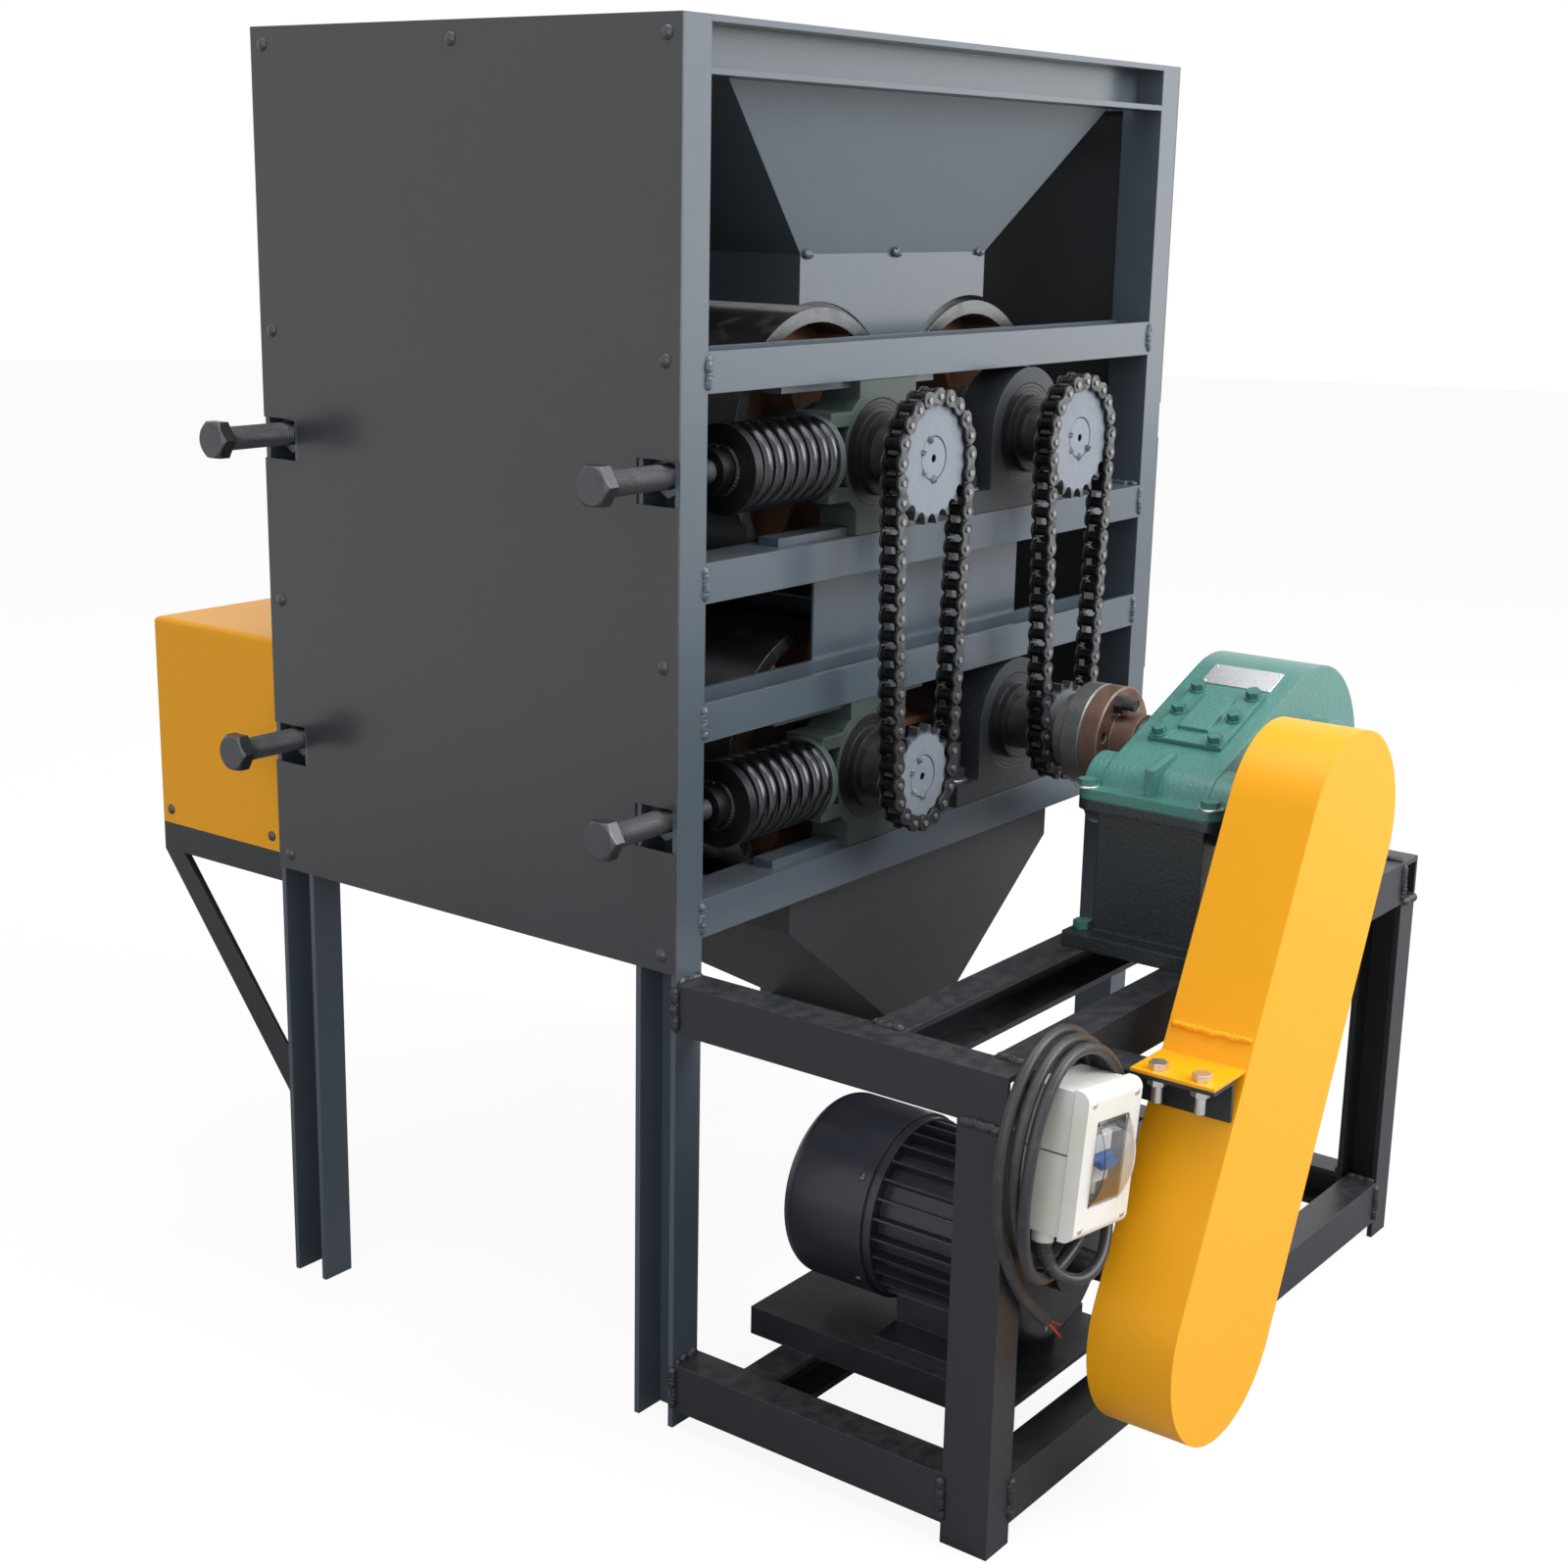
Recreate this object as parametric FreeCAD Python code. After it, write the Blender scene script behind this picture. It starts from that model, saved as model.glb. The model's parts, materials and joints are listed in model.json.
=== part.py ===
import FreeCAD, Part
import math
import os
from FreeCAD import Vector

# Two-stage four-roller grain mill in a welded channel frame.
# All sizes are millimetres. X runs along the front from the left panel, Y from the front face to the rear
# and Z up from the floor. The finished pieces are moved so that the origin is the middle of the base.

# Rolled channel
CHANNEL_H = 50.0
CHANNEL_B = 38.0
CHANNEL_WEB = 4.5
CHANNEL_FLANGE = 6.0

# Cabinet
CAB_WIDTH = 900.0
CAB_DEPTH = 557.0
CAB_HEIGHT = 1346.0
PANEL_THICK = 2.0
PANEL_BOTTOM = 477.0
NOTCH_DEPTH = 50.0
NOTCH_HEIGHT = 42.0
NOTCH_DROP = 5.0
SIDE_RAIL_Z = 482.0
SCREW_RADIUS = 7.0
SCREW_HEIGHT = 4.0
SCREW_INSET = 17.0
SCREW_LEVELS = 4

# Rollers
ROLL_RADIUS = 140.0
ROLL_GAP = 6.0
ROLL_MID_X = 458.0
ROLL_WALL = 15.0
ROLL_END_GAP = 80.0
WEB_RECESS = 46.0
WEB_THICK = 12.0
GUSSETS = 6
GUSSET_THICK = 8.0
GUSSET_SET_BACK = 7.0
HUB_RADIUS = 46.0
SHAFT_RADIUS = 30.0
NOSE_RADIUS = 22.0
NOSE_CHAMFER = 1.5
CENTRE_HOLE_R = 4.0
CENTRE_HOLE_L = 12.0
UPPER_AXIS_Z = 946.0

# Roller chain and sprockets
CHAIN_PITCH = 19.05
CHAIN_ROLLER_R = 5.95
CHAIN_PIN_R = 2.97
CHAIN_PIN_GAP = 0.06
CHAIN_PLATE_R = 8.6
CHAIN_WAIST = 5.6
CHAIN_PLATE_T = 2.4
CHAIN_INNER_W = 12.6
CHAIN_PLATE_GAP = 0.25
CHAIN_PIN_END = 1.8
CHAIN_LINKS = 52
CHAIN_Y = -58.0
UPPER_TEETH = 20
LOWER_TEETH = 16
SPROCKET_WIDTH = 11.4
SPROCKET_SEAT_GAP = 0.25
SPROCKET_HUB_R = 36.0
SPROCKET_HUB_L = 20.0

# Bearing seats
SEAT_HEIGHT = 80.0
SEAT_ROOF = 74.0
BEARING_WIDTH = 46.0
INSERT_RADIUS = 55.0
INSERT_WIDTH = 66.0
COLLAR_RADIUS = 42.0
RUN_CLEAR = 0.05
SLIDE_CLEAR = 0.3
STRIP_THICK = 8.0
STRIP_WIDTH = 24.0
STRIP_START_X = 165.0
STRIP_LENGTH = 260.0

# Fixed pillow blocks
PILLOW_BASE_L = 230.0
PILLOW_BASE_T = 24.0
PILLOW_RADIUS = 72.0
PILLOW_BOLT_SPAN = 180.0
STUD_RADIUS = 8.0
STUD_NUT_AF = 24.0
STUD_NUT_H = 14.0
STUD_HEIGHT = 42.0

# Sliding take-up blocks
BLOCK_FRONT = 62.0
BLOCK_BACK = 36.0
BLOCK_TAIL = 84.0
TAIL_HALF = 44.0
WINDOW_LENGTH = 26.0
WINDOW_HALF = 30.0
WINDOW_WALL = 10.0
BOSS_RADIUS = 66.0

# Springs, plates and adjusting bolts
SPRING_RADIUS = 36.0
SPRING_WIRE = 14.0
SPRING_TURNS = 6.0
SPRING_SEAT = 0.3
SPRING_LENGTH = 124.0
PLATE_RADIUS = 43.0
PLATE_THICK = 11.0
FOLLOWER_THICK = 8.0
SOCKET_RADIUS = 21.0
SOCKET_LENGTH = 20.0
BOLT_RADIUS = 12.0
BOLT_CLEAR = 0.08
BOLT_AF = 36.0
BOLT_HEAD = 15.0
BOLT_NUT = 20.0
UPPER_BOLT_REACH = 93.0
LOWER_BOLT_REACH = 84.0
BOLT_PITCH = 3.0
ADJUST_TRAVEL = 5.0
SPRING_TRAVEL = 5.0

# Reversing gears behind the cabinet
GEAR_ARCH = 1.01
GEAR_TEETH = 16
GEAR_WIDTH = 42.0
GEAR_BACKLASH = 0.25
GEAR_SLACK = 0.3
GEAR_START = 40.0
GEAR_HUB_R = 34.0
IDLER_PIN_R = 16.0
IDLER_CAP_R = 24.0
IDLER_CAP_T = 6.0
IDLER_PLATE_T = 8.0
GEAR_COVER_DEPTH = 198.0
GEAR_COVER_BOTTOM = 492.0
GEAR_COVER_TOP = 728.0
COVER_SHEET = 2.0
COVER_BEND_R = 6.0
SHELF_LEG = 32.0
SHELF_THICK = 4.0
STRUT_FOOT_Z = 215.0
STRUT_WIDTH = 32.0

# Hoppers
HOPPER_SHEET = 3.0
HOPPER_TOP_Z = 1299.0
HOPPER_NECK_Z = 1138.0
HOPPER_MOUTH_W = 700.0
HOPPER_NECK_W = 342.0
HOPPER_NECK_INSET = 5.0
HOPPER_TIP_RISE = 40.0
ROLL_SKIN_GAP = 5.0
CHUTE_LEFT_X = 275.0
CHUTE_RIGHT_X = 668.0
CHUTE_OVERLAP = 18.0
DEFLECTOR_TOP_IN = 128.0
DEFLECTOR_LOW_IN = 56.0
DEFLECTOR_DROP = 44.0
DISCHARGE_W = 506.0
DISCHARGE_FRONT_Y = 20.0
DISCHARGE_SKIRT_Z = 462.0
DISCHARGE_NECK_Z = 300.0
DISCHARGE_OUT_Z = 240.0
DISCHARGE_OUT_W = 84.0
DISCHARGE_OUT_D = 180.0

# Drive platform
PLATFORM_DEPTH = 369.0
PLATFORM_TOP = 468.0
PLATFORM_RAIL_Z = 20.0
CROSS_RAIL_Y = -200.0
BASE_CROSS_Y = -60.0
SLAB_WIDTH = 204.0
SLAB_THICK = 30.0
SLAB_SHEET = 6.0
SLAB_FRONT_Y = -330.0
SLAB_REAR_Y = -20.0

# Motor
MOTOR_X = 202.0
MOTOR_HEIGHT = 112.0
MOTOR_RADIUS = 78.0
FIN_COUNT = 28
FIN_HEIGHT = 12.0
FIN_THICK = 3.5
MOTOR_REAR_Y = -146.0
MOTOR_FRONT_Y = -318.0
SHIELD_LENGTH = 26.0
SHIELD_NOSE = 34.0
SPIGOT_LENGTH = 10.0
FAN_COVER_RADIUS = 95.0
FAN_COVER_LENGTH = 100.0
FAN_COVER_SHEET = 2.5
FAN_COVER_ROUND = 16.0
FAN_RADIUS = 74.0
FAN_BLADES = 7
FOOT_THICK = 14.0
FOOT_SPAN = 190.0
FOOT_WIDTH = 40.0
MOTOR_SHAFT_R = 14.0
TERMINAL_SIZE = 96.0
TERMINAL_DEPTH = 52.0

# Belt drive and guard
GEARBOX_PULLEY_R = 78.0
MOTOR_PULLEY_R = 70.0
PULLEY_WIDTH = 50.0
PULLEY_Y = -468.0
BELT_COUNT = 2
BELT_SPACING = 19.0
BELT_TOP = 16.0
BELT_BASE = 10.0
BELT_DEPTH = 10.0
BELT_CLEAR = 0.35
GUARD_FRONT_Y = -493.0
GUARD_DEPTH = 86.0
GUARD_SHEET = 2.0
GUARD_TOP_R = 99.0
GUARD_LOW_R = 105.0
GUARD_LOW_Z = 184.0
BRACKET_Z = 440.0
BRACKET_LEG = 40.0
BRACKET_THICK = 4.0
LIP_THICK = 3.0
GUARD_BOLT_R = 5.0
GUARD_BOLT_AF = 16.0
GUARD_BOLT_IN = 0.35

# Gear reducer
GEARBOX_CENTRES = 199.0
GEARBOX_Y = -300.0
GEARBOX_HALF = 58.0
GEARBOX_WALL = 9.0
GEARBOX_HIGH_R = 112.0
GEARBOX_LOW_R = 38.0
GEARBOX_FLANGE_HALF = 78.0
GEARBOX_FLANGE_T = 11.0
GEARBOX_FLANGE_LIP = 18.0
GEARBOX_FOOT_T = 16.0
GEARBOX_FOOT_LIP = 22.0
GEARBOX_BOSS_R = 37.0
GEARBOX_BIG_BOSS_R = 58.0
GEARBOX_BOSS_L = 20.0
GEARBOX_BOLT_R = 5.0
GEARBOX_BOLT_AF = 17.0
GEARBOX_BOLT_H = 8.0
GEARBOX_RIB_T = 9.0
COVER_PLATE_T = 5.0
COVER_PLATE_L = 104.0
COVER_PLATE_W = 80.0
COVER_BOLT_AF = 13.0
GEARBOX_RATIO = 8.23
INPUT_SHAFT_R = 15.0
OUTPUT_SHAFT_R = 25.0

# Flange coupling
COUPLING_RADIUS = 58.0
COUPLING_FLANGE = 23.0
COUPLING_HUB_R = 42.0
COUPLING_NECK_R = 35.0
COUPLING_SMALL_HUB_R = 31.0
COUPLING_HUB_L = 27.0
COUPLING_CHAMFER = 1.5
COUPLING_BOLTS = 3
COUPLING_HOLES = 6
COUPLING_BOLT_PCD = 88.0
COUPLING_BOLT_R = 6.0
COUPLING_BOLT_AF = 19.0
COUPLING_BOLT_H = 9.0

# Breaker box
BREAKER_X = 72.0
BREAKER_Z = 385.0
BREAKER_TILT = 8.0
BREAKER_W = 92.0
BREAKER_H = 130.0
BREAKER_DEPTH = 47.0
BREAKER_WALL = 2.5
COVER_LIP = 2.5
COVER_DEPTH = 15.0
COVER_CORNER = 10.0
WINDOW_W = 56.0
WINDOW_H = 78.0
POLE_W = 18.0
POLES = 2
POLE_BODY_H = 76.0
POLE_NOSE_H = 44.0
POLE_NOSE = 9.0
TOGGLE_R = 5.0
TOGGLE_REACH = 12.0
TOGGLE_ANGLE = 40.0
FLAP_BULGE = 12.0
FLAP_THICK = 1.6
FLAP_GAP = 0.6
FLAP_ANGLE = 85.0
GLAND_R = 10.0
GLAND_L = 12.0

# Power cable: wound loops, hanging tail and bare cores
CABLE_R = 5.5
LOOP_LEFT = 8.0
LOOP_HALF_W = 68.0
LOOP_RIGHT_W = 87.0
LOOP_HALF_H = 97.0
LOOP_GROW = 6.0
LOOP_START = -0.125
LOOP_END = 2.5
LOOP_STEP = 11.5
CABLE_EXIT_X = -30.0
CABLE_BACK_GAP = 0.6
TAIL_ROUTE = [(4, 0, -52), (25, -1, -99), (54, -2, -141), (88, -4, -170)]
CORE_R = 1.3
CORE_LENGTH = 34.0
CORES = 3
CORE_SPREAD = 0.12

# Worked out from the driving sizes
ROLL_PITCH = 2 * ROLL_RADIUS + ROLL_GAP
LEFT_X = ROLL_MID_X - ROLL_PITCH / 2
RIGHT_X = ROLL_MID_X + ROLL_PITCH / 2
UPPER_PITCH_R = CHAIN_PITCH / (2 * math.sin(math.pi / UPPER_TEETH))
LOWER_PITCH_R = CHAIN_PITCH / (2 * math.sin(math.pi / LOWER_TEETH))
SPAN_LINKS = (CHAIN_LINKS - UPPER_TEETH // 2 - LOWER_TEETH // 2) // 2
CHAIN_DROP = math.sqrt((SPAN_LINKS * CHAIN_PITCH) ** 2 - (UPPER_PITCH_R - LOWER_PITCH_R) ** 2)
LOWER_AXIS_Z = UPPER_AXIS_Z - CHAIN_DROP
AXIS_LEVELS = {"upper": UPPER_AXIS_Z, "lower": LOWER_AXIS_Z}
BOLT_REACH = {"upper": UPPER_BOLT_REACH, "lower": LOWER_BOLT_REACH}
SPROCKET_TEETH = {"upper": UPPER_TEETH, "lower": LOWER_TEETH}
ROLL_FRONT_Y = ROLL_END_GAP
ROLL_REAR_Y = CAB_DEPTH - ROLL_END_GAP
BEARING_ROWS = {"front": CHANNEL_H / 2, "rear": CAB_DEPTH - CHANNEL_H / 2}
TAIL_X = LEFT_X - BLOCK_TAIL
FOLLOWER_X = TAIL_X - FOLLOWER_THICK
SPRING_START_X = FOLLOWER_X - SPRING_LENGTH
PLATE_X = SPRING_START_X - PLATE_THICK
GEAR_Y = CAB_DEPTH + GEAR_START
GEAR_CENTRES = GEAR_ARCH * ROLL_PITCH / 3
GEAR_PITCH_R = (GEAR_CENTRES - GEAR_SLACK) / 2
GEAR_MODULE = 2 * GEAR_PITCH_R / GEAR_TEETH
IDLER_IN = (ROLL_PITCH - GEAR_CENTRES) / 2
IDLER_RISE = math.sqrt(GEAR_CENTRES ** 2 - IDLER_IN ** 2)
IDLER_Z = LOWER_AXIS_Z + IDLER_RISE
LEFT_IDLER_X = LEFT_X + IDLER_IN
RIGHT_IDLER_X = RIGHT_X - IDLER_IN
INPUT_X = RIGHT_X - GEARBOX_CENTRES
BELT_HEIGHT = LOWER_AXIS_Z
SLAB_TOP = PLATFORM_RAIL_Z + CHANNEL_H + SLAB_THICK
MOTOR_Z = SLAB_TOP + MOTOR_HEIGHT
CHAIN_HALF_W = CHAIN_INNER_W / 2 + 2 * CHAIN_PLATE_T + CHAIN_PLATE_GAP + CHAIN_PIN_END
COUPLING_Y = CHAIN_Y - SPROCKET_WIDTH / 2 - COUPLING_HUB_L
PLATFORM_FRONT_Y = -PLATFORM_DEPTH
DRIVE_RATIO = GEARBOX_RATIO * GEARBOX_PULLEY_R / MOTOR_PULLEY_R

# Reach of the finished machine, which sets the origin at the middle of its base
REACH_LEFT = -max(UPPER_BOLT_REACH, LOWER_BOLT_REACH)
REACH_RIGHT = CAB_WIDTH + PANEL_THICK + SCREW_HEIGHT
REACH_FRONT = GUARD_FRONT_Y
REACH_REAR = CAB_DEPTH + GEAR_COVER_DEPTH
ORIGIN = Vector((REACH_LEFT + REACH_RIGHT) / 2, (REACH_FRONT + REACH_REAR) / 2, 0)


# Basic forms

def box(x, y, z):
    """A block between three pairs of limits."""
    return Part.makeBox(x[1] - x[0], y[1] - y[0], z[1] - z[0], Vector(x[0], y[0], z[0]))


def rod_x(x, y, z, radius):
    return Part.makeCylinder(radius, x[1] - x[0], Vector(x[0], y, z), Vector(1, 0, 0))


def rod_y(x, y, z, radius):
    return Part.makeCylinder(radius, y[1] - y[0], Vector(x, y[0], z), Vector(0, 1, 0))


def rod_z(x, y, z, radius):
    return Part.makeCylinder(radius, z[1] - z[0], Vector(x, y, z[0]), Vector(0, 0, 1))


def hexagon(across_flats, length):
    """A hexagonal prism standing on the origin along Z."""
    corner = across_flats / math.sqrt(3)
    points = [Vector(corner * math.cos(k * math.pi / 3), corner * math.sin(k * math.pi / 3), 0)
              for k in range(6)]
    outline = Part.makePolygon(points + points[:1])
    return Part.Face(outline).extrude(Vector(0, 0, length))


def aim(shape, position, direction):
    """Turn a shape made along Z to a direction and set it down at a position."""
    turned = shape.copy()
    turned.Placement = FreeCAD.Placement(position, FreeCAD.Rotation(Vector(0, 0, 1), direction))
    return turned


def joined(shapes):
    """One solid from touching or crossing shapes."""
    whole = shapes[0].multiFuse(shapes[1:])
    return whole.removeSplitter()


def channel(x, y, z, run, opening):
    """A rolled channel in a box: run is its length axis, opening the side that is open, such as -x."""
    limits = {"x": list(x), "y": list(y), "z": list(z)}
    hollow = {axis: list(pair) for axis, pair in limits.items()}
    depth_axis = opening[1]
    height_axis = ({"x", "y", "z"} - {run, depth_axis}).pop()
    hollow[run] = [limits[run][0] - 1, limits[run][1] + 1]
    hollow[height_axis] = [limits[height_axis][0] + CHANNEL_FLANGE,
                           limits[height_axis][1] - CHANNEL_FLANGE]
    if opening[0] == "+":
        hollow[depth_axis] = [limits[depth_axis][0] + CHANNEL_WEB, limits[depth_axis][1] + 1]
    else:
        hollow[depth_axis] = [limits[depth_axis][0] - 1, limits[depth_axis][1] - CHANNEL_WEB]
    return box(x, y, z).cut(box(hollow["x"], hollow["y"], hollow["z"]))


def profile_y(points, y):
    """A flat outline in X and Z carried along Y."""
    corners = [Vector(px, y[0], pz) for px, pz in points]
    outline = Part.makePolygon(corners + corners[:1])
    return Part.Face(outline).extrude(Vector(0, y[1] - y[0], 0))


def belt_wire(first, first_r, second, second_r, y):
    """The line of a band pulled round two circles in the X and Z plane."""
    run = math.hypot(second[0] - first[0], second[1] - first[1])
    heading = math.atan2(second[1] - first[1], second[0] - first[0])
    lean = math.acos((first_r - second_r) / run)

    def spot(centre, radius, angle):
        return Vector(centre[0] + radius * math.cos(angle), y, centre[1] + radius * math.sin(angle))

    a, b = heading + lean, heading - lean
    far = Part.Arc(spot(first, first_r, a), spot(first, first_r, heading + math.pi),
                   spot(first, first_r, b))
    near = Part.Arc(spot(second, second_r, b), spot(second, second_r, heading), spot(second, second_r, a))
    there = Part.LineSegment(spot(first, first_r, b), spot(second, second_r, b))
    back = Part.LineSegment(spot(second, second_r, a), spot(first, first_r, a))
    return Part.Wire([far.toShape(), there.toShape(), near.toShape(), back.toShape()])


def belt_plate(first, first_r, second, second_r, y):
    """A plate with the outline of a band round two circles."""
    face = Part.Face(belt_wire(first, first_r, second, second_r, y[0]))
    return face.extrude(Vector(0, y[1] - y[0], 0))


def funnel(low, low_z, high, high_z):
    """A straight-sided funnel between two level rectangles, each given as x and y limits."""
    rings = []
    for (x, y), level in ((low, low_z), (high, high_z)):
        corners = [(x[0], y[0]), (x[1], y[0]), (x[1], y[1]), (x[0], y[1]), (x[0], y[0])]
        rings.append(Part.makePolygon([Vector(px, py, level) for px, py in corners]))
    return Part.makeLoft(rings, True, True)


def shrunk(rectangle, wall):
    """A rectangle moved in by a wall on every side."""
    (x, y) = rectangle
    return ((x[0] + wall, x[1] - wall), (y[0] + wall, y[1] - wall))


# Tubes along a wound line

def arc_between(start, tangent, end):
    """The arc that leaves a point along a tangent and ends at another point."""
    chord = end - start
    length = chord.Length
    along = chord * (1 / length)
    side = tangent - along * tangent.dot(along)
    if side.Length < 1e-6:
        return Part.LineSegment(start, end)
    turn = math.acos(max(-1.0, min(1.0, tangent.dot(along))))
    side.normalize()
    middle = (start + end) * 0.5 + side * (length / 2 * math.tan(turn / 2))
    return Part.Arc(start, middle, end)


def biarc(start, start_tangent, end, end_tangent):
    """Two arcs that join two points and meet their tangents."""
    gap = end - start
    both = start_tangent + end_tangent
    bend = 2 * (1 - start_tangent.dot(end_tangent))
    cross = gap.dot(both)
    if bend < 1e-9:
        reach = gap.dot(gap) / (2 * cross)
    else:
        reach = (-cross + math.sqrt(cross * cross + bend * gap.dot(gap))) / bend
    meet = (start + start_tangent * reach + end - end_tangent * reach) * 0.5
    first = arc_between(start, start_tangent, meet)
    second = arc_between(end, end_tangent * -1, meet)
    return [first.toShape(), second.toShape()]


def tangents_of(line, spots):
    """Unit tangents of a curve function at its parameters."""
    tangents = []
    for spot in spots:
        step = line(spot + 1e-4) - line(spot - 1e-4)
        tangents.append(step.normalize())
    return tangents


def tube_along(edges, start, tangent, radius):
    """A round tube swept along joined edges."""
    ring = Part.Wire([Part.Circle(start, tangent, radius).toShape()])
    sweep = Part.BRepOffsetAPI.MakePipeShell(Part.Wire(Part.__sortEdges__(edges)))
    sweep.add(ring)
    sweep.build()
    sweep.makeSolid()
    return sweep.shape()


def least_gap(points, skip, diameter):
    """The least clear distance between turns, measured on points along the line."""
    closest = 1e9
    for i in range(0, len(points)):
        for j in range(i + skip, len(points)):
            closest = min(closest, (points[i] - points[j]).Length)
    return closest - diameter


def routed_edges(points):
    """Straight runs joined by tangent arcs as large as the runs allow, with their radii."""
    edges, radii = [], []
    cursor = points[0]
    for before, corner, after in zip(points, points[1:], points[2:]):
        inward = (before - corner).normalize()
        outward = (after - corner).normalize()
        short = min((before - corner).Length, (after - corner).Length)
        half_turn = (math.pi - inward.getAngle(outward)) / 2
        setback = 0.45 * short
        radius = setback / math.tan(half_turn)
        bisector = (inward + outward).normalize()
        centre_gap = radius / math.cos(half_turn)
        arc_start = corner + inward * setback
        arc_end = corner + outward * setback
        arc_mid = corner + bisector * (centre_gap - radius)
        edges.append(Part.LineSegment(cursor, arc_start).toShape())
        edges.append(Part.Arc(arc_start, arc_mid, arc_end).toShape())
        cursor = arc_end
        radii.append(radius)
    edges.append(Part.LineSegment(cursor, points[-1]).toShape())
    return edges, radii


# Cabinet frame

def corner_posts():
    """The four column places: x limits, y limits and the open side."""
    left = (0, CHANNEL_B)
    right = (CAB_WIDTH - CHANNEL_B, CAB_WIDTH)
    front = (0, CHANNEL_H)
    rear = (CAB_DEPTH - CHANNEL_H, CAB_DEPTH)
    return [(left, front, "-x"), (left, rear, "-x"), (right, front, "+x"), (right, rear, "+x")]


def columns():
    """Full-height channel columns; the left pair carries the welded screw nuts."""
    posts = [channel(x, y, (0, CAB_HEIGHT), "z", side) for x, y, side in corner_posts()]
    drilled = []
    nuts = []
    for post in posts:
        for level in AXIS_LEVELS.values():
            for row in BEARING_ROWS.values():
                post = post.cut(rod_x((-1, CHANNEL_B + 1), row, level, BOLT_RADIUS + BOLT_CLEAR))
        drilled.append(post)
    inner_x = CHANNEL_B - CHANNEL_WEB
    for level in AXIS_LEVELS.values():
        for row in BEARING_ROWS.values():
            nut = aim(hexagon(BOLT_AF, BOLT_NUT), Vector(inner_x - BOLT_NUT, row, level), Vector(1, 0, 0))
            nuts.append(nut.cut(rod_x((0, CHANNEL_B), row, level, BOLT_RADIUS + BOLT_CLEAR)))
    return Part.makeCompound(drilled + nuts)


def tie_rails():
    """Top rails on four sides and the low side rails behind the panels."""
    across = (CHANNEL_B, CAB_WIDTH - CHANNEL_B)
    along = (CHANNEL_H, CAB_DEPTH - CHANNEL_H)
    top = (CAB_HEIGHT - CHANNEL_H, CAB_HEIGHT)
    low = (SIDE_RAIL_Z, SIDE_RAIL_Z + CHANNEL_H)
    rails = [channel(across, (0, CHANNEL_B), top, "x", "-y"),
             channel(across, (CAB_DEPTH - CHANNEL_B, CAB_DEPTH), top, "x", "+y")]
    for level in (top, low):
        rails.append(channel((0, CHANNEL_B), along, level, "y", "+x"))
        rails.append(channel((CAB_WIDTH - CHANNEL_B, CAB_WIDTH), along, level, "y", "-x"))
    return Part.makeCompound(rails)


def beam_rows():
    """The y limits of the front and rear bearing beams."""
    return [(row - CHANNEL_H / 2, row + CHANNEL_H / 2) for row in BEARING_ROWS.values()]


def strip(row, low_z):
    """A flat slide strip on or under a beam."""
    return box((STRIP_START_X, STRIP_START_X + STRIP_LENGTH),
               (row - STRIP_WIDTH / 2, row + STRIP_WIDTH / 2), (low_z, low_z + STRIP_THICK))


def bearing_beams():
    """Beams under the bearings, web up, with the lower slide strips welded on."""
    pieces = []
    for axis in AXIS_LEVELS.values():
        top = axis - SEAT_HEIGHT
        for y in beam_rows():
            beam = channel((CHANNEL_B, CAB_WIDTH - CHANNEL_B), y, (top - CHANNEL_B, top), "x", "-z")
            row = (y[0] + y[1]) / 2
            for side in (-1, 1):
                bolt_x = RIGHT_X + side * PILLOW_BOLT_SPAN / 2
                beam = beam.cut(rod_z(bolt_x, row, (top - CHANNEL_B, top + 1), STUD_RADIUS + SLIDE_CLEAR))
            pieces += [beam, strip(row, top)]
    return Part.makeCompound(pieces)


def guide_rails():
    """Rails above the bearings, web down, with the upper slide strips welded on."""
    pieces = []
    for axis in AXIS_LEVELS.values():
        low = axis + SEAT_ROOF
        for y in beam_rows():
            pieces.append(channel((CHANNEL_B, CAB_WIDTH - CHANNEL_B), y, (low, low + CHANNEL_B), "x",
                                  "+z"))
            pieces.append(strip((y[0] + y[1]) / 2, low - STRIP_THICK))
    return Part.makeCompound(pieces)


def side_panel(x):
    """A side sheet with four notches for the adjusting bolts."""
    sheet = box(x, (0, CAB_DEPTH), (PANEL_BOTTOM, CAB_HEIGHT))
    for axis in AXIS_LEVELS.values():
        middle = axis - NOTCH_DROP
        z = (middle - NOTCH_HEIGHT / 2, middle + NOTCH_HEIGHT / 2)
        for y in ((-1, NOTCH_DEPTH), (CAB_DEPTH - NOTCH_DEPTH, CAB_DEPTH + 1)):
            sheet = sheet.cut(box((x[0] - 1, x[1] + 1), y, z))
    return sheet


def side_panels():
    """The left and right side sheets."""
    return Part.makeCompound([side_panel((-PANEL_THICK, 0)),
                              side_panel((CAB_WIDTH, CAB_WIDTH + PANEL_THICK))])


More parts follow.
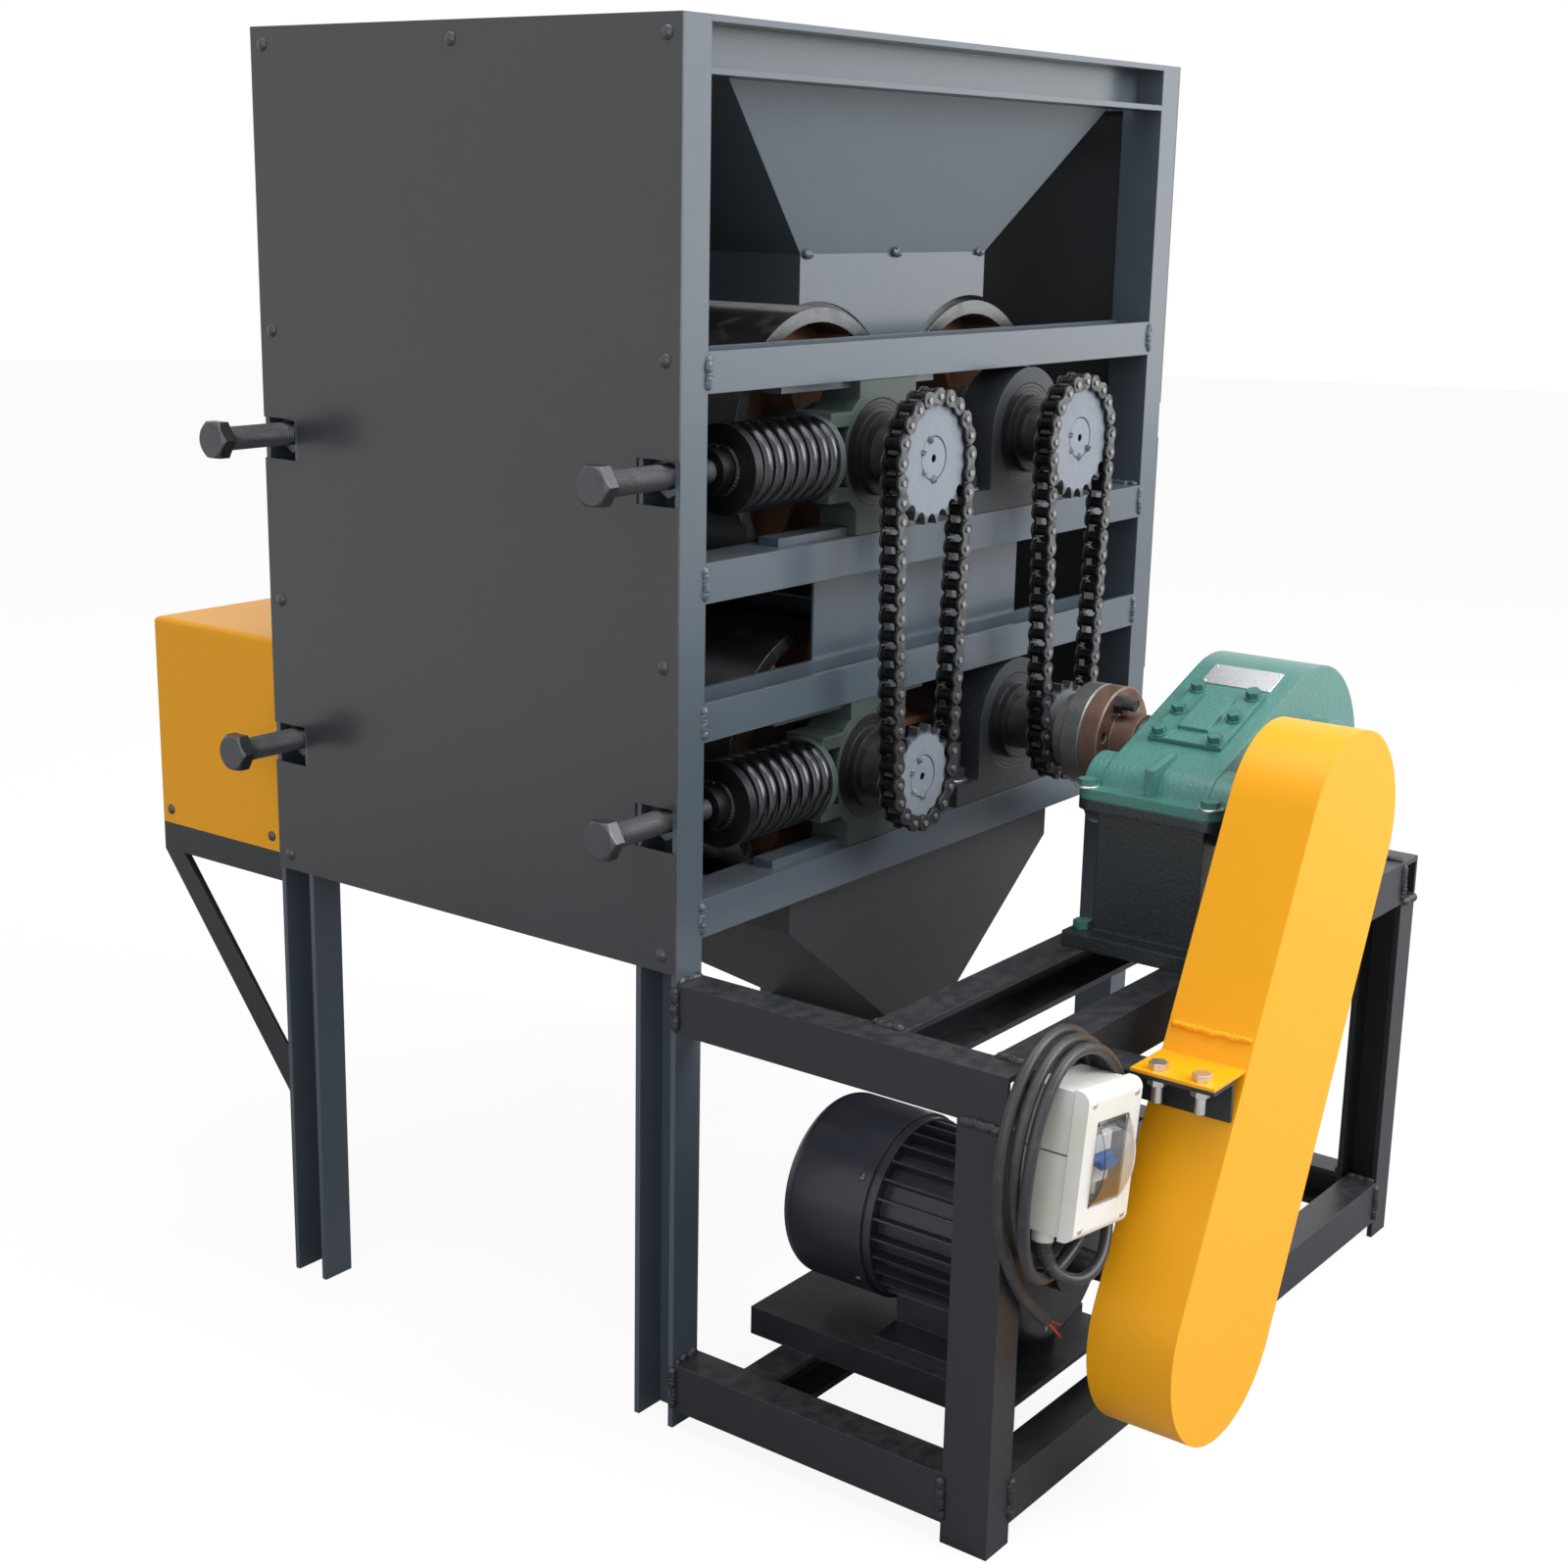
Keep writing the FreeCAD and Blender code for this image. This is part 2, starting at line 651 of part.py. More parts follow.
def panel_screws():
    """Dome-headed screws round the edges of both panels."""
    ball_r = (SCREW_RADIUS ** 2 + SCREW_HEIGHT ** 2) / (2 * SCREW_HEIGHT)
    dome = Part.makeSphere(ball_r, Vector(0, 0, SCREW_HEIGHT - ball_r))
    dome = dome.common(rod_z(0, 0, (0, SCREW_HEIGHT), SCREW_RADIUS))
    step = (CAB_HEIGHT - PANEL_BOTTOM - 2 * SCREW_INSET) / (SCREW_LEVELS - 1)
    places = [(CAB_DEPTH / 2, CAB_HEIGHT - SCREW_INSET)]
    for y in (SCREW_INSET, CAB_DEPTH - SCREW_INSET):
        for k in range(SCREW_LEVELS):
            places.append((y, PANEL_BOTTOM + SCREW_INSET + k * step))
    screws = []
    for y, z in places:
        screws.append(aim(dome, Vector(-PANEL_THICK, y, z), Vector(-1, 0, 0)))
        screws.append(aim(dome, Vector(CAB_WIDTH + PANEL_THICK, y, z), Vector(1, 0, 0)))
    return Part.makeCompound(screws)


# Hoppers and chutes

def feed_hopper():
    """Funnel with a square neck whose ends reach down between the upper rollers."""
    mouth = ((ROLL_MID_X - HOPPER_MOUTH_W / 2, ROLL_MID_X + HOPPER_MOUTH_W / 2),
             (CHANNEL_B, CAB_DEPTH - CHANNEL_B))
    neck = ((ROLL_MID_X - HOPPER_NECK_W / 2, ROLL_MID_X + HOPPER_NECK_W / 2),
            (ROLL_FRONT_Y + HOPPER_NECK_INSET, ROLL_REAR_Y - HOPPER_NECK_INSET))
    outer = funnel(neck, HOPPER_NECK_Z, mouth, HOPPER_TOP_Z)
    inner = funnel(shrunk(neck, HOPPER_SHEET), HOPPER_NECK_Z, shrunk(mouth, HOPPER_SHEET), HOPPER_TOP_Z)
    tip_z = UPPER_AXIS_Z + HOPPER_TIP_RISE
    spout = box(neck[0], neck[1], (tip_z, HOPPER_NECK_Z))
    slim = shrunk(neck, HOPPER_SHEET)
    spout = spout.cut(box(slim[0], slim[1], (tip_z - 1, HOPPER_NECK_Z + 1)))
    for x in (LEFT_X, RIGHT_X):
        spout = spout.cut(rod_y(x, (0, CAB_DEPTH), UPPER_AXIS_Z, ROLL_RADIUS + ROLL_SKIN_GAP))
    return joined([outer.cut(inner), spout])


def middle_chute():
    """End plates between the two stages, with sloped sheets that lead to the lower gap."""
    low_z = LOWER_AXIS_Z + SEAT_ROOF + CHANNEL_B - CHUTE_OVERLAP
    high_z = UPPER_AXIS_Z - SEAT_HEIGHT - CHANNEL_B + CHUTE_OVERLAP
    front_y = CHANNEL_H
    rear_y = CAB_DEPTH - CHANNEL_H
    pieces = []
    for y in ((front_y, front_y + HOPPER_SHEET), (rear_y - HOPPER_SHEET, rear_y)):
        pieces.append(box((CHUTE_LEFT_X, CHUTE_RIGHT_X), y, (low_z, high_z)))
    middle_z = (UPPER_AXIS_Z + LOWER_AXIS_Z) / 2
    for side in (-1, 1):
        top_x = ROLL_MID_X + side * DEFLECTOR_TOP_IN
        low_x = ROLL_MID_X + side * DEFLECTOR_LOW_IN
        slope = [(top_x, middle_z), (low_x, middle_z - DEFLECTOR_DROP),
                 (low_x, middle_z - DEFLECTOR_DROP + HOPPER_SHEET), (top_x, middle_z + HOPPER_SHEET)]
        pieces.append(profile_y(slope, (front_y + HOPPER_SHEET, rear_y - HOPPER_SHEET)))
    return joined(pieces)


def discharge_hopper():
    """Skirt under the lower rollers that narrows to a spout near the front."""
    skirt = ((ROLL_MID_X - DISCHARGE_W / 2, ROLL_MID_X + DISCHARGE_W / 2),
             (DISCHARGE_FRONT_Y, CAB_DEPTH - DISCHARGE_FRONT_Y))
    outlet = ((ROLL_MID_X - DISCHARGE_OUT_W / 2, ROLL_MID_X + DISCHARGE_OUT_W / 2),
              (DISCHARGE_FRONT_Y, DISCHARGE_FRONT_Y + DISCHARGE_OUT_D))
    top_z = LOWER_AXIS_Z - SEAT_HEIGHT - CHANNEL_B
    outer = [box(skirt[0], skirt[1], (DISCHARGE_SKIRT_Z, top_z)),
             funnel(outlet, DISCHARGE_NECK_Z, skirt, DISCHARGE_SKIRT_Z),
             box(outlet[0], outlet[1], (DISCHARGE_OUT_Z, DISCHARGE_NECK_Z))]
    slim_skirt = shrunk(skirt, HOPPER_SHEET)
    slim_outlet = shrunk(outlet, HOPPER_SHEET)
    inner = [box(slim_skirt[0], slim_skirt[1], (DISCHARGE_SKIRT_Z, top_z + 1)),
             funnel(slim_outlet, DISCHARGE_NECK_Z, slim_skirt, DISCHARGE_SKIRT_Z),
             box(slim_outlet[0], slim_outlet[1], (DISCHARGE_OUT_Z - 1, DISCHARGE_NECK_Z))]
    return joined(outer).cut(joined(inner))


# Rollers, sprockets and chains

def roller(x, axis_z, shaft_y):
    """Welded roller: drum, two recessed webs, radial gussets and a stepped shaft."""
    hollow_r = ROLL_RADIUS - ROLL_WALL
    drum = rod_y(x, (ROLL_FRONT_Y, ROLL_REAR_Y), axis_z, ROLL_RADIUS)
    drum = drum.cut(rod_y(x, (ROLL_FRONT_Y - 1, ROLL_REAR_Y + 1), axis_z, hollow_r))
    pieces = [drum, rod_y(x, shaft_y, axis_z, SHAFT_RADIUS)]
    pieces.append(rod_y(x, (ROLL_FRONT_Y, ROLL_REAR_Y), axis_z, HUB_RADIUS))
    for start in (ROLL_FRONT_Y + WEB_RECESS, ROLL_REAR_Y - WEB_RECESS - WEB_THICK):
        pieces.append(rod_y(x, (start, start + WEB_THICK), axis_z, hollow_r + 1))
    ends = ((ROLL_FRONT_Y + GUSSET_SET_BACK, ROLL_FRONT_Y + WEB_RECESS),
            (ROLL_REAR_Y - WEB_RECESS, ROLL_REAR_Y - GUSSET_SET_BACK))
    for y in ends:
        for k in range(GUSSETS):
            gusset = box((x - GUSSET_THICK / 2, x + GUSSET_THICK / 2), y,
                         (axis_z + HUB_RADIUS - 2, axis_z + hollow_r + 1))
            gusset.rotate(Vector(x, 0, axis_z), Vector(0, 1, 0), 360.0 * (k + 0.5) / GUSSETS)
            pieces.append(gusset)
    return joined(pieces)


def nose_roller(x, axis_z, rear_y):
    """A roller whose front journal steps down to carry the sprocket."""
    shoulder = CHAIN_Y + SPROCKET_WIDTH / 2 + SPROCKET_HUB_L
    nose_end = CHAIN_Y - SPROCKET_WIDTH / 2
    body = roller(x, axis_z, (shoulder, rear_y))
    nose = rod_y(x, (nose_end, shoulder), axis_z, NOSE_RADIUS)
    nose = nose.makeChamfer(NOSE_CHAMFER,
                            [edge for edge in nose.Edges if edge.BoundBox.YMax < nose_end + 1])
    hole = rod_y(x, (nose_end - 1, nose_end + CENTRE_HOLE_L), axis_z, CENTRE_HOLE_R)
    return joined([body, nose]).cut(hole)


def sprocket_outline(teeth, pitch_r):
    """Closed outline with one round seat per chain roller, drawn in the X and Z plane."""
    seat_r = CHAIN_ROLLER_R + SPROCKET_SEAT_GAP
    tip_r = pitch_r + 0.8 * CHAIN_ROLLER_R
    seat_half = math.radians(68.0)
    tip_half = 0.16 * math.pi / teeth
    step = 2 * math.pi / teeth

    def polar(radius, angle):
        return Vector(radius * math.sin(angle), 0, radius * math.cos(angle))

    def seat_spot(centre_angle, swing):
        centre = polar(pitch_r, centre_angle)
        return centre + polar(seat_r, centre_angle + math.pi - swing)

    edges = []
    for k in range(teeth):
        angle = k * step
        left, low, right = (seat_spot(angle, s) for s in (-seat_half, 0, seat_half))
        edges.append(Part.Arc(left, low, right).toShape())
        tip_a = polar(tip_r, angle + step / 2 - tip_half)
        tip_b = polar(tip_r, angle + step / 2 + tip_half)
        edges.append(Part.LineSegment(right, tip_a).toShape())
        edges.append(Part.LineSegment(tip_a, tip_b).toShape())
        edges.append(Part.LineSegment(tip_b, seat_spot(angle + step, -seat_half)).toShape())
    return Part.Wire(Part.__sortEdges__(edges))


def sprocket(x, axis_z, teeth, pitch_r):
    """Toothed disc with a rear hub, on the nose of a roller shaft."""
    half = SPROCKET_WIDTH / 2
    disc = Part.Face(sprocket_outline(teeth, pitch_r)).extrude(Vector(0, SPROCKET_WIDTH, 0))
    disc.translate(Vector(x, CHAIN_Y - half, axis_z))
    hub = rod_y(x, (CHAIN_Y + half, CHAIN_Y + half + SPROCKET_HUB_L), axis_z, SPROCKET_HUB_R)
    bore = rod_y(x, (CHAIN_Y - half - 1, CHAIN_Y + half + SPROCKET_HUB_L + 1), axis_z, NOSE_RADIUS)
    return joined([disc, hub]).cut(bore)


def link_plate(y):
    """A waisted chain plate between two pins half a pitch either side of the origin."""
    half = CHAIN_PITCH / 2
    swing = math.radians(130.0)
    shoulder_x = half + CHAIN_PLATE_R * math.cos(swing)
    shoulder_z = CHAIN_PLATE_R * math.sin(swing)
    tip_x = half + CHAIN_PLATE_R
    low = y[0]
    arcs = [Part.Arc(Vector(shoulder_x, low, -shoulder_z), Vector(tip_x, low, 0),
                     Vector(shoulder_x, low, shoulder_z)),
            Part.Arc(Vector(shoulder_x, low, shoulder_z), Vector(0, low, CHAIN_WAIST),
                     Vector(-shoulder_x, low, shoulder_z)),
            Part.Arc(Vector(-shoulder_x, low, shoulder_z), Vector(-tip_x, low, 0),
                     Vector(-shoulder_x, low, -shoulder_z)),
            Part.Arc(Vector(-shoulder_x, low, -shoulder_z), Vector(0, low, -CHAIN_WAIST),
                     Vector(shoulder_x, low, -shoulder_z))]
    outline = Part.Wire([arc.toShape() for arc in arcs])
    return Part.Face(outline).extrude(Vector(0, y[1] - y[0], 0))


def inner_link():
    """Two inner plates with their bushed rollers, bored for the pins."""
    half_w = CHAIN_INNER_W / 2
    pieces = [link_plate((half_w, half_w + CHAIN_PLATE_T)),
              link_plate((-half_w - CHAIN_PLATE_T, -half_w))]
    reach = half_w + CHAIN_PLATE_T + 1
    bores = []
    for x in (-CHAIN_PITCH / 2, CHAIN_PITCH / 2):
        pieces.append(rod_y(x, (-half_w, half_w), 0, CHAIN_ROLLER_R))
        bores.append(rod_y(x, (-reach, reach), 0, CHAIN_PIN_R + CHAIN_PIN_GAP))
    return joined(pieces).cut(Part.makeCompound(bores))


def outer_link():
    """Two outer plates riveted to their pins."""
    start = CHAIN_INNER_W / 2 + CHAIN_PLATE_T + CHAIN_PLATE_GAP
    end = start + CHAIN_PLATE_T
    pieces = [link_plate((start, end)), link_plate((-end, -start))]
    for x in (-CHAIN_PITCH / 2, CHAIN_PITCH / 2):
        pieces.append(rod_y(x, (-end - CHAIN_PIN_END, end + CHAIN_PIN_END), 0, CHAIN_PIN_R))
    return joined(pieces)


def chain_pins(x):
    """Pin places round both sprockets and along the two straight runs, as x and z."""
    pins = []
    for k in range(UPPER_TEETH // 2 + 1):
        angle = math.pi * k / (UPPER_TEETH // 2)
        pins.append((x + UPPER_PITCH_R * math.cos(angle), UPPER_AXIS_Z + UPPER_PITCH_R * math.sin(angle)))
    low_start = (x - LOWER_PITCH_R, LOWER_AXIS_Z)
    last = pins[-1]
    for k in range(1, SPAN_LINKS):
        share = k / SPAN_LINKS
        pins.append((last[0] + share * (low_start[0] - last[0]),
                     last[1] + share * (low_start[1] - last[1])))
    for k in range(LOWER_TEETH // 2 + 1):
        angle = math.pi + math.pi * k / (LOWER_TEETH // 2)
        pins.append((x + LOWER_PITCH_R * math.cos(angle), LOWER_AXIS_Z + LOWER_PITCH_R * math.sin(angle)))
    last = pins[-1]
    first = pins[0]
    for k in range(1, SPAN_LINKS):
        share = k / SPAN_LINKS
        pins.append((last[0] + share * (first[0] - last[0]), last[1] + share * (first[1] - last[1])))
    return pins


def chain(x):
    """A closed roller chain of separate inner and outer links."""
    kinds = (inner_link(), outer_link())
    pins = chain_pins(x)
    links = []
    for k, (start, end) in enumerate(zip(pins, pins[1:] + pins[:1])):
        link = kinds[k % 2].copy()
        angle = math.degrees(math.atan2(end[1] - start[1], end[0] - start[0]))
        middle = Vector((start[0] + end[0]) / 2, CHAIN_Y, (start[1] + end[1]) / 2)
        link.Placement = FreeCAD.Placement(middle, FreeCAD.Rotation(Vector(0, 1, 0), -angle))
        links.append(link)
    return Part.makeCompound(links)


# Bearings

def bearing_insert(x, row, axis_z):
    """Ball bearing insert: outer ring and a longer inner ring round the shaft."""
    half = BEARING_WIDTH / 2
    long_half = INSERT_WIDTH / 2
    outer = rod_y(x, (row - half, row + half), axis_z, INSERT_RADIUS)
    outer = outer.cut(rod_y(x, (row - half - 1, row + half + 1), axis_z, COLLAR_RADIUS))
    inner = rod_y(x, (row - long_half, row + long_half), axis_z, COLLAR_RADIUS)
    inner = inner.cut(rod_y(x, (row - long_half - 1, row + long_half + 1), axis_z,
                            SHAFT_RADIUS + RUN_CLEAR))
    return [outer, inner]


def pillow_blocks():
    """Fixed housings with a round top, a flat base, two studs with nuts, and their inserts."""
    pieces = []
    for axis in AXIS_LEVELS.values():
        base_z = axis - SEAT_HEIGHT
        for row in BEARING_ROWS.values():
            y = (row - BEARING_WIDTH / 2, row + BEARING_WIDTH / 2)
            half = PILLOW_BASE_L / 2
            base = box((RIGHT_X - half, RIGHT_X + half), y, (base_z, base_z + PILLOW_BASE_T))
            column = box((RIGHT_X - PILLOW_RADIUS, RIGHT_X + PILLOW_RADIUS), y, (base_z, axis))
            housing = joined([base, column, rod_y(RIGHT_X, y, axis, PILLOW_RADIUS)])
            housing = housing.cut(rod_y(RIGHT_X, (y[0] - 1, y[1] + 1), axis, INSERT_RADIUS))
            for side in (-1, 1):
                stud_x = RIGHT_X + side * PILLOW_BOLT_SPAN / 2
                housing = housing.cut(rod_z(stud_x, row, (base_z - 1, base_z + SEAT_HEIGHT),
                                            STUD_RADIUS + SLIDE_CLEAR))
                nut = aim(hexagon(STUD_NUT_AF, STUD_NUT_H), Vector(stud_x, row, base_z + PILLOW_BASE_T),
                          Vector(0, 0, 1))
                stud = rod_z(stud_x, row, (base_z - CHANNEL_WEB, base_z + PILLOW_BASE_T + STUD_HEIGHT),
                             STUD_RADIUS)
                pieces.append(joined([nut, stud]))
            pieces.append(housing)
            pieces += bearing_insert(RIGHT_X, row, axis)
    return Part.makeCompound(pieces)


def take_up_block(row, axis):
    """Sliding housing grooved for the strips, with a slotted tail that the spring pushes."""
    y = (row - BEARING_WIDTH / 2, row + BEARING_WIDTH / 2)
    low = axis - SEAT_HEIGHT + SLIDE_CLEAR
    high = axis + SEAT_ROOF - SLIDE_CLEAR
    body = box((LEFT_X - BLOCK_BACK, LEFT_X + BLOCK_FRONT), y, (low, high))
    tail = box((TAIL_X, LEFT_X), y, (axis - TAIL_HALF, axis + TAIL_HALF))
    boss = rod_y(LEFT_X, y, axis, BOSS_RADIUS)
    boss = boss.common(box((TAIL_X, LEFT_X + BLOCK_FRONT), y, (low, high)))
    whole = joined([body, tail, boss])
    window = box((TAIL_X + WINDOW_WALL, TAIL_X + WINDOW_WALL + WINDOW_LENGTH), (y[0] - 1, y[1] + 1),
                 (axis - WINDOW_HALF, axis + WINDOW_HALF))
    window = window.cut(rod_y(LEFT_X, (y[0] - 2, y[1] + 2), axis, INSERT_RADIUS + WINDOW_WALL / 2))
    groove_y = (row - STRIP_WIDTH / 2 - SLIDE_CLEAR, row + STRIP_WIDTH / 2 + SLIDE_CLEAR)
    groove_x = (TAIL_X - 1, LEFT_X + BLOCK_FRONT + 1)
    groove_h = STRIP_THICK + 2 * SLIDE_CLEAR
    cuts = [window,
            box(groove_x, groove_y, (low - 1, axis - SEAT_HEIGHT + groove_h)),
            box(groove_x, groove_y, (axis + SEAT_ROOF - groove_h, high + 1)),
            rod_y(LEFT_X, (y[0] - 1, y[1] + 1), axis, INSERT_RADIUS)]
    return whole.cut(Part.makeCompound(cuts))


def take_up_blocks(level):
    """Front and rear sliding blocks of one stage with inserts and the discs the springs push."""
    axis = AXIS_LEVELS[level]
    pieces = []
    for row in BEARING_ROWS.values():
        pieces.append(take_up_block(row, axis))
        pieces += bearing_insert(LEFT_X, row, axis)
        pieces.append(rod_x((FOLLOWER_X, TAIL_X), row, axis, PLATE_RADIUS))
    return Part.makeCompound(pieces)


# Springs and adjusting bolts

def spring_line(row, axis):
    """Centre line of a spring: a helix whose end turns close up, as a function of turns."""
    start = SPRING_START_X + SPRING_SEAT + SPRING_WIRE / 2
    length = SPRING_LENGTH - 2 * SPRING_SEAT - SPRING_WIRE

    def line(turn):
        share = turn / SPRING_TURNS
        angle = 2 * math.pi * turn
        return Vector(start + length * share, row + SPRING_RADIUS * math.sin(angle),
                      axis + SPRING_RADIUS * math.cos(angle))
    return line


def spring(row, axis):
    """One coil spring as an unbroken wire on quarter-turn arcs."""
    line = spring_line(row, axis)
    count = int(round(4 * SPRING_TURNS))
    spots = [k * SPRING_TURNS / count for k in range(count + 1)]
    points = [line(spot) for spot in spots]
    tangents = tangents_of(line, spots)
    edges = []
    for k in range(count):
        edges += biarc(points[k], tangents[k], points[k + 1], tangents[k + 1])
    fine = [line(k * SPRING_TURNS / 240) for k in range(241)]
    print("spring least gap between turns", round(least_gap(fine, 24, SPRING_WIRE), 2))
    return tube_along(edges, points[0], tangents[0], SPRING_WIRE / 2)


def springs(level):
    return Part.makeCompound([spring(row, AXIS_LEVELS[level]) for row in BEARING_ROWS.values()])


def spring_plates(level):
    """Round plates pushed by the adjusting bolts, each with a socket for the bolt's tip."""
    axis = AXIS_LEVELS[level]
    plates = []
    for row in BEARING_ROWS.values():
        disc = rod_x((PLATE_X, PLATE_X + PLATE_THICK), row, axis, PLATE_RADIUS)
        socket = rod_x((PLATE_X - SOCKET_LENGTH, PLATE_X), row, axis, SOCKET_RADIUS)
        bore = rod_x((PLATE_X - SOCKET_LENGTH - 1, PLATE_X), row, axis, BOLT_RADIUS + BOLT_CLEAR)
        plates.append(joined([disc, socket]).cut(bore))
    return Part.makeCompound(plates)


def adjusting_bolt(level, end):
    """Long hex-head bolt from outside the panel to the socket of its spring plate."""
    axis = AXIS_LEVELS[level]
    row = BEARING_ROWS[end]
    head_x = -BOLT_REACH[level]
    head = aim(hexagon(BOLT_AF, BOLT_HEAD), Vector(head_x, row, axis), Vector(1, 0, 0))
    cone = Part.makeCone(BOLT_AF * 0.46, BOLT_AF * 0.46 + BOLT_HEAD * 3, BOLT_HEAD,
                         Vector(head_x, row, axis), Vector(1, 0, 0))
    shank = rod_x((head_x + BOLT_HEAD, PLATE_X), row, axis, BOLT_RADIUS)
    return joined([head.common(cone), shank])


# Reversing gears at the rear

def involute(angle):
    return math.tan(angle) - angle


def gear_outline(phase):
    """Involute gear outline about the origin in X and Z; phase turns it, in degrees."""
    base_r = GEAR_PITCH_R * math.cos(math.radians(20.0))
    tip_r = GEAR_PITCH_R + GEAR_MODULE
    root_r = GEAR_PITCH_R - 1.25 * GEAR_MODULE
    half_tooth = math.pi / (2 * GEAR_TEETH) - GEAR_BACKLASH / (2 * GEAR_PITCH_R)
    spread = half_tooth + involute(math.radians(20.0))

    def polar(radius, angle):
        return Vector(radius * math.cos(angle), 0, radius * math.sin(angle))

    def flank(radius):
        return spread - involute(math.acos(min(1.0, base_r / radius)))

    step = 2 * math.pi / GEAR_TEETH
    edges = []
    for k in range(GEAR_TEETH):
        mid = math.radians(phase) + k * step
        low, pitch, high = (flank(r) for r in (base_r, GEAR_PITCH_R, tip_r))
        edges.append(Part.LineSegment(polar(root_r, mid - low), polar(base_r, mid - low)).toShape())
        edges.append(Part.Arc(polar(base_r, mid - low), polar(GEAR_PITCH_R, mid - pitch),
                              polar(tip_r, mid - high)).toShape())
        edges.append(Part.LineSegment(polar(tip_r, mid - high), polar(tip_r, mid + high)).toShape())
        edges.append(Part.Arc(polar(tip_r, mid + high), polar(GEAR_PITCH_R, mid + pitch),
                              polar(base_r, mid + low)).toShape())
        edges.append(Part.LineSegment(polar(base_r, mid + low), polar(root_r, mid + low)).toShape())
        edges.append(Part.LineSegment(polar(root_r, mid + low),
                                      polar(root_r, mid + step - low)).toShape())
    return Part.Wire(Part.__sortEdges__(edges))


def gear(x, axis_z, phase, bore_r):
    """A spur gear with a bore."""
    wheel = Part.Face(gear_outline(phase)).extrude(Vector(0, GEAR_WIDTH, 0))
    wheel.translate(Vector(x, GEAR_Y, axis_z))
    hub = rod_y(x, (GEAR_Y - GEAR_HUB_R / 4, GEAR_Y), axis_z, GEAR_HUB_R)
    bore = rod_y(x, (GEAR_Y - GEAR_HUB_R, GEAR_Y + GEAR_WIDTH + 1), axis_z, bore_r)
    return joined([wheel, hub]).cut(bore)


def mesh_phases():
    """Turn of each gear, from the right one, so that a tooth faces a gap at every mesh."""
    tooth = 360.0 / GEAR_TEETH
    centres = [(RIGHT_X, LOWER_AXIS_Z), (RIGHT_IDLER_X, IDLER_Z), (LEFT_IDLER_X, IDLER_Z),
               (LEFT_X, LOWER_AXIS_Z)]
    phases = [0.0]
    for (ax, az), (bx, bz) in zip(centres, centres[1:]):
        line = math.degrees(math.atan2(bz - az, bx - ax))
        past_tooth = line - phases[-1]
        phases.append(line + 180.0 + past_tooth + tooth / 2)
    return phases


def right_gear():
    return gear(RIGHT_X, LOWER_AXIS_Z, mesh_phases()[0], SHAFT_RADIUS)


def right_idler():
    return gear(RIGHT_IDLER_X, IDLER_Z, mesh_phases()[1], IDLER_PIN_R + RUN_CLEAR)


def left_idler():
    return gear(LEFT_IDLER_X, IDLER_Z, mesh_phases()[2], IDLER_PIN_R + RUN_CLEAR)


def left_gear():
    return gear(LEFT_X, LOWER_AXIS_Z, mesh_phases()[3], SHAFT_RADIUS)


def gear_brackets():
    """Idler plate with capped stub axles, and a shelf angle with a strut on each rear column."""
    beam_low = LOWER_AXIS_Z - SEAT_HEIGHT - CHANNEL_B
    rail_top = min(LOWER_AXIS_Z + SEAT_ROOF + CHANNEL_B, GEAR_COVER_TOP - COVER_SHEET - SLIDE_CLEAR)
    plate_x = (LEFT_IDLER_X - IDLER_CAP_R, RIGHT_IDLER_X + IDLER_CAP_R)
    plate = box(plate_x, (CAB_DEPTH, CAB_DEPTH + IDLER_PLATE_T), (beam_low, rail_top))
    pieces = [plate]
    for x in (LEFT_IDLER_X, RIGHT_IDLER_X):
        end_y = GEAR_Y + GEAR_WIDTH + SLIDE_CLEAR
        pieces.append(rod_y(x, (CAB_DEPTH + IDLER_PLATE_T, end_y), IDLER_Z, IDLER_PIN_R))
        pieces.append(rod_y(x, (CAB_DEPTH + IDLER_PLATE_T, GEAR_Y - GEAR_HUB_R / 4 - SLIDE_CLEAR),
                            IDLER_Z, IDLER_CAP_R))
        pieces.append(rod_y(x, (end_y, end_y + IDLER_CAP_T), IDLER_Z, IDLER_CAP_R))
    whole = [joined(pieces)]
    shelf_z = (GEAR_COVER_BOTTOM - SHELF_THICK, GEAR_COVER_BOTTOM)
    shelf_y = (CAB_DEPTH, REACH_REAR)
    for x in ((0, SHELF_LEG), (CAB_WIDTH - SHELF_LEG, CAB_WIDTH)):
        shelf = box(x, shelf_y, shelf_z)
        upright = box((x[0], x[0] + SHELF_THICK), shelf_y,
                      (GEAR_COVER_BOTTOM - SHELF_LEG, GEAR_COVER_BOTTOM))
        foot = Vector(x[0], CAB_DEPTH, STRUT_FOOT_Z)
        crown = Vector(x[0], REACH_REAR - STRUT_WIDTH, GEAR_COVER_BOTTOM - SHELF_LEG)
        corners = [foot, foot + Vector(0, 0, STRUT_WIDTH * 1.6), crown,
                   crown + Vector(0, STRUT_WIDTH, 0), foot]
        strut = Part.Face(Part.makePolygon(corners)).extrude(Vector(SHELF_THICK, 0, 0))
        edge = [corners[0], corners[0] + Vector(0, 0, SHELF_THICK * 1.6),
                corners[3] - Vector(0, SHELF_THICK, 0), corners[3], corners[0]]
        lip = Part.Face(Part.makePolygon(edge)).extrude(Vector(SHELF_LEG * 0.8, 0, 0))
        whole += [joined([shelf, upright]), joined([strut, lip])]
    return Part.makeCompound(whole)


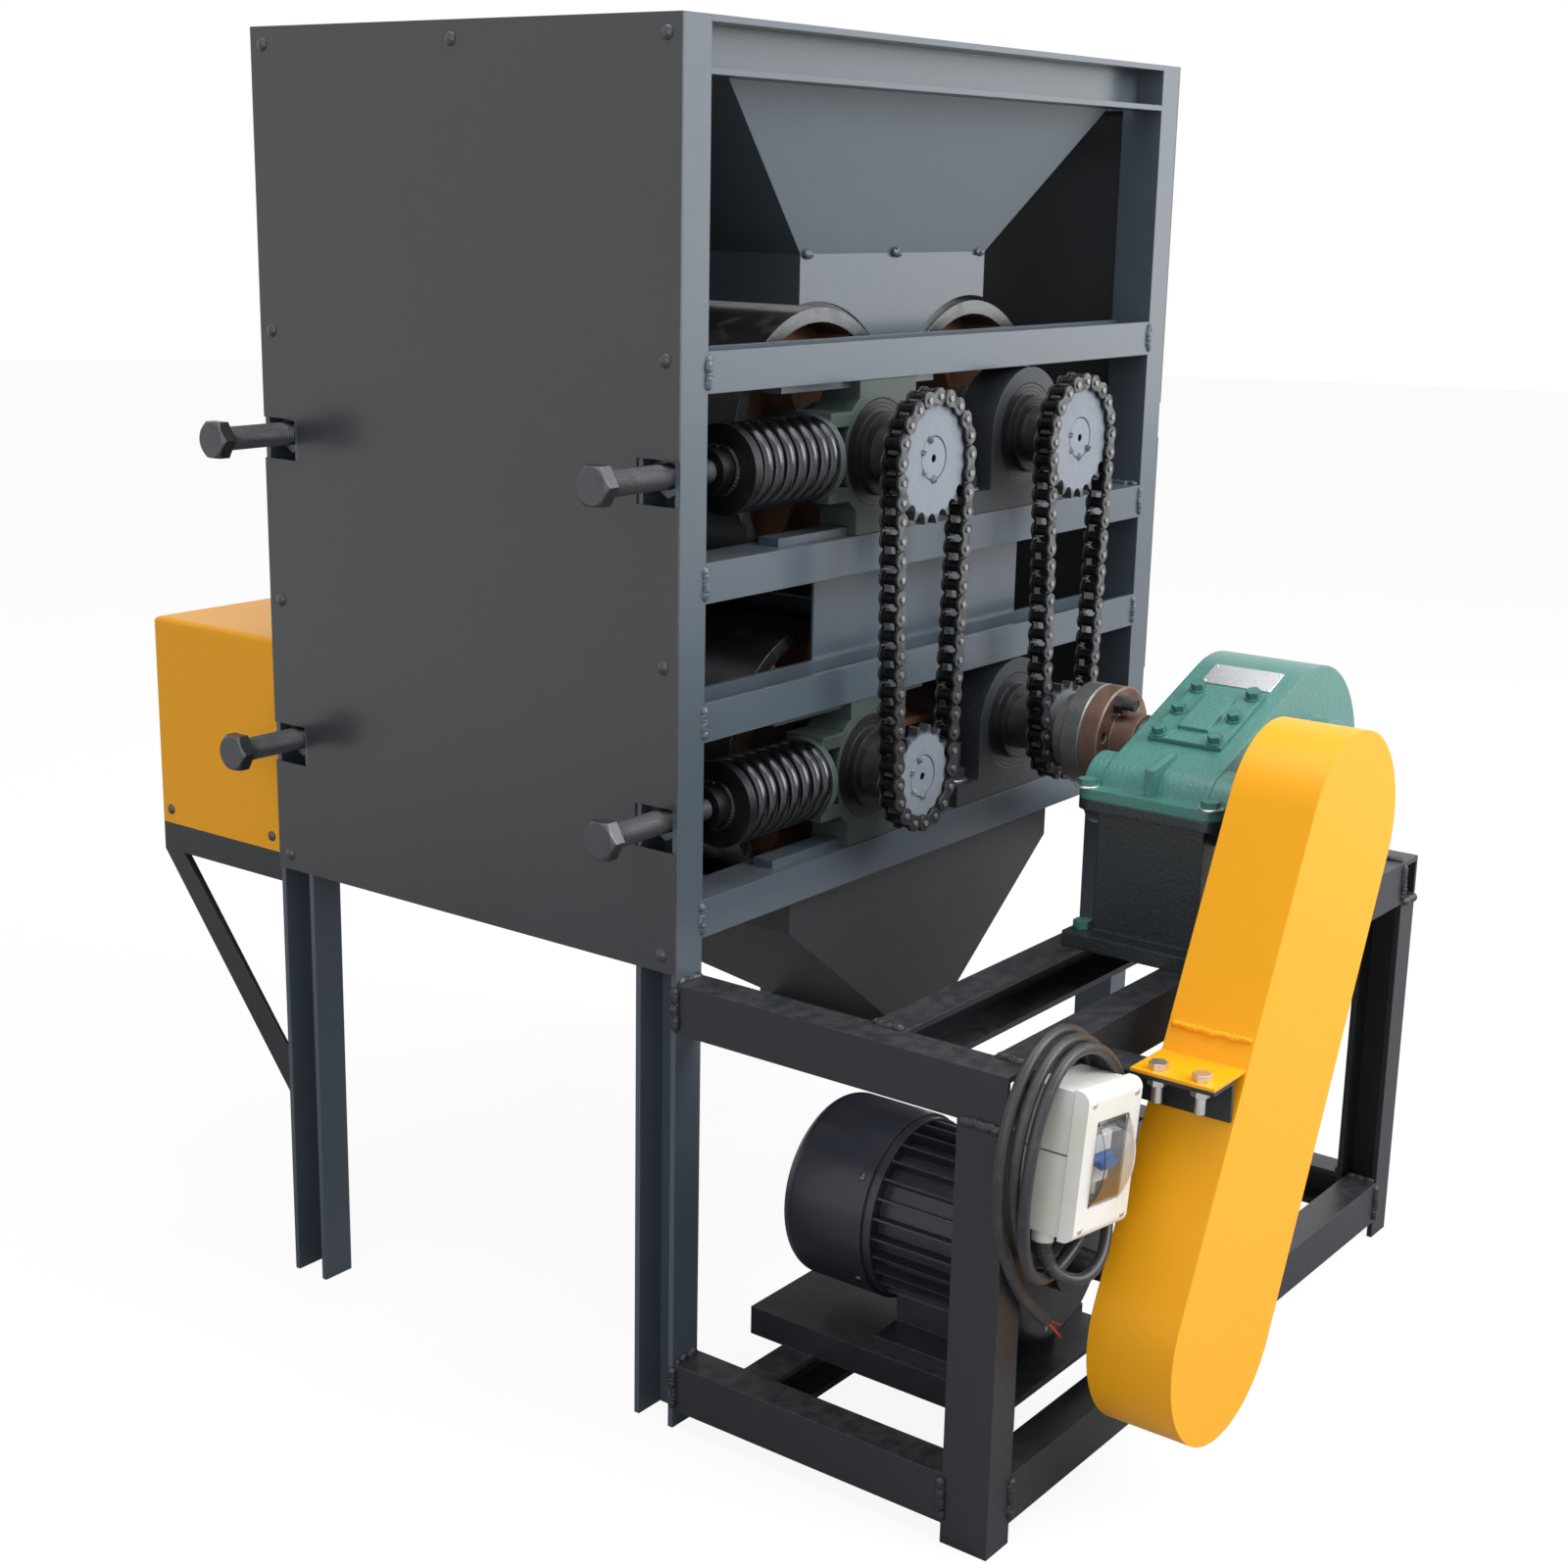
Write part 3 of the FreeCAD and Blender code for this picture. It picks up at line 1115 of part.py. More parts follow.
def gear_cover():
    """Folded sheet box over the gears, open to the cabinet and seated on the shelf angles."""
    outer = box((0, CAB_WIDTH), (CAB_DEPTH, REACH_REAR), (GEAR_COVER_BOTTOM, GEAR_COVER_TOP))
    folds = [edge for edge in outer.Edges if abs(edge.BoundBox.ZMax - GEAR_COVER_TOP) < 1e-6
             and abs(edge.BoundBox.ZMin - GEAR_COVER_TOP) < 1e-6 and edge.BoundBox.YMax > REACH_REAR - 1]
    outer = outer.makeFillet(COVER_BEND_R, folds)
    inner = box((COVER_SHEET, CAB_WIDTH - COVER_SHEET), (CAB_DEPTH - 1, REACH_REAR - COVER_SHEET),
                (GEAR_COVER_BOTTOM + COVER_SHEET, GEAR_COVER_TOP - COVER_SHEET))
    return outer.cut(inner)


# Coupling and gear reducer

def coupling_places(count):
    """Even places on the coupling's bolt circle, as x and z."""
    places = []
    for k in range(count):
        angle = math.pi * (0.6 + 2 * k / count)
        places.append((RIGHT_X + COUPLING_BOLT_PCD / 2 * math.cos(angle),
                       LOWER_AXIS_Z + COUPLING_BOLT_PCD / 2 * math.sin(angle)))
    return places


def coupling_half(flange_y, hub_y, hub_r, bore_r):
    """A flange and its hub, drilled for the coupling bolts."""
    flange = rod_y(RIGHT_X, flange_y, LOWER_AXIS_Z, COUPLING_RADIUS)
    rims = [edge for edge in flange.Edges if edge.Length > COUPLING_RADIUS * 6]
    flange = flange.makeChamfer(COUPLING_CHAMFER, rims)
    whole = joined([flange, rod_y(RIGHT_X, hub_y, LOWER_AXIS_Z, hub_r)])
    reach = (flange_y[0] - COUPLING_HUB_L - 1, flange_y[1] + COUPLING_HUB_L + 1)
    holes = [rod_y(RIGHT_X, reach, LOWER_AXIS_Z, bore_r)]
    for x, z in coupling_places(COUPLING_HOLES):
        holes.append(rod_y(x, flange_y, z, COUPLING_BOLT_R))
    return whole.cut(Part.makeCompound(holes))


def coupling_roller_half():
    """The half with the long hub beside the sprocket."""
    neck_y = (CHAIN_Y - CHAIN_HALF_W - COUPLING_CHAMFER, CHAIN_Y - SPROCKET_WIDTH / 2)
    flange_y = (COUPLING_Y - COUPLING_FLANGE, COUPLING_Y)
    half = coupling_half(flange_y, (COUPLING_Y, neck_y[0]), COUPLING_HUB_R, NOSE_RADIUS)
    neck = rod_y(RIGHT_X, neck_y, LOWER_AXIS_Z, COUPLING_NECK_R)
    return joined([half, neck.cut(rod_y(RIGHT_X, neck_y, LOWER_AXIS_Z, NOSE_RADIUS))])


def coupling_gearbox_half():
    """The half on the reducer's output shaft."""
    far = COUPLING_Y - 2 * COUPLING_FLANGE
    flange_y = (far, COUPLING_Y - COUPLING_FLANGE)
    return coupling_half(flange_y, (far - COUPLING_HUB_L, far), COUPLING_SMALL_HUB_R, OUTPUT_SHAFT_R)


def coupling_bolts():
    """Studs screwed into the roller half, with nuts on the drive side."""
    bolts = []
    far = COUPLING_Y - 2 * COUPLING_FLANGE
    for x, z in coupling_places(COUPLING_BOLTS):
        nut = aim(hexagon(COUPLING_BOLT_AF, COUPLING_BOLT_H), Vector(x, far, z), Vector(0, -1, 0))
        shank = rod_y(x, (far - 2.4 * COUPLING_BOLT_H, COUPLING_Y), z, COUPLING_BOLT_R)
        bolts.append(joined([nut, shank]))
    return Part.makeCompound(bolts)


def gearbox_length():
    """The x limits of the reducer's walls."""
    return (INPUT_X - GEARBOX_LOW_R, RIGHT_X + GEARBOX_HIGH_R)


def gearbox_bores(clear):
    """Cuts for the two shafts through the split line of the case."""
    y = (GEARBOX_Y - GEARBOX_FLANGE_HALF - GEARBOX_BOSS_L,
         GEARBOX_Y + GEARBOX_FLANGE_HALF + GEARBOX_BOSS_L)
    return [rod_y(INPUT_X, y, LOWER_AXIS_Z, INPUT_SHAFT_R + clear),
            rod_y(RIGHT_X, y, LOWER_AXIS_Z, OUTPUT_SHAFT_R + clear)]


def gearbox_hollow():
    """The space inside both halves of the case."""
    y = (GEARBOX_Y - GEARBOX_HALF + GEARBOX_WALL, GEARBOX_Y + GEARBOX_HALF - GEARBOX_WALL)
    upper = belt_plate((INPUT_X, LOWER_AXIS_Z), GEARBOX_LOW_R - GEARBOX_WALL, (RIGHT_X, LOWER_AXIS_Z),
                       GEARBOX_HIGH_R - GEARBOX_WALL, y)
    x = gearbox_length()
    lower = box((x[0] + GEARBOX_WALL, x[1] - GEARBOX_WALL), y,
                (PLATFORM_TOP + GEARBOX_FOOT_T, LOWER_AXIS_Z))
    return joined([upper, lower])


def gearbox_bosses():
    """Bearing bosses on both sides, round each shaft."""
    out = GEARBOX_HALF + GEARBOX_BOSS_L
    y = (GEARBOX_Y - out, GEARBOX_Y + out)
    return [rod_y(INPUT_X, y, LOWER_AXIS_Z, GEARBOX_BOSS_R),
            rod_y(RIGHT_X, y, LOWER_AXIS_Z, GEARBOX_BIG_BOSS_R)]


def gearbox_flange(z):
    """The split flange on one side of the joint line."""
    x = gearbox_length()
    plate = box((x[0] - GEARBOX_FLANGE_LIP, x[1] + GEARBOX_FLANGE_LIP),
                (GEARBOX_Y - GEARBOX_FLANGE_HALF, GEARBOX_Y + GEARBOX_FLANGE_HALF), z)
    uprights = [edge for edge in plate.Edges if edge.BoundBox.ZLength > (z[1] - z[0]) / 2]
    return plate.makeFillet(GEARBOX_FLANGE_LIP, uprights)


def half_space(above):
    """A large block above or below the split line, to part the bosses."""
    far = CAB_WIDTH
    z = (LOWER_AXIS_Z, LOWER_AXIS_Z + far) if above else (LOWER_AXIS_Z - far, LOWER_AXIS_Z)
    return box((-far, 2 * far), (-2 * far, far), z)


def gearbox_lower_case():
    """Lower case: walls, split flange, bosses and feet."""
    x = gearbox_length()
    y = (GEARBOX_Y - GEARBOX_HALF, GEARBOX_Y + GEARBOX_HALF)
    walls = box(x, y, (PLATFORM_TOP, LOWER_AXIS_Z))
    flange = gearbox_flange((LOWER_AXIS_Z - GEARBOX_FLANGE_T, LOWER_AXIS_Z))
    foot = box((x[0] - GEARBOX_FOOT_LIP, x[1] + GEARBOX_FOOT_LIP),
               (y[0] - GEARBOX_FOOT_LIP, y[1] + GEARBOX_FOOT_LIP),
               (PLATFORM_TOP, PLATFORM_TOP + GEARBOX_FOOT_T))
    bosses = [boss.common(half_space(False)) for boss in gearbox_bosses()]
    whole = joined([walls, flange, foot] + bosses)
    return whole.cut(Part.makeCompound(gearbox_bores(RUN_CLEAR) + [gearbox_hollow()]))


def gearbox_upper_case():
    """Upper case: sloped roof over a high round end, split flange, bosses and an end rib."""
    y = (GEARBOX_Y - GEARBOX_HALF, GEARBOX_Y + GEARBOX_HALF)
    roof = belt_plate((INPUT_X, LOWER_AXIS_Z), GEARBOX_LOW_R, (RIGHT_X, LOWER_AXIS_Z), GEARBOX_HIGH_R, y)
    flange = gearbox_flange((LOWER_AXIS_Z, LOWER_AXIS_Z + GEARBOX_FLANGE_T))
    x = gearbox_length()
    rib_x = x[0] - GEARBOX_FLANGE_LIP
    rib = [(rib_x + GEARBOX_RIB_T, LOWER_AXIS_Z), (rib_x + GEARBOX_RIB_T, LOWER_AXIS_Z + GEARBOX_LOW_R),
           (INPUT_X, LOWER_AXIS_Z + GEARBOX_LOW_R + GEARBOX_RIB_T), (INPUT_X, LOWER_AXIS_Z)]
    rib_plate = profile_y(rib, (GEARBOX_Y - GEARBOX_RIB_T / 2, GEARBOX_Y + GEARBOX_RIB_T / 2))
    bosses = [boss.common(half_space(True)) for boss in gearbox_bosses()]
    whole = joined([roof.common(half_space(True)), flange, rib_plate] + bosses)
    return whole.cut(Part.makeCompound(gearbox_bores(RUN_CLEAR) + [gearbox_hollow()]))


def roof_slope():
    """The sloped roof of the upper case: its middle, its direction uphill and its normal."""
    lean = math.asin((GEARBOX_HIGH_R - GEARBOX_LOW_R) / GEARBOX_CENTRES)
    uphill = Vector(math.cos(lean), 0, math.sin(lean))
    normal = Vector(-math.sin(lean), 0, math.cos(lean))
    low = Vector(INPUT_X, GEARBOX_Y, LOWER_AXIS_Z) + normal * GEARBOX_LOW_R
    run = GEARBOX_CENTRES * math.cos(lean)
    return low + uphill * (run / 2), uphill, normal


def on_roof(shape):
    """Lay a shape made about the origin, long side on X, on the sloped roof."""
    middle, uphill, normal = roof_slope()
    laid = shape.copy()
    tilt = FreeCAD.Rotation(uphill, Vector(0, 1, 0), normal, "XYZ")
    laid.Placement = FreeCAD.Placement(middle, tilt)
    return laid


def gearbox_cover():
    """Inspection cover with a raised panel, bolted on the sloped roof."""
    half_l = COVER_PLATE_L / 2
    half_w = COVER_PLATE_W / 2
    plate = box((-half_l, half_l), (-half_w, half_w), (0, COVER_PLATE_T))
    raised = box((-half_l * 0.6, half_l * 0.6), (-half_w * 0.42, half_w * 0.42), (0, COVER_PLATE_T * 1.7))
    return on_roof(joined([plate, raised]))


def hex_bolt(across_flats, height, position, direction):
    """A plain hex bolt head on a surface."""
    return aim(hexagon(across_flats, height), position, direction)


def gearbox_bolts():
    """Bolt heads of the split flange, of the feet and of the inspection cover."""
    heads = []
    x = gearbox_length()
    inset = GEARBOX_FLANGE_LIP * 0.48
    rows = (GEARBOX_Y - GEARBOX_FLANGE_HALF + GEARBOX_BOLT_AF * 0.62,
            GEARBOX_Y + GEARBOX_FLANGE_HALF - GEARBOX_BOLT_AF * 0.62)
    for y in rows:
        for place in (x[0] - inset, x[1] + inset):
            heads.append(hex_bolt(GEARBOX_BOLT_AF, GEARBOX_BOLT_H,
                                  Vector(place, y, LOWER_AXIS_Z + GEARBOX_FLANGE_T), Vector(0, 0, 1)))
    side_y = (GEARBOX_Y - GEARBOX_HALF - GEARBOX_FOOT_LIP / 2,
              GEARBOX_Y + GEARBOX_HALF + GEARBOX_FOOT_LIP / 2)
    for y in side_y:
        for place in x:
            heads.append(hex_bolt(GEARBOX_BOLT_AF, GEARBOX_BOLT_H,
                                  Vector(place, y, PLATFORM_TOP + GEARBOX_FOOT_T), Vector(0, 0, 1)))
    edge_l = COVER_PLATE_L / 2 - COVER_BOLT_AF * 0.7
    edge_w = COVER_PLATE_W / 2 - COVER_BOLT_AF * 0.7
    for along in (-edge_l, 0, edge_l):
        for across in (-edge_w, edge_w):
            head = hexagon(COVER_BOLT_AF, GEARBOX_BOLT_H)
            head.translate(Vector(along, across, COVER_PLATE_T))
            heads.append(on_roof(Part.makeCompound([head])))
    return [solid for head in heads for solid in head.Solids]


def gearbox_input_shaft():
    """High-speed shaft from the rear boss to the front of its pulley."""
    rear = GEARBOX_Y + GEARBOX_HALF + GEARBOX_BOSS_L
    return rod_y(INPUT_X, (PULLEY_Y - PULLEY_WIDTH * 0.1, rear), LOWER_AXIS_Z, INPUT_SHAFT_R)


def gearbox_output_shaft():
    """Low-speed shaft from the front boss to the coupling."""
    front = GEARBOX_Y - GEARBOX_HALF - GEARBOX_BOSS_L
    return rod_y(RIGHT_X, (front, COUPLING_Y - COUPLING_FLANGE), LOWER_AXIS_Z, OUTPUT_SHAFT_R)


# Belt drive, guard and motor

def groove_rows():
    """The y place of each belt."""
    middle = PULLEY_Y + PULLEY_WIDTH / 2
    return [middle + (k - (BELT_COUNT - 1) / 2) * BELT_SPACING for k in range(BELT_COUNT)]


def pulley(x, z, radius, bore_r):
    """A V-grooved pulley turned about Y, with a bore."""
    clear = BELT_CLEAR
    low_r = radius - BELT_DEPTH - 2 * clear
    points = [(bore_r, PULLEY_Y), (radius, PULLEY_Y)]
    for row in groove_rows():
        points += [(radius, row - BELT_TOP / 2 - clear), (low_r, row - BELT_BASE / 2 - clear),
                   (low_r, row + BELT_BASE / 2 + clear), (radius, row + BELT_TOP / 2 + clear)]
    points += [(radius, PULLEY_Y + PULLEY_WIDTH), (bore_r, PULLEY_Y + PULLEY_WIDTH)]
    corners = [Vector(r, y, 0) for r, y in points]
    face = Part.Face(Part.makePolygon(corners + corners[:1]))
    turned = face.revolve(Vector(0, 0, 0), Vector(0, 1, 0), 360)
    turned.translate(Vector(x, 0, z))
    return turned


def gearbox_pulley():
    return pulley(INPUT_X, LOWER_AXIS_Z, GEARBOX_PULLEY_R, INPUT_SHAFT_R)


def motor_pulley():
    return pulley(MOTOR_X, MOTOR_Z, MOTOR_PULLEY_R, MOTOR_SHAFT_R)


def drive_belts():
    """V-belts that lie in the pulley grooves."""
    belts = []
    for row in groove_rows():
        low_y = row - BELT_TOP / 2
        outer = belt_plate((MOTOR_X, MOTOR_Z), MOTOR_PULLEY_R, (INPUT_X, LOWER_AXIS_Z), GEARBOX_PULLEY_R,
                           (low_y, low_y + BELT_TOP))
        path = belt_wire((MOTOR_X, MOTOR_Z), MOTOR_PULLEY_R, (INPUT_X, LOWER_AXIS_Z), GEARBOX_PULLEY_R,
                         row)
        start = path.Edges[1].Vertexes[0].Point
        along = (path.Edges[1].Vertexes[1].Point - start).normalize()
        inward = along.cross(Vector(0, 1, 0))
        centre = Vector((MOTOR_X + INPUT_X) / 2, row, (MOTOR_Z + LOWER_AXIS_Z) / 2)
        if inward.dot(centre - start) < 0:
            inward = inward * -1
        side = Vector(0, 1, 0)
        corners = [start - side * (BELT_TOP / 2), start + side * (BELT_TOP / 2),
                   start + inward * BELT_DEPTH + side * (BELT_BASE / 2),
                   start + inward * BELT_DEPTH - side * (BELT_BASE / 2)]
        edges = path.Edges[1:] + path.Edges[:1]
        sweep = Part.BRepOffsetAPI.MakePipeShell(Part.Wire(edges))
        sweep.setTransitionMode(1)
        sweep.add(Part.makePolygon(corners + corners[:1]))
        sweep.build()
        sweep.makeSolid()
        belts.append(sweep.shape())
    return Part.makeCompound(belts)


def guard_ends():
    """Centres of the round ends of the belt guard."""
    return (MOTOR_X, GUARD_LOW_Z), (INPUT_X, LOWER_AXIS_Z)


def guard_left_x(z):
    """Where the outer left wall of the guard stands at a height."""
    low, top = guard_ends()
    run = math.hypot(top[0] - low[0], top[1] - low[1])
    heading = math.atan2(top[1] - low[1], top[0] - low[0])
    lean = math.acos((GUARD_LOW_R - GUARD_TOP_R) / run)
    ax = low[0] + GUARD_LOW_R * math.cos(heading + lean)
    az = low[1] + GUARD_LOW_R * math.sin(heading + lean)
    bx = top[0] + GUARD_TOP_R * math.cos(heading + lean)
    bz = top[1] + GUARD_TOP_R * math.sin(heading + lean)
    return ax + (bx - ax) * (z - az) / (bz - az)


def belt_guard():
    """Sheet guard round the belts, open to the rear, with a welded lip for its bracket."""
    low, top = guard_ends()
    y = (GUARD_FRONT_Y, GUARD_FRONT_Y + GUARD_DEPTH)
    shell = belt_plate(low, GUARD_LOW_R, top, GUARD_TOP_R, y)
    shell = shell.cut(belt_plate(low, GUARD_LOW_R - GUARD_SHEET, top, GUARD_TOP_R - GUARD_SHEET,
                                 (y[0] + GUARD_SHEET, y[1] + 1)))
    wall_x = guard_left_x(BRACKET_Z + LIP_THICK / 2)
    lip = box((bracket_limits()[0], wall_x + GUARD_SHEET / 2), (y[0] + GUARD_SHEET, y[1]),
              (BRACKET_Z, BRACKET_Z + LIP_THICK))
    holes = guard_bolt_holes()
    return joined([shell, lip.cut(Part.makeCompound(holes))])


def bracket_limits():
    """The x limits of the guard's bracket, clear of the sloped wall."""
    low_x = guard_left_x(BRACKET_Z - BRACKET_LEG) - SLIDE_CLEAR
    return (low_x - BRACKET_LEG, low_x)


def guard_bracket():
    """Angle welded to the front rail that carries the guard."""
    x = bracket_limits()
    y = (GUARD_FRONT_Y + GUARD_SHEET, PLATFORM_FRONT_Y)
    top = box(x, y, (BRACKET_Z - BRACKET_THICK, BRACKET_Z))
    leg = box((x[1] - BRACKET_THICK, x[1]), y, (BRACKET_Z - BRACKET_LEG, BRACKET_Z))
    return joined([top, leg]).cut(Part.makeCompound(guard_bolt_holes()))


def guard_bolt_holes():
    """Clearance holes for the guard bolts through the lip and the bracket."""
    x = bracket_limits()[0] + BRACKET_LEG * GUARD_BOLT_IN
    z = (BRACKET_Z - BRACKET_LEG, BRACKET_Z + BRACKET_LEG)
    return [rod_z(x, row, z, GUARD_BOLT_R + SLIDE_CLEAR) for row in guard_bolt_rows()]


def guard_bolt_rows():
    """The y places of the two guard bolts."""
    middle = GUARD_FRONT_Y + GUARD_DEPTH / 2
    return (middle - GUARD_DEPTH / 4, middle + GUARD_DEPTH / 4)


def guard_bolts():
    """Two bolts through the lip and the bracket, threads down."""
    bolts = []
    x = bracket_limits()[0] + BRACKET_LEG * GUARD_BOLT_IN
    for row in guard_bolt_rows():
        top_z = BRACKET_Z + LIP_THICK
        head = hex_bolt(GUARD_BOLT_AF, GUARD_BOLT_R * 1.3, Vector(x, row, top_z), Vector(0, 0, 1))
        low_z = BRACKET_Z - BRACKET_THICK
        nut = hex_bolt(GUARD_BOLT_AF, GUARD_BOLT_R * 1.6, Vector(x, row, low_z), Vector(0, 0, -1))
        shank = rod_z(x, row, (low_z - GUARD_BOLT_R * 5, top_z), GUARD_BOLT_R)
        bolts.append(joined([head, nut, shank]))
    return bolts


def mounting_bolts():
    """The bolts of the gear reducer and of the belt guard."""
    return Part.makeCompound(gearbox_bolts() + guard_bolts())


def platform_frame():
    """Drive platform: legs, top rails, cross rail, base rails, guard bracket and motor slab."""
    top = (PLATFORM_TOP - CHANNEL_H, PLATFORM_TOP)
    low = (PLATFORM_RAIL_Z, PLATFORM_RAIL_Z + CHANNEL_H)
    left = (0, CHANNEL_B)
    right = (CAB_WIDTH - CHANNEL_B, CAB_WIDTH)
    inside = (CHANNEL_B, CAB_WIDTH - CHANNEL_B)
    leg_y = (PLATFORM_FRONT_Y, PLATFORM_FRONT_Y + CHANNEL_H)
    pieces = []
    for x, side in ((left, "+x"), (right, "-x")):
        pieces.append(channel(x, leg_y, (0, top[0]), "z", side))
        pieces.append(channel(x, (PLATFORM_FRONT_Y, 0), top, "y", side))
        pieces.append(channel(x, (leg_y[1], 0), low, "y", side))
    front = (PLATFORM_FRONT_Y, PLATFORM_FRONT_Y + CHANNEL_B)
    pieces.append(channel(inside, front, top, "x", "+y"))
    pieces.append(channel(inside, front, low, "x", "+y"))
    pieces.append(channel(inside, (CROSS_RAIL_Y - CHANNEL_B, CROSS_RAIL_Y), top, "x", "-y"))
    pieces.append(channel(inside, (BASE_CROSS_Y - CHANNEL_B, BASE_CROSS_Y), low, "x", "-y"))
    pieces.append(guard_bracket())
    pieces.append(motor_slab())
    return Part.makeCompound(pieces)


def motor_slab():
    """Folded slab under the motor, from the rear base rail to the front one."""
    x = (MOTOR_X - SLAB_WIDTH / 2, MOTOR_X + SLAB_WIDTH / 2)
    y = (SLAB_FRONT_Y, SLAB_REAR_Y)
    slab = box(x, y, (SLAB_TOP - SLAB_THICK, SLAB_TOP))
    hollow = box((x[0] + SLAB_SHEET, x[1] - SLAB_SHEET), (y[0] - 1, y[1] + 1),
                 (SLAB_TOP - SLAB_THICK - 1, SLAB_TOP - SLAB_SHEET))
    return slab.cut(hollow)


def finned_outline():
    """Round motor body with straight cooling fins, as one outline about the origin in X and Z."""
    tip_r = MOTOR_RADIUS + FIN_HEIGHT
    root_half = math.asin(FIN_THICK / 2 / MOTOR_RADIUS)
    tip_half = math.asin(FIN_THICK * 0.35 / tip_r)
    step = 2 * math.pi / FIN_COUNT

    def polar(radius, angle):
        return Vector(radius * math.sin(angle), 0, radius * math.cos(angle))

    points = []
    for k in range(FIN_COUNT):
        mid = k * step
        points += [polar(MOTOR_RADIUS, mid - root_half), polar(tip_r, mid - tip_half),
                   polar(tip_r, mid + tip_half), polar(MOTOR_RADIUS, mid + root_half)]
    return Part.makePolygon(points + points[:1])


def motor_housing():
    """Finned stator body with end shields, feet and a terminal box, bored for the shaft."""
    body = Part.Face(finned_outline()).extrude(Vector(0, MOTOR_REAR_Y - MOTOR_FRONT_Y - SHIELD_LENGTH, 0))
    body.translate(Vector(MOTOR_X, MOTOR_FRONT_Y + SHIELD_LENGTH, MOTOR_Z))
    shield = rod_y(MOTOR_X, (MOTOR_FRONT_Y, MOTOR_FRONT_Y + SHIELD_LENGTH), MOTOR_Z,
                   MOTOR_RADIUS + FIN_HEIGHT)
    shield = shield.makeFillet(SHIELD_LENGTH * 0.45,
                               [edge for edge in shield.Edges if edge.BoundBox.YMax < MOTOR_FRONT_Y + 1])
    nose = rod_y(MOTOR_X, (MOTOR_FRONT_Y - SHIELD_NOSE * 0.4, MOTOR_FRONT_Y), MOTOR_Z, SHIELD_NOSE)
    spigot_r = FAN_COVER_RADIUS - FAN_COVER_SHEET - SLIDE_CLEAR
    spigot_y = (MOTOR_REAR_Y - SPIGOT_LENGTH, MOTOR_REAR_Y + SPIGOT_LENGTH)
    spigot = rod_y(MOTOR_X, spigot_y, MOTOR_Z, spigot_r)
    pieces = [body, shield, nose, spigot]
    length = (MOTOR_FRONT_Y + SHIELD_LENGTH, MOTOR_REAR_Y - FOOT_WIDTH / 2)
    for side in (-1, 1):
        outer_x = MOTOR_X + side * FOOT_SPAN / 2
        inner_x = outer_x - side * FOOT_WIDTH
        x = (min(inner_x, outer_x), max(inner_x, outer_x))
        pieces.append(box(x, length, (SLAB_TOP, SLAB_TOP + FOOT_THICK)))
        leg_x = (min(inner_x, inner_x - side * FOOT_THICK), max(inner_x, inner_x - side * FOOT_THICK))
        pieces.append(box(leg_x, length, (SLAB_TOP, MOTOR_Z - MOTOR_RADIUS * 0.55)))
    terminal_y = (length[0] + length[1]) / 2
    near_x = MOTOR_X + MOTOR_RADIUS * 0.9
    pieces.append(box((near_x, near_x + TERMINAL_DEPTH),
                      (terminal_y - TERMINAL_SIZE / 2, terminal_y + TERMINAL_SIZE / 2),
                      (MOTOR_Z - TERMINAL_SIZE * 0.2, MOTOR_Z + TERMINAL_SIZE * 0.6)))
    bore_y = (MOTOR_FRONT_Y - SHIELD_NOSE, MOTOR_REAR_Y + 2 * SPIGOT_LENGTH)
    bore = rod_y(MOTOR_X, bore_y, MOTOR_Z, MOTOR_SHAFT_R + RUN_CLEAR)
    return joined(pieces).cut(bore)


def motor_fan_cover():
    """Sheet cowl over the fan with a round edge and a slotted end."""
    y = (MOTOR_REAR_Y, MOTOR_REAR_Y + FAN_COVER_LENGTH)
    cowl = rod_y(MOTOR_X, y, MOTOR_Z, FAN_COVER_RADIUS)
    cowl = cowl.makeFillet(FAN_COVER_ROUND,
                           [edge for edge in cowl.Edges if edge.BoundBox.YMin > y[1] - 1])
    inside = rod_y(MOTOR_X, (y[0] - 1, y[1] - FAN_COVER_SHEET), MOTOR_Z,
                   FAN_COVER_RADIUS - FAN_COVER_SHEET)
    inner_end = y[1] - FAN_COVER_SHEET
    inner_rim = [edge for edge in inside.Edges if edge.BoundBox.YMin > inner_end - 1]
    inside = inside.makeFillet(FAN_COVER_ROUND - FAN_COVER_SHEET, inner_rim)
    slots = []
    for k in range(-3, 4):
        z = MOTOR_Z + k * FAN_COVER_RADIUS * 0.19
        half = math.sqrt((FAN_COVER_RADIUS * 0.74) ** 2 - (z - MOTOR_Z) ** 2)
        slots.append(box((MOTOR_X - half, MOTOR_X + half), (y[1] - FAN_COVER_SHEET - 1, y[1] + 1),
                         (z - FAN_COVER_SHEET * 1.6, z + FAN_COVER_SHEET * 1.6)))
    return cowl.cut(Part.makeCompound([inside] + slots))


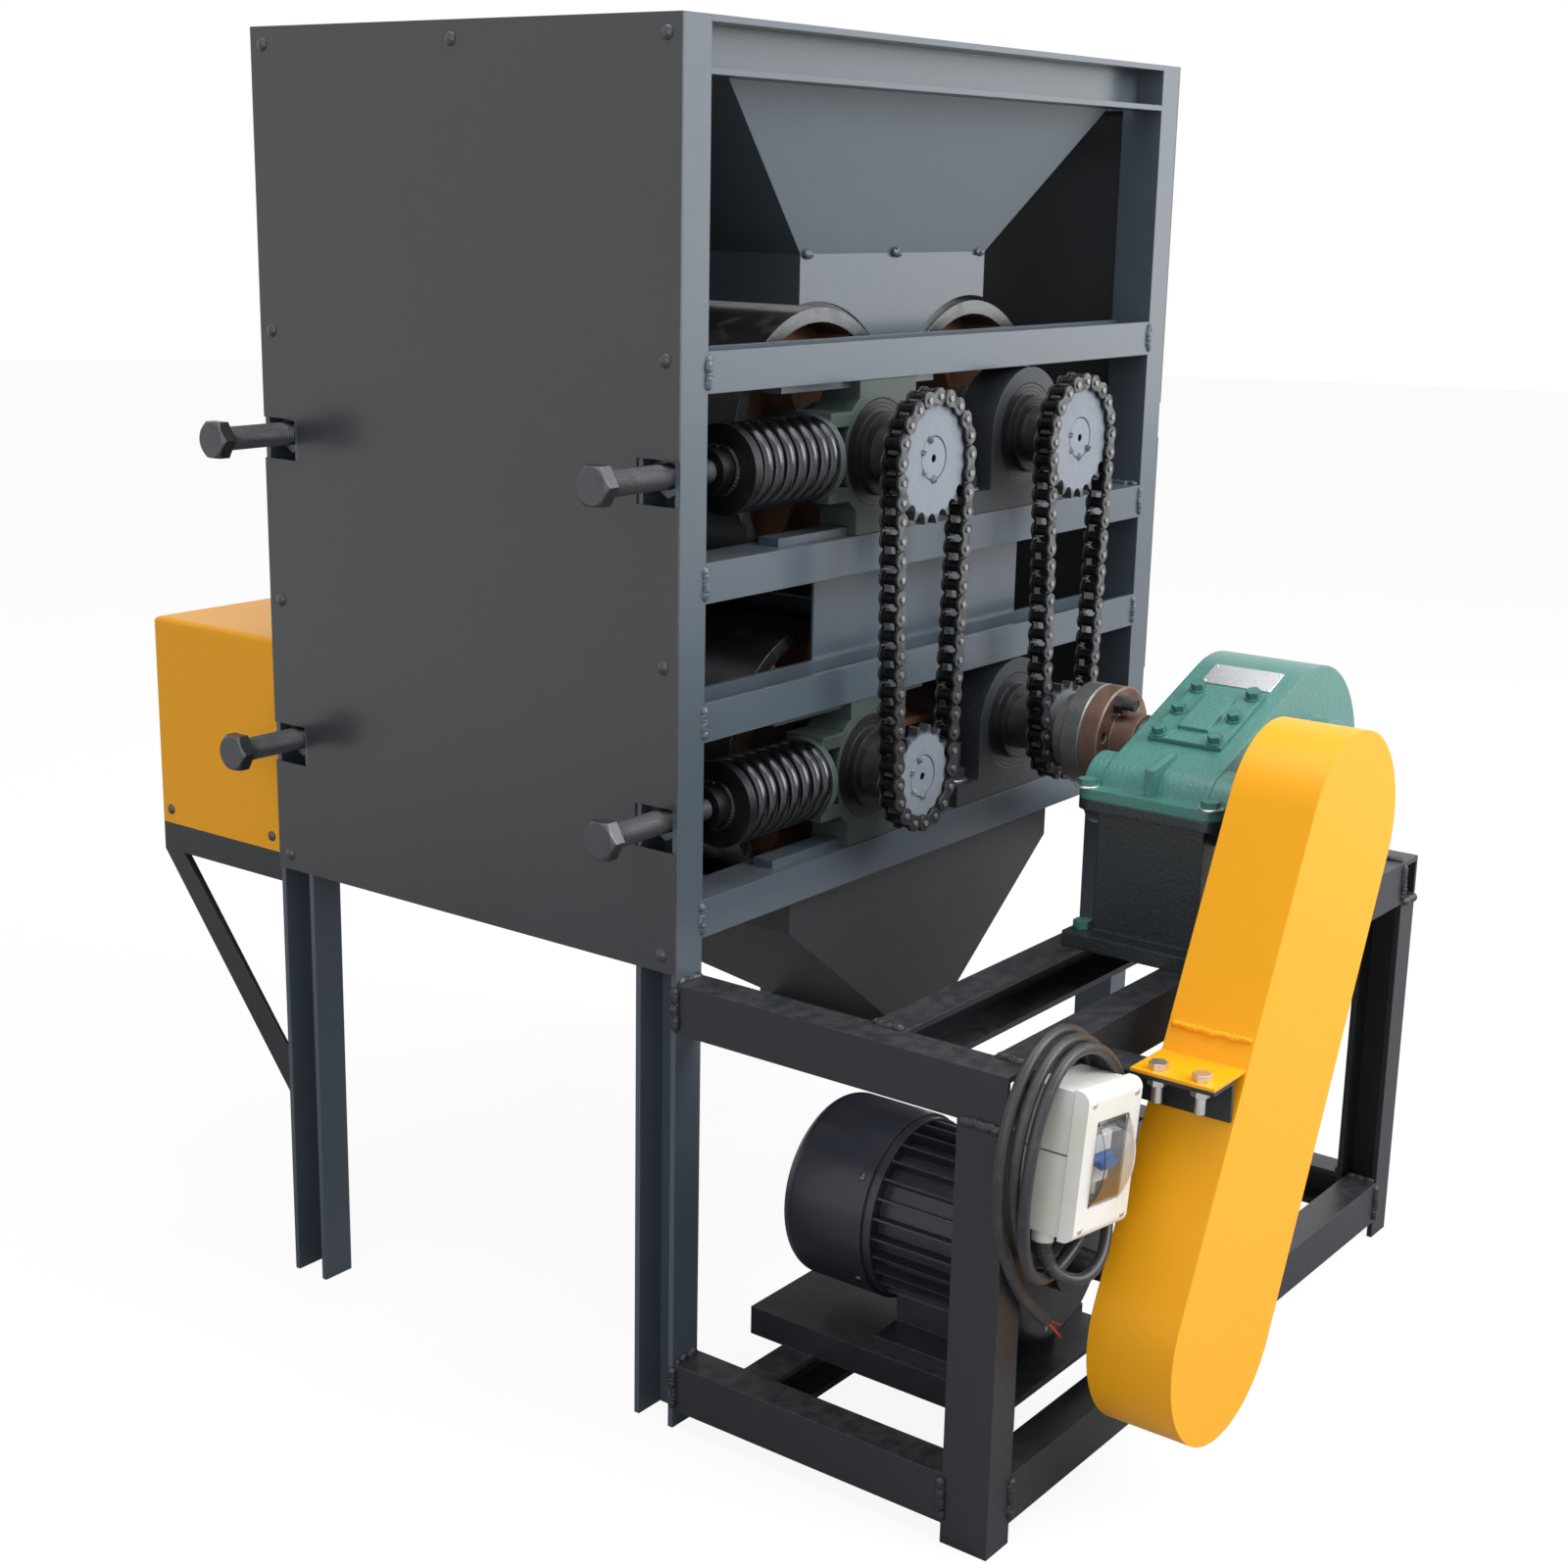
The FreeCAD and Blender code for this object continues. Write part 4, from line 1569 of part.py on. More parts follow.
def motor_shaft():
    """Motor shaft with the cooling fan on its rear end."""
    fan_y = (MOTOR_REAR_Y + FAN_COVER_LENGTH * 0.3, MOTOR_REAR_Y + FAN_COVER_LENGTH * 0.7)
    shaft = rod_y(MOTOR_X, (PULLEY_Y - PULLEY_WIDTH * 0.1, fan_y[1]), MOTOR_Z, MOTOR_SHAFT_R)
    hub = rod_y(MOTOR_X, fan_y, MOTOR_Z, MOTOR_SHAFT_R * 2)
    disc = rod_y(MOTOR_X, (fan_y[0], fan_y[0] + FAN_COVER_SHEET), MOTOR_Z, FAN_RADIUS)
    blades = []
    for k in range(FAN_BLADES):
        blade = box((MOTOR_X - FAN_COVER_SHEET / 2, MOTOR_X + FAN_COVER_SHEET / 2), fan_y,
                    (MOTOR_Z + MOTOR_SHAFT_R, MOTOR_Z + FAN_RADIUS))
        blade.rotate(Vector(MOTOR_X, 0, MOTOR_Z), Vector(0, 1, 0), 360.0 * k / FAN_BLADES)
        blades.append(blade)
    fan = joined([hub, disc] + blades).cut(shaft)
    return Part.makeCompound([shaft, fan])


# Breaker box and power cable

def on_breaker(shape):
    """Tilt a shape made about the breaker box's own middle and hang it on the platform's front."""
    hung = shape.copy()
    tilt = FreeCAD.Rotation(Vector(0, 1, 0), BREAKER_TILT)
    hung.Placement = FreeCAD.Placement(Vector(BREAKER_X, PLATFORM_FRONT_Y, BREAKER_Z), tilt)
    return hung


def breaker_box():
    """Open-fronted base box with a cable gland under it and a rail for the breaker."""
    half_w = BREAKER_W / 2
    half_h = BREAKER_H / 2
    base = box((-half_w, half_w), (-BREAKER_DEPTH, 0), (-half_h, half_h))
    wall = BREAKER_WALL
    base = base.cut(box((-half_w + wall, half_w - wall), (-BREAKER_DEPTH - 1, -wall),
                        (-half_h + wall, half_h - wall)))
    gland = rod_z(CABLE_EXIT_X, -BREAKER_DEPTH / 2, (-half_h - GLAND_L, -half_h), GLAND_R)
    rail = box((-half_w + wall, half_w - wall), (-BREAKER_DEPTH * 0.3, -wall),
               (-POLE_W * 0.95, POLE_W * 0.95))
    return on_breaker(joined([base, gland, rail]))


def breaker_cover():
    """Round-edged front cover with a window."""
    half_w = BREAKER_W / 2 + COVER_LIP
    half_h = BREAKER_H / 2 + COVER_LIP
    y = (-BREAKER_DEPTH - COVER_DEPTH, -BREAKER_DEPTH)
    shell = box((-half_w, half_w), y, (-half_h, half_h))
    rims = [edge
            for edge in shell.Edges if edge.BoundBox.YMax < y[0] + 1 and edge.BoundBox.XLength > half_w]
    shell = shell.makeFillet(COVER_CORNER, rims)
    wall = BREAKER_WALL
    shell = shell.cut(box((-half_w + COVER_LIP + wall, half_w - COVER_LIP - wall),
                          (y[0] + wall, y[1] + 1),
                          (-half_h + COVER_CORNER, half_h - COVER_CORNER)))
    return on_breaker(shell.cut(box((-WINDOW_W / 2, WINDOW_W / 2), (y[0] - 1, y[1]),
                                    (-WINDOW_H / 2, WINDOW_H / 2))))


def toggle_axis_y():
    """How far the toggle's axis stands in front of the platform, at the breaker's nose."""
    return -BREAKER_DEPTH - COVER_DEPTH + POLE_NOSE


def breaker():
    """Two-pole breaker clipped on the rail, with a raised nose slotted for the toggle."""
    half_w = POLES * POLE_W / 2
    back_y = -BREAKER_DEPTH * 0.3
    nose_y = toggle_axis_y()
    body = box((-half_w, half_w), (nose_y + POLE_NOSE, back_y), (-POLE_BODY_H / 2, POLE_BODY_H / 2))
    nose = box((-half_w, half_w), (nose_y, nose_y + POLE_NOSE), (-POLE_NOSE_H / 2, POLE_NOSE_H / 2))
    slot = rod_x((-half_w + 2, half_w - 2), nose_y, 0, TOGGLE_R + SLIDE_CLEAR)
    return on_breaker(joined([body, nose]).cut(slot))


def breaker_toggle():
    """Joined toggle bar of both poles, turned down to its off side."""
    half_w = POLES * POLE_W / 2 - 2 - SLIDE_CLEAR
    y = toggle_axis_y()
    barrel = rod_x((-half_w, half_w), y, 0, TOGGLE_R)
    lever = box((-half_w + 3, half_w - 3), (y - TOGGLE_REACH, y), (-TOGGLE_R * 0.6, TOGGLE_R * 0.6))
    lever.rotate(Vector(0, y, 0), Vector(1, 0, 0), TOGGLE_ANGLE / 2)
    return on_breaker(joined([barrel, lever]))


def flap_outline(bulge, inset, low_y):
    """Bowed outline of the window flap seen from the side, as a face at its left edge."""
    half_h = WINDOW_H / 2 - FLAP_GAP - inset
    left_x = -WINDOW_W / 2 + FLAP_GAP + inset
    top = Vector(left_x, low_y, half_h)
    low = Vector(left_x, low_y, -half_h)
    bow = Part.Arc(top, Vector(left_x, low_y - bulge, 0), low).toShape()
    return Part.Face(Part.Wire([bow, Part.LineSegment(low, top).toShape()]))


def breaker_window():
    """Clear bowed flap over the breaker, hinged along its top edge."""
    front_y = -BREAKER_DEPTH - COVER_DEPTH
    width = WINDOW_W - 2 * FLAP_GAP
    shell = flap_outline(FLAP_BULGE, 0, front_y).extrude(Vector(width, 0, 0))
    hollow = flap_outline(FLAP_BULGE - FLAP_THICK, FLAP_THICK,
                          front_y).extrude(Vector(width - 2 * FLAP_THICK, 0, 0))
    barrel = rod_x((-width / 2, width / 2), front_y, WINDOW_H / 2 - FLAP_GAP - FLAP_THICK, FLAP_THICK)
    return on_breaker(joined([shell.cut(hollow), barrel]))


def breaker_point(x, y, z):
    """A place on the breaker box in the machine's frame."""
    tilt = FreeCAD.Rotation(Vector(0, 1, 0), BREAKER_TILT)
    return Vector(BREAKER_X, PLATFORM_FRONT_Y, BREAKER_Z) + tilt.multVec(Vector(x, y, z))


def loop_line():
    """Centre line of the wound cable, as a function of turns from the right-hand side."""
    last_y = PLATFORM_FRONT_Y - CABLE_R - CABLE_BACK_GAP

    def line(turn):
        angle = 2 * math.pi * turn
        grow = LOOP_GROW * turn
        depth = last_y - LOOP_STEP * (LOOP_END - turn)
        across = math.cos(angle)
        reach = LOOP_RIGHT_W if across > 0 else LOOP_HALF_W + grow
        return Vector(BREAKER_X - LOOP_LEFT + reach * across, depth,
                      BREAKER_Z + (LOOP_HALF_H + grow) * math.sin(angle))
    return line


def cable_coil():
    """Cable from the gland, wound round the breaker box as one unbroken tube."""
    line = loop_line()
    count = int((LOOP_END - LOOP_START) * 4)
    spots = [LOOP_START + k / 4 for k in range(count + 1)]
    spots.append(LOOP_END)
    points = [line(spot) for spot in spots]
    tangents = tangents_of(line, spots)
    down = (breaker_point(CABLE_EXIT_X, 0, -1) - breaker_point(CABLE_EXIT_X, 0, 0)).normalize()
    exit_point = breaker_point(CABLE_EXIT_X, -BREAKER_DEPTH / 2, -BREAKER_H / 2 - GLAND_L)
    clear_point = exit_point + down * (2 * CABLE_R)
    edges = [Part.LineSegment(exit_point, clear_point).toShape()]
    edges += biarc(clear_point, down, points[0], tangents[0])
    for k in range(len(spots) - 1):
        edges += biarc(points[k], tangents[k], points[k + 1], tangents[k + 1])
    fine = [line(LOOP_START + k * (LOOP_END - LOOP_START) / 400) for k in range(401)]
    print("cable least gap between loops", round(least_gap(fine, 40, 2 * CABLE_R), 2))
    print("cable coil length", round(sum(edge.Length for edge in edges), 1))
    return tube_along(edges, exit_point, down, CABLE_R)


def tail_points():
    """Corner points of the hanging tail, from the end of the loops."""
    start = loop_line()(LOOP_END)
    return [start] + [start + Vector(*offset) for offset in TAIL_ROUTE]


def cable_tail():
    """The cable's hanging end, straight runs joined by wide arcs, with its bare cores."""
    points = tail_points()
    edges, radii = routed_edges(points)
    print("cable tail radii", [round(radius, 1) for radius in radii])
    print("cable tail length", round(sum(edge.Length for edge in edges), 1))
    tube = tube_along(edges, points[0], (points[1] - points[0]).normalize(), CABLE_R)
    return Part.makeCompound([tube] + cable_cores())


def cable_cores():
    """Bare cores that stand out of the cut end of the cable."""
    points = tail_points()
    end = points[-1]
    along = (end - points[-2]).normalize()
    side = along.cross(Vector(0, 1, 0)).normalize()
    cores = []
    for k in range(CORES):
        angle = 2 * math.pi * k / CORES
        outward = side * math.cos(angle) + Vector(0, 1, 0) * math.sin(angle)
        start = end + outward * (CABLE_R * 0.45)
        lean = (along + outward * CORE_SPREAD).normalize()
        cores.append(Part.makeCylinder(CORE_R, CORE_LENGTH * (1 - 0.18 * k), start, lean))
    return cores


# Every node of the machine

def roller_nodes():
    """Rollers and sprockets of both stages, left and right."""
    nodes = {}
    plain_end = CAB_DEPTH + GEAR_START / 2
    gear_end = GEAR_Y + GEAR_WIDTH + SHAFT_RADIUS / 4
    for level, axis in AXIS_LEVELS.items():
        teeth = SPROCKET_TEETH[level]
        pitch_r = CHAIN_PITCH / (2 * math.sin(math.pi / teeth))
        rear = gear_end if level == "lower" else plain_end
        for side, x in (("left", LEFT_X), ("right", RIGHT_X)):
            body = nose_roller(x, axis, rear)
            if (level, side) == ("lower", "right"):
                nose_y = (COUPLING_Y - COUPLING_FLANGE, CHAIN_Y)
                body = joined([body, rod_y(x, nose_y, axis, NOSE_RADIUS)])
            nodes[f"{level}_{side}_roller"] = body
            nodes[f"{level}_{side}_sprocket"] = sprocket(x, axis, teeth, pitch_r)
    return nodes


def stage_nodes():
    """Sliding blocks, springs, plates and bolts of both stages."""
    nodes = {}
    for level in AXIS_LEVELS:
        nodes[f"{level}_take_up_blocks"] = take_up_blocks(level)
        nodes[f"{level}_springs"] = springs(level)
        nodes[f"{level}_spring_plates"] = spring_plates(level)
        for end in BEARING_ROWS:
            nodes[f"{level}_{end}_bolt"] = adjusting_bolt(level, end)
    return nodes


SINGLE_NODES = [columns, tie_rails, bearing_beams, guide_rails, side_panels, panel_screws,
                feed_hopper, middle_chute, discharge_hopper, platform_frame, pillow_blocks,
                right_gear, left_gear, right_idler, left_idler, gear_brackets, gear_cover,
                coupling_roller_half, coupling_gearbox_half, coupling_bolts, gearbox_lower_case,
                gearbox_upper_case, gearbox_cover, mounting_bolts, gearbox_input_shaft,
                gearbox_output_shaft,
                gearbox_pulley, motor_pulley, drive_belts, belt_guard, motor_housing,
                motor_fan_cover, motor_shaft, breaker_box, breaker_cover, breaker, breaker_toggle,
                breaker_window, cable_coil, cable_tail]


def main():
    os.makedirs("parts", exist_ok=True)
    nodes = {make.__name__: make() for make in SINGLE_NODES}
    nodes["left_chain"] = chain(LEFT_X)
    nodes["right_chain"] = chain(RIGHT_X)
    nodes.update(roller_nodes())
    nodes.update(stage_nodes())
    for name, shape in nodes.items():
        shape.translate(ORIGIN * -1)
        shape.exportStep(f"parts/{name}.step")
    print(len(nodes), "nodes")


if __name__ == "__main__":
    main()
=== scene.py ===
"""Finishes, springs, power cable and trim of a two-stage grain mill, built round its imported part."""

import json
import math

import bmesh
import bpy
import numpy as np
from bpy.props import FloatProperty, FloatVectorProperty, PointerProperty
from mathutils import Matrix, Vector


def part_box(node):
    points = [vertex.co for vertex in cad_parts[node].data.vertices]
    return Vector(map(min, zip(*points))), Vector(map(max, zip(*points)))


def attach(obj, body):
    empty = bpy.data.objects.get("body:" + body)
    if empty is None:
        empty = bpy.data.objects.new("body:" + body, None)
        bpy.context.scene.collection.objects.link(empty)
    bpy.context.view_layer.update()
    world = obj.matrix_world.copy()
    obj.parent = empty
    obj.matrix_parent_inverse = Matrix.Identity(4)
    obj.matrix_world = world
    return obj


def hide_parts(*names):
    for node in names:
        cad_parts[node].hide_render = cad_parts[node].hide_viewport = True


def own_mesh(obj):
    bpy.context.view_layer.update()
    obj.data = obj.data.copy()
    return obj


bl_info = {
    "name": "Grain mill",
    "version": (1, 0, 0),
    "blender": (4, 5, 0),
    "location": "View3D > Sidebar > Mill",
    "description": "Dresses the packed grain mill with its finishes, springs, cable and trim",
    "category": "Object",
}

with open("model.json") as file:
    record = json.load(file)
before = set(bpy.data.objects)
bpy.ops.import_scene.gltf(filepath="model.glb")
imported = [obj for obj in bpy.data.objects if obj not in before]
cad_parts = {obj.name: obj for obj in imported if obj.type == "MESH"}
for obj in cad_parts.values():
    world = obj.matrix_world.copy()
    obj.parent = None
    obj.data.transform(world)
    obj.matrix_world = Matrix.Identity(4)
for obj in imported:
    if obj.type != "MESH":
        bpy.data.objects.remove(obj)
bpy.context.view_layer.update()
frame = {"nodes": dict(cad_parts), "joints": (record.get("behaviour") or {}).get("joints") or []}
MM = 0.001
CORNER = np.array(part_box("columns")[0])
LEVELS = ("upper", "lower")
SIDES = ("left", "right")
ROWS = ("front", "rear")


def place(x, y, z):
    """A point in millimetres from the cabinet's left front foot, in metres of the shared frame."""
    return CORNER + MM * np.array([x, y, z], float)


def limits(node):
    """Lowest and highest corner of a node, in millimetres from the cabinet's left front foot."""
    low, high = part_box(node)
    return (np.array(low) - CORNER) / MM, (np.array(high) - CORNER) / MM


def middle(node):
    """The middle of a node's box, in metres."""
    low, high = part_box(node)
    return (np.array(low) + np.array(high)) / 2


CABINET = limits("columns")[1]
CHANNEL_HEIGHT, CHANNEL_WIDTH = 50.0, 38.0
ROW_PLACES = (CHANNEL_HEIGHT / 2, CABINET[1] - CHANNEL_HEIGHT / 2)
ROLLER_AXES = {(level, side): middle(f"{level}_{side}_roller") for level in LEVELS for side in SIDES}
# The reducer's two shafts, at one height, in millimetres
INPUT_X, OUTPUT_X, SHAFT_Z, REDUCER_ROW = 402.0, 601.0, 622.4, -300.0


# Properties that a user would change

def colour_property(name, description, default):
    """A colour that is shown as a swatch."""
    return FloatVectorProperty(name=name, description=description, subtype="COLOR", size=3, min=0, max=1,
                               default=default)


def length_property(name, description, default):
    """A length in metres, nought or more."""
    return FloatProperty(name=name, description=description, subtype="DISTANCE", unit="LENGTH", min=0,
                         default=default)


def number_property(name, description, default):
    """A plain number, nought or more."""
    return FloatProperty(name=name, description=description, min=0, default=default)


class MillColours(bpy.types.PropertyGroup):
    """Base colours of the paints, plastics and metals."""
    frame_blue: colour_property("Frame", "Satin paint on the columns, beams and hopper",
                                (0.07, 0.09, 0.112))
    panel_grey: colour_property("Panels", "Satin paint on the side sheets", (0.038, 0.042, 0.048))
    platform_grey: colour_property("Platform", "Paint on the drive platform", (0.016, 0.019, 0.024))
    guard_orange: colour_property("Guards", "Satin paint on the belt guard and gear cover",
                                  (0.92, 0.4, 0.004))
    reducer_green: colour_property("Reducer", "Enamel on the upper case", (0.055, 0.2, 0.172))
    reducer_base: colour_property("Reducer base", "Enamel on the lower case", (0.014, 0.02, 0.024))
    casting_green: colour_property("Take-ups", "Enamel on the sliding bearing blocks", (0.036, 0.05, 0.05))
    pillow_navy: colour_property("Pillow blocks", "Enamel on the fixed bearing blocks",
                                 (0.016, 0.021, 0.027))
    motor_navy: colour_property("Motor", "Paint on the motor", (0.016, 0.019, 0.028))
    sprocket_grey: colour_property("Sprockets", "Paint on the sprocket faces", (0.2, 0.225, 0.265))
    drum_brown: colour_property("Roller webs", "Primer on the webs and gussets", (0.17, 0.085, 0.05))
    box_white: colour_property("Breaker box", "Moulded plastic of the box", (0.78, 0.78, 0.76))
    toggle_blue: colour_property("Toggle", "Moulded plastic of the toggle", (0.03, 0.12, 0.42))
    cable_black: colour_property("Cable", "Rubber of the power cable", (0.022, 0.023, 0.026))


class MillSizes(bpy.types.PropertyGroup):
    """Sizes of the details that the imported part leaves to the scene."""
    weld_radius: length_property("Weld bead", "Half width of a weld bead", 0.0046)
    spring_wire: length_property("Spring wire", "Diameter of the spring wire", 0.014)
    spring_radius: length_property("Spring radius", "Radius of the coils at the wire's middle", 0.036)
    spring_turns: number_property("Spring turns", "Turns of a spring, closed ends included", 7.0)
    bolt_pitch: length_property("Bolt thread", "Pitch of the adjusting bolts", 0.003)
    cable_diameter: length_property("Cable", "Diameter of the power cable", 0.011)


class MillStage(bpy.types.PropertyGroup):
    """Camera and studio light."""
    lens: FloatProperty(name="Lens", description="Focal length of the camera", subtype="DISTANCE_CAMERA",
                        unit="CAMERA", default=52.82)
    key_power: FloatProperty(name="Key", description="Soft light from the front", subtype="POWER",
                             unit="POWER", default=140)
    window_power: FloatProperty(name="Window", description="Broad light that shines in the front faces",
                                subtype="POWER", unit="POWER", default=32)
    top_power: FloatProperty(name="Top", description="Soft light from above", subtype="POWER",
                             unit="POWER", default=55)
    fill_power: FloatProperty(name="Fill", description="Soft light from the left", subtype="POWER",
                              unit="POWER", default=22)
    ambient: number_property("Ambient", "Strength of the surrounding light", 0.52)


# Shader arithmetic

class Signal:
    """A shader value that takes part in sums: each operation adds one Math node."""

    def __init__(self, finish, socket):
        self.finish = finish
        self.socket = socket

    def maths(self, operation, *values):
        """One Math node of an operation on these values."""
        return self.finish.node("ShaderNodeMath", {"operation": operation}, dict(enumerate(values)))

    def __add__(self, other):
        return self.maths("ADD", self, other)

    def __sub__(self, other):
        return self.maths("SUBTRACT", self, other)

    def __rsub__(self, other):
        return self.maths("SUBTRACT", other, self)

    def __mul__(self, other):
        return self.maths("MULTIPLY", self, other)

    def __pow__(self, other):
        return self.maths("POWER", self, other)

    def __abs__(self):
        return self.maths("ABSOLUTE", self)

    __radd__ = __add__
    __rmul__ = __mul__

    def between(self, low, high):
        """Nought below low, one above high and smooth between."""
        return self.finish.node("ShaderNodeMapRange", {"interpolation_type": "SMOOTHSTEP", "clamp": True},
                                {0: self, 1: low, 2: high, 3: 0.0, 4: 1.0})


FINISHES = {}


def finish_named(name):
    """The material of a finish that has been made."""
    return FINISHES[name].material


class Finish:
    """A material in the making: its node tree and its one shader."""

    def __init__(self, name, **constants):
        self.material = bpy.data.materials.new(name)
        self.material.use_nodes = True
        self.tree = self.material.node_tree
        self.tree.nodes.clear()
        self.shader = self.tree.nodes.new("ShaderNodeBsdfPrincipled")
        self.output = self.tree.nodes.new("ShaderNodeOutputMaterial")
        self.tree.links.new(self.shader.outputs[0], self.output.inputs[0])
        for socket, value in constants.items():
            self.give(socket.replace("_", " "), value)
        FINISHES[name] = self

    def join(self, value, socket):
        """Link a signal to a socket, or set the socket's own value."""
        if isinstance(value, Signal):
            self.tree.links.new(value.socket, socket)
        elif socket.type == "RGBA":
            socket.default_value = (*value, 1)
        else:
            socket.default_value = value

    def give(self, socket, value):
        """Set or link one of the shader's own sockets."""
        self.join(value, self.shader.inputs[socket])

    def node(self, kind, settings=None, inputs=None, output=0):
        """Any node: its settings first, then the values or links of its sockets."""
        made = self.tree.nodes.new(kind)
        for key, value in (settings or {}).items():
            setattr(made, key, value)
        for key, value in (inputs or {}).items():
            self.join(value, made.inputs[key])
        return Signal(self, made.outputs[output])

    def finish_with(self, shader):
        """Show another shader than the material's own."""
        self.tree.links.new(shader.socket, self.output.inputs[0])

    def position(self):
        """The three object coordinates, in metres of the shared frame."""
        spot = self.node("ShaderNodeTexCoord", output=3)
        return [self.node("ShaderNodeSeparateXYZ", inputs={0: spot}, output=k) for k in range(3)]

    def facing(self, axis):
        """One component of the surface normal."""
        normal = self.node("ShaderNodeNewGeometry", output=1)
        return self.node("ShaderNodeSeparateXYZ", inputs={0: normal}, output=axis)

    def noise(self, scale, detail=3.0, stretch=(1, 1, 1)):
        """Cloudy noise of the object coordinates, from nought to one."""
        spot = self.node("ShaderNodeTexCoord", output=3)
        laid = self.node("ShaderNodeMapping", inputs={"Vector": spot, "Scale": stretch})
        return self.node("ShaderNodeTexNoise", inputs={"Vector": laid, "Scale": scale, "Detail": detail})

    def spots(self, scale):
        """Distance to scattered points, small in the middle of each spot."""
        spot = self.node("ShaderNodeTexCoord", output=3)
        return self.node("ShaderNodeTexVoronoi", inputs={"Vector": spot, "Scale": scale})

    def mix(self, share, first, second):
        """A colour between two colours."""
        return self.node("ShaderNodeMix", {"data_type": "RGBA"}, {0: share, 6: first, 7: second}, 2)

    def rounded(self, radius):
        """The normal of edges that are rounded by a radius."""
        return self.node("ShaderNodeBevel", {"samples": 4}, {"Radius": radius})

    def edges(self, radius):
        """A mask that is high along sharp edges."""
        true = self.node("ShaderNodeNewGeometry", output=1)
        inputs = {0: self.rounded(radius), 1: true}
        likeness = self.node("ShaderNodeVectorMath", {"operation": "DOT_PRODUCT"}, inputs, 1)
        return (1 - likeness).between(0.02, 0.25)

    def bump(self, height, depth, round_edges=0.0):
        """Relief of a depth in metres, over edges that may be rounded."""
        inputs = {"Height": height, "Distance": depth, "Strength": 1.0}
        if round_edges:
            inputs["Normal"] = self.rounded(round_edges)
        self.give("Normal", self.node("ShaderNodeBump", inputs=inputs))


def shade(colour, factor):
    """A colour made darker or lighter."""
    return tuple(min(1.0, part * factor) for part in colour)


def painted(name, colour, rough, relief=0.00012, coat=0.0, dust=0.0, worn=0.0, vary=0.2,
            speckle=0.16, gloss=0.5):
    """Sprayed paint: cloudy tone, orange peel, dust on level faces and lighter worn edges."""
    made = Finish(name, Specular_IOR_Level=gloss, Coat_Weight=coat, Coat_Roughness=0.12)
    cloud = made.noise(3.1, 4)
    speck = made.noise(70, 5)
    peel = made.noise(340, 2)
    tone = made.mix(cloud * 0.65 + speck * 0.35, shade(colour, 1 - vary), shade(colour, 1 + vary))
    if dust:
        settled = made.facing(2).between(0.6, 0.98) * speck.between(0.34, 0.66) * dust
        tone = made.mix(settled, tone, (0.17, 0.15, 0.13))
    if worn:
        chips = made.edges(0.0022) * made.noise(120, 4).between(0.42, 0.62) * worn
        pale = (sum(colour) / 3 + 0.1,) * 3
        tone = made.mix(chips, tone, pale)
    made.give("Base Color", tone)
    made.give("Roughness", speck * speckle + cloud * 0.08 + (rough - 0.04 - speckle / 2))
    made.bump(peel * 0.6 + speck * 0.4, relief, 0.0012)


def cast(name, colour, rough, relief=0.0007):
    """Painted sand casting: coarse skin, small pits and a cloudy tone."""
    made = Finish(name, Specular_IOR_Level=0.5, Coat_Weight=0.25, Coat_Roughness=0.25)
    cloud = made.noise(5, 4)
    skin = made.noise(230, 4)
    pits = made.spots(160).between(0.05, 0.3)
    rubbed = made.edges(0.003) * made.noise(90, 4).between(0.4, 0.65)
    tone = made.mix(cloud * 0.6 + skin * 0.4, shade(colour, 0.68), shade(colour, 1.35))
    tone = made.mix(rubbed * 0.35, tone, shade(colour, 2.2))
    made.give("Base Color", tone)
    made.give("Roughness", skin * 0.2 + (rough - 0.1))
    made.bump(skin * 0.7 + pits * 0.3, relief, 0.003)


def metal(name, colour, rough, stain=(0.05, 0.045, 0.04), stained=0.4, stretch=(1, 1, 1), relief=0.00008):
    """Bare or oiled steel: brushed grain, stains and a little relief."""
    made = Finish(name, Specular_IOR_Level=0.5)
    grain = made.noise(420, 3, stretch)
    cloud = made.noise(26, 5)
    dirt = cloud.between(0.46, 0.72) * stained
    tone = made.mix(grain, shade(colour, 0.78), shade(colour, 1.2))
    made.give("Base Color", made.mix(dirt, tone, stain))
    made.give("Metallic", 0.95 - dirt * 0.6)
    made.give("Roughness", grain * 0.14 + dirt * 0.3 + (rough - 0.07))
    made.bump(grain * 0.6 + cloud * 0.4, relief, 0.0008)


def plastic(name, colour, rough):
    """Moulded plastic: a fine grained skin with slight yellowing and rounded edges."""
    made = Finish(name, Specular_IOR_Level=0.45)
    cloud = made.noise(18, 4)
    grain = made.noise(900, 2)
    warm = (colour[0] * 0.93, colour[1] * 0.9, colour[2] * 0.82)
    made.give("Base Color", made.mix(cloud.between(0.4, 0.75), colour, warm))
    made.give("Roughness", grain * 0.12 + (rough - 0.06))
    made.bump(grain, 0.00006, 0.0015)


# Radii from a roller's axis between which its finish changes, in metres
WEB_EDGE, DRUM_EDGE, INSERT_EDGE = (0.045, 0.0475), (0.1235, 0.1255), (0.0545, 0.0555)
# Depths in metres behind a sprocket's face: of the nose's paint, and of the disc before its dark back begins
NOSE_DEPTH, DISC_DEPTH = (0.0006, 0.0012), (0.0105, 0.0118)
# Depth of the grease inside a sprocket's tooth tips, and the radius of the line round its hub, in metres
TOOTH_DEPTH, HUB_LINE = (0.011, 0.005), 0.0222
# Distances from a chain's middle plane where its plates and its rivet ends begin, in metres
PLATE_EDGE, RIVET_EDGE = (0.0086, 0.009), (0.01145, 0.0117)
# The mounting bolts in front of this place are zinc plated, in millimetres
GUARD_BOLTS_Y = -395.0


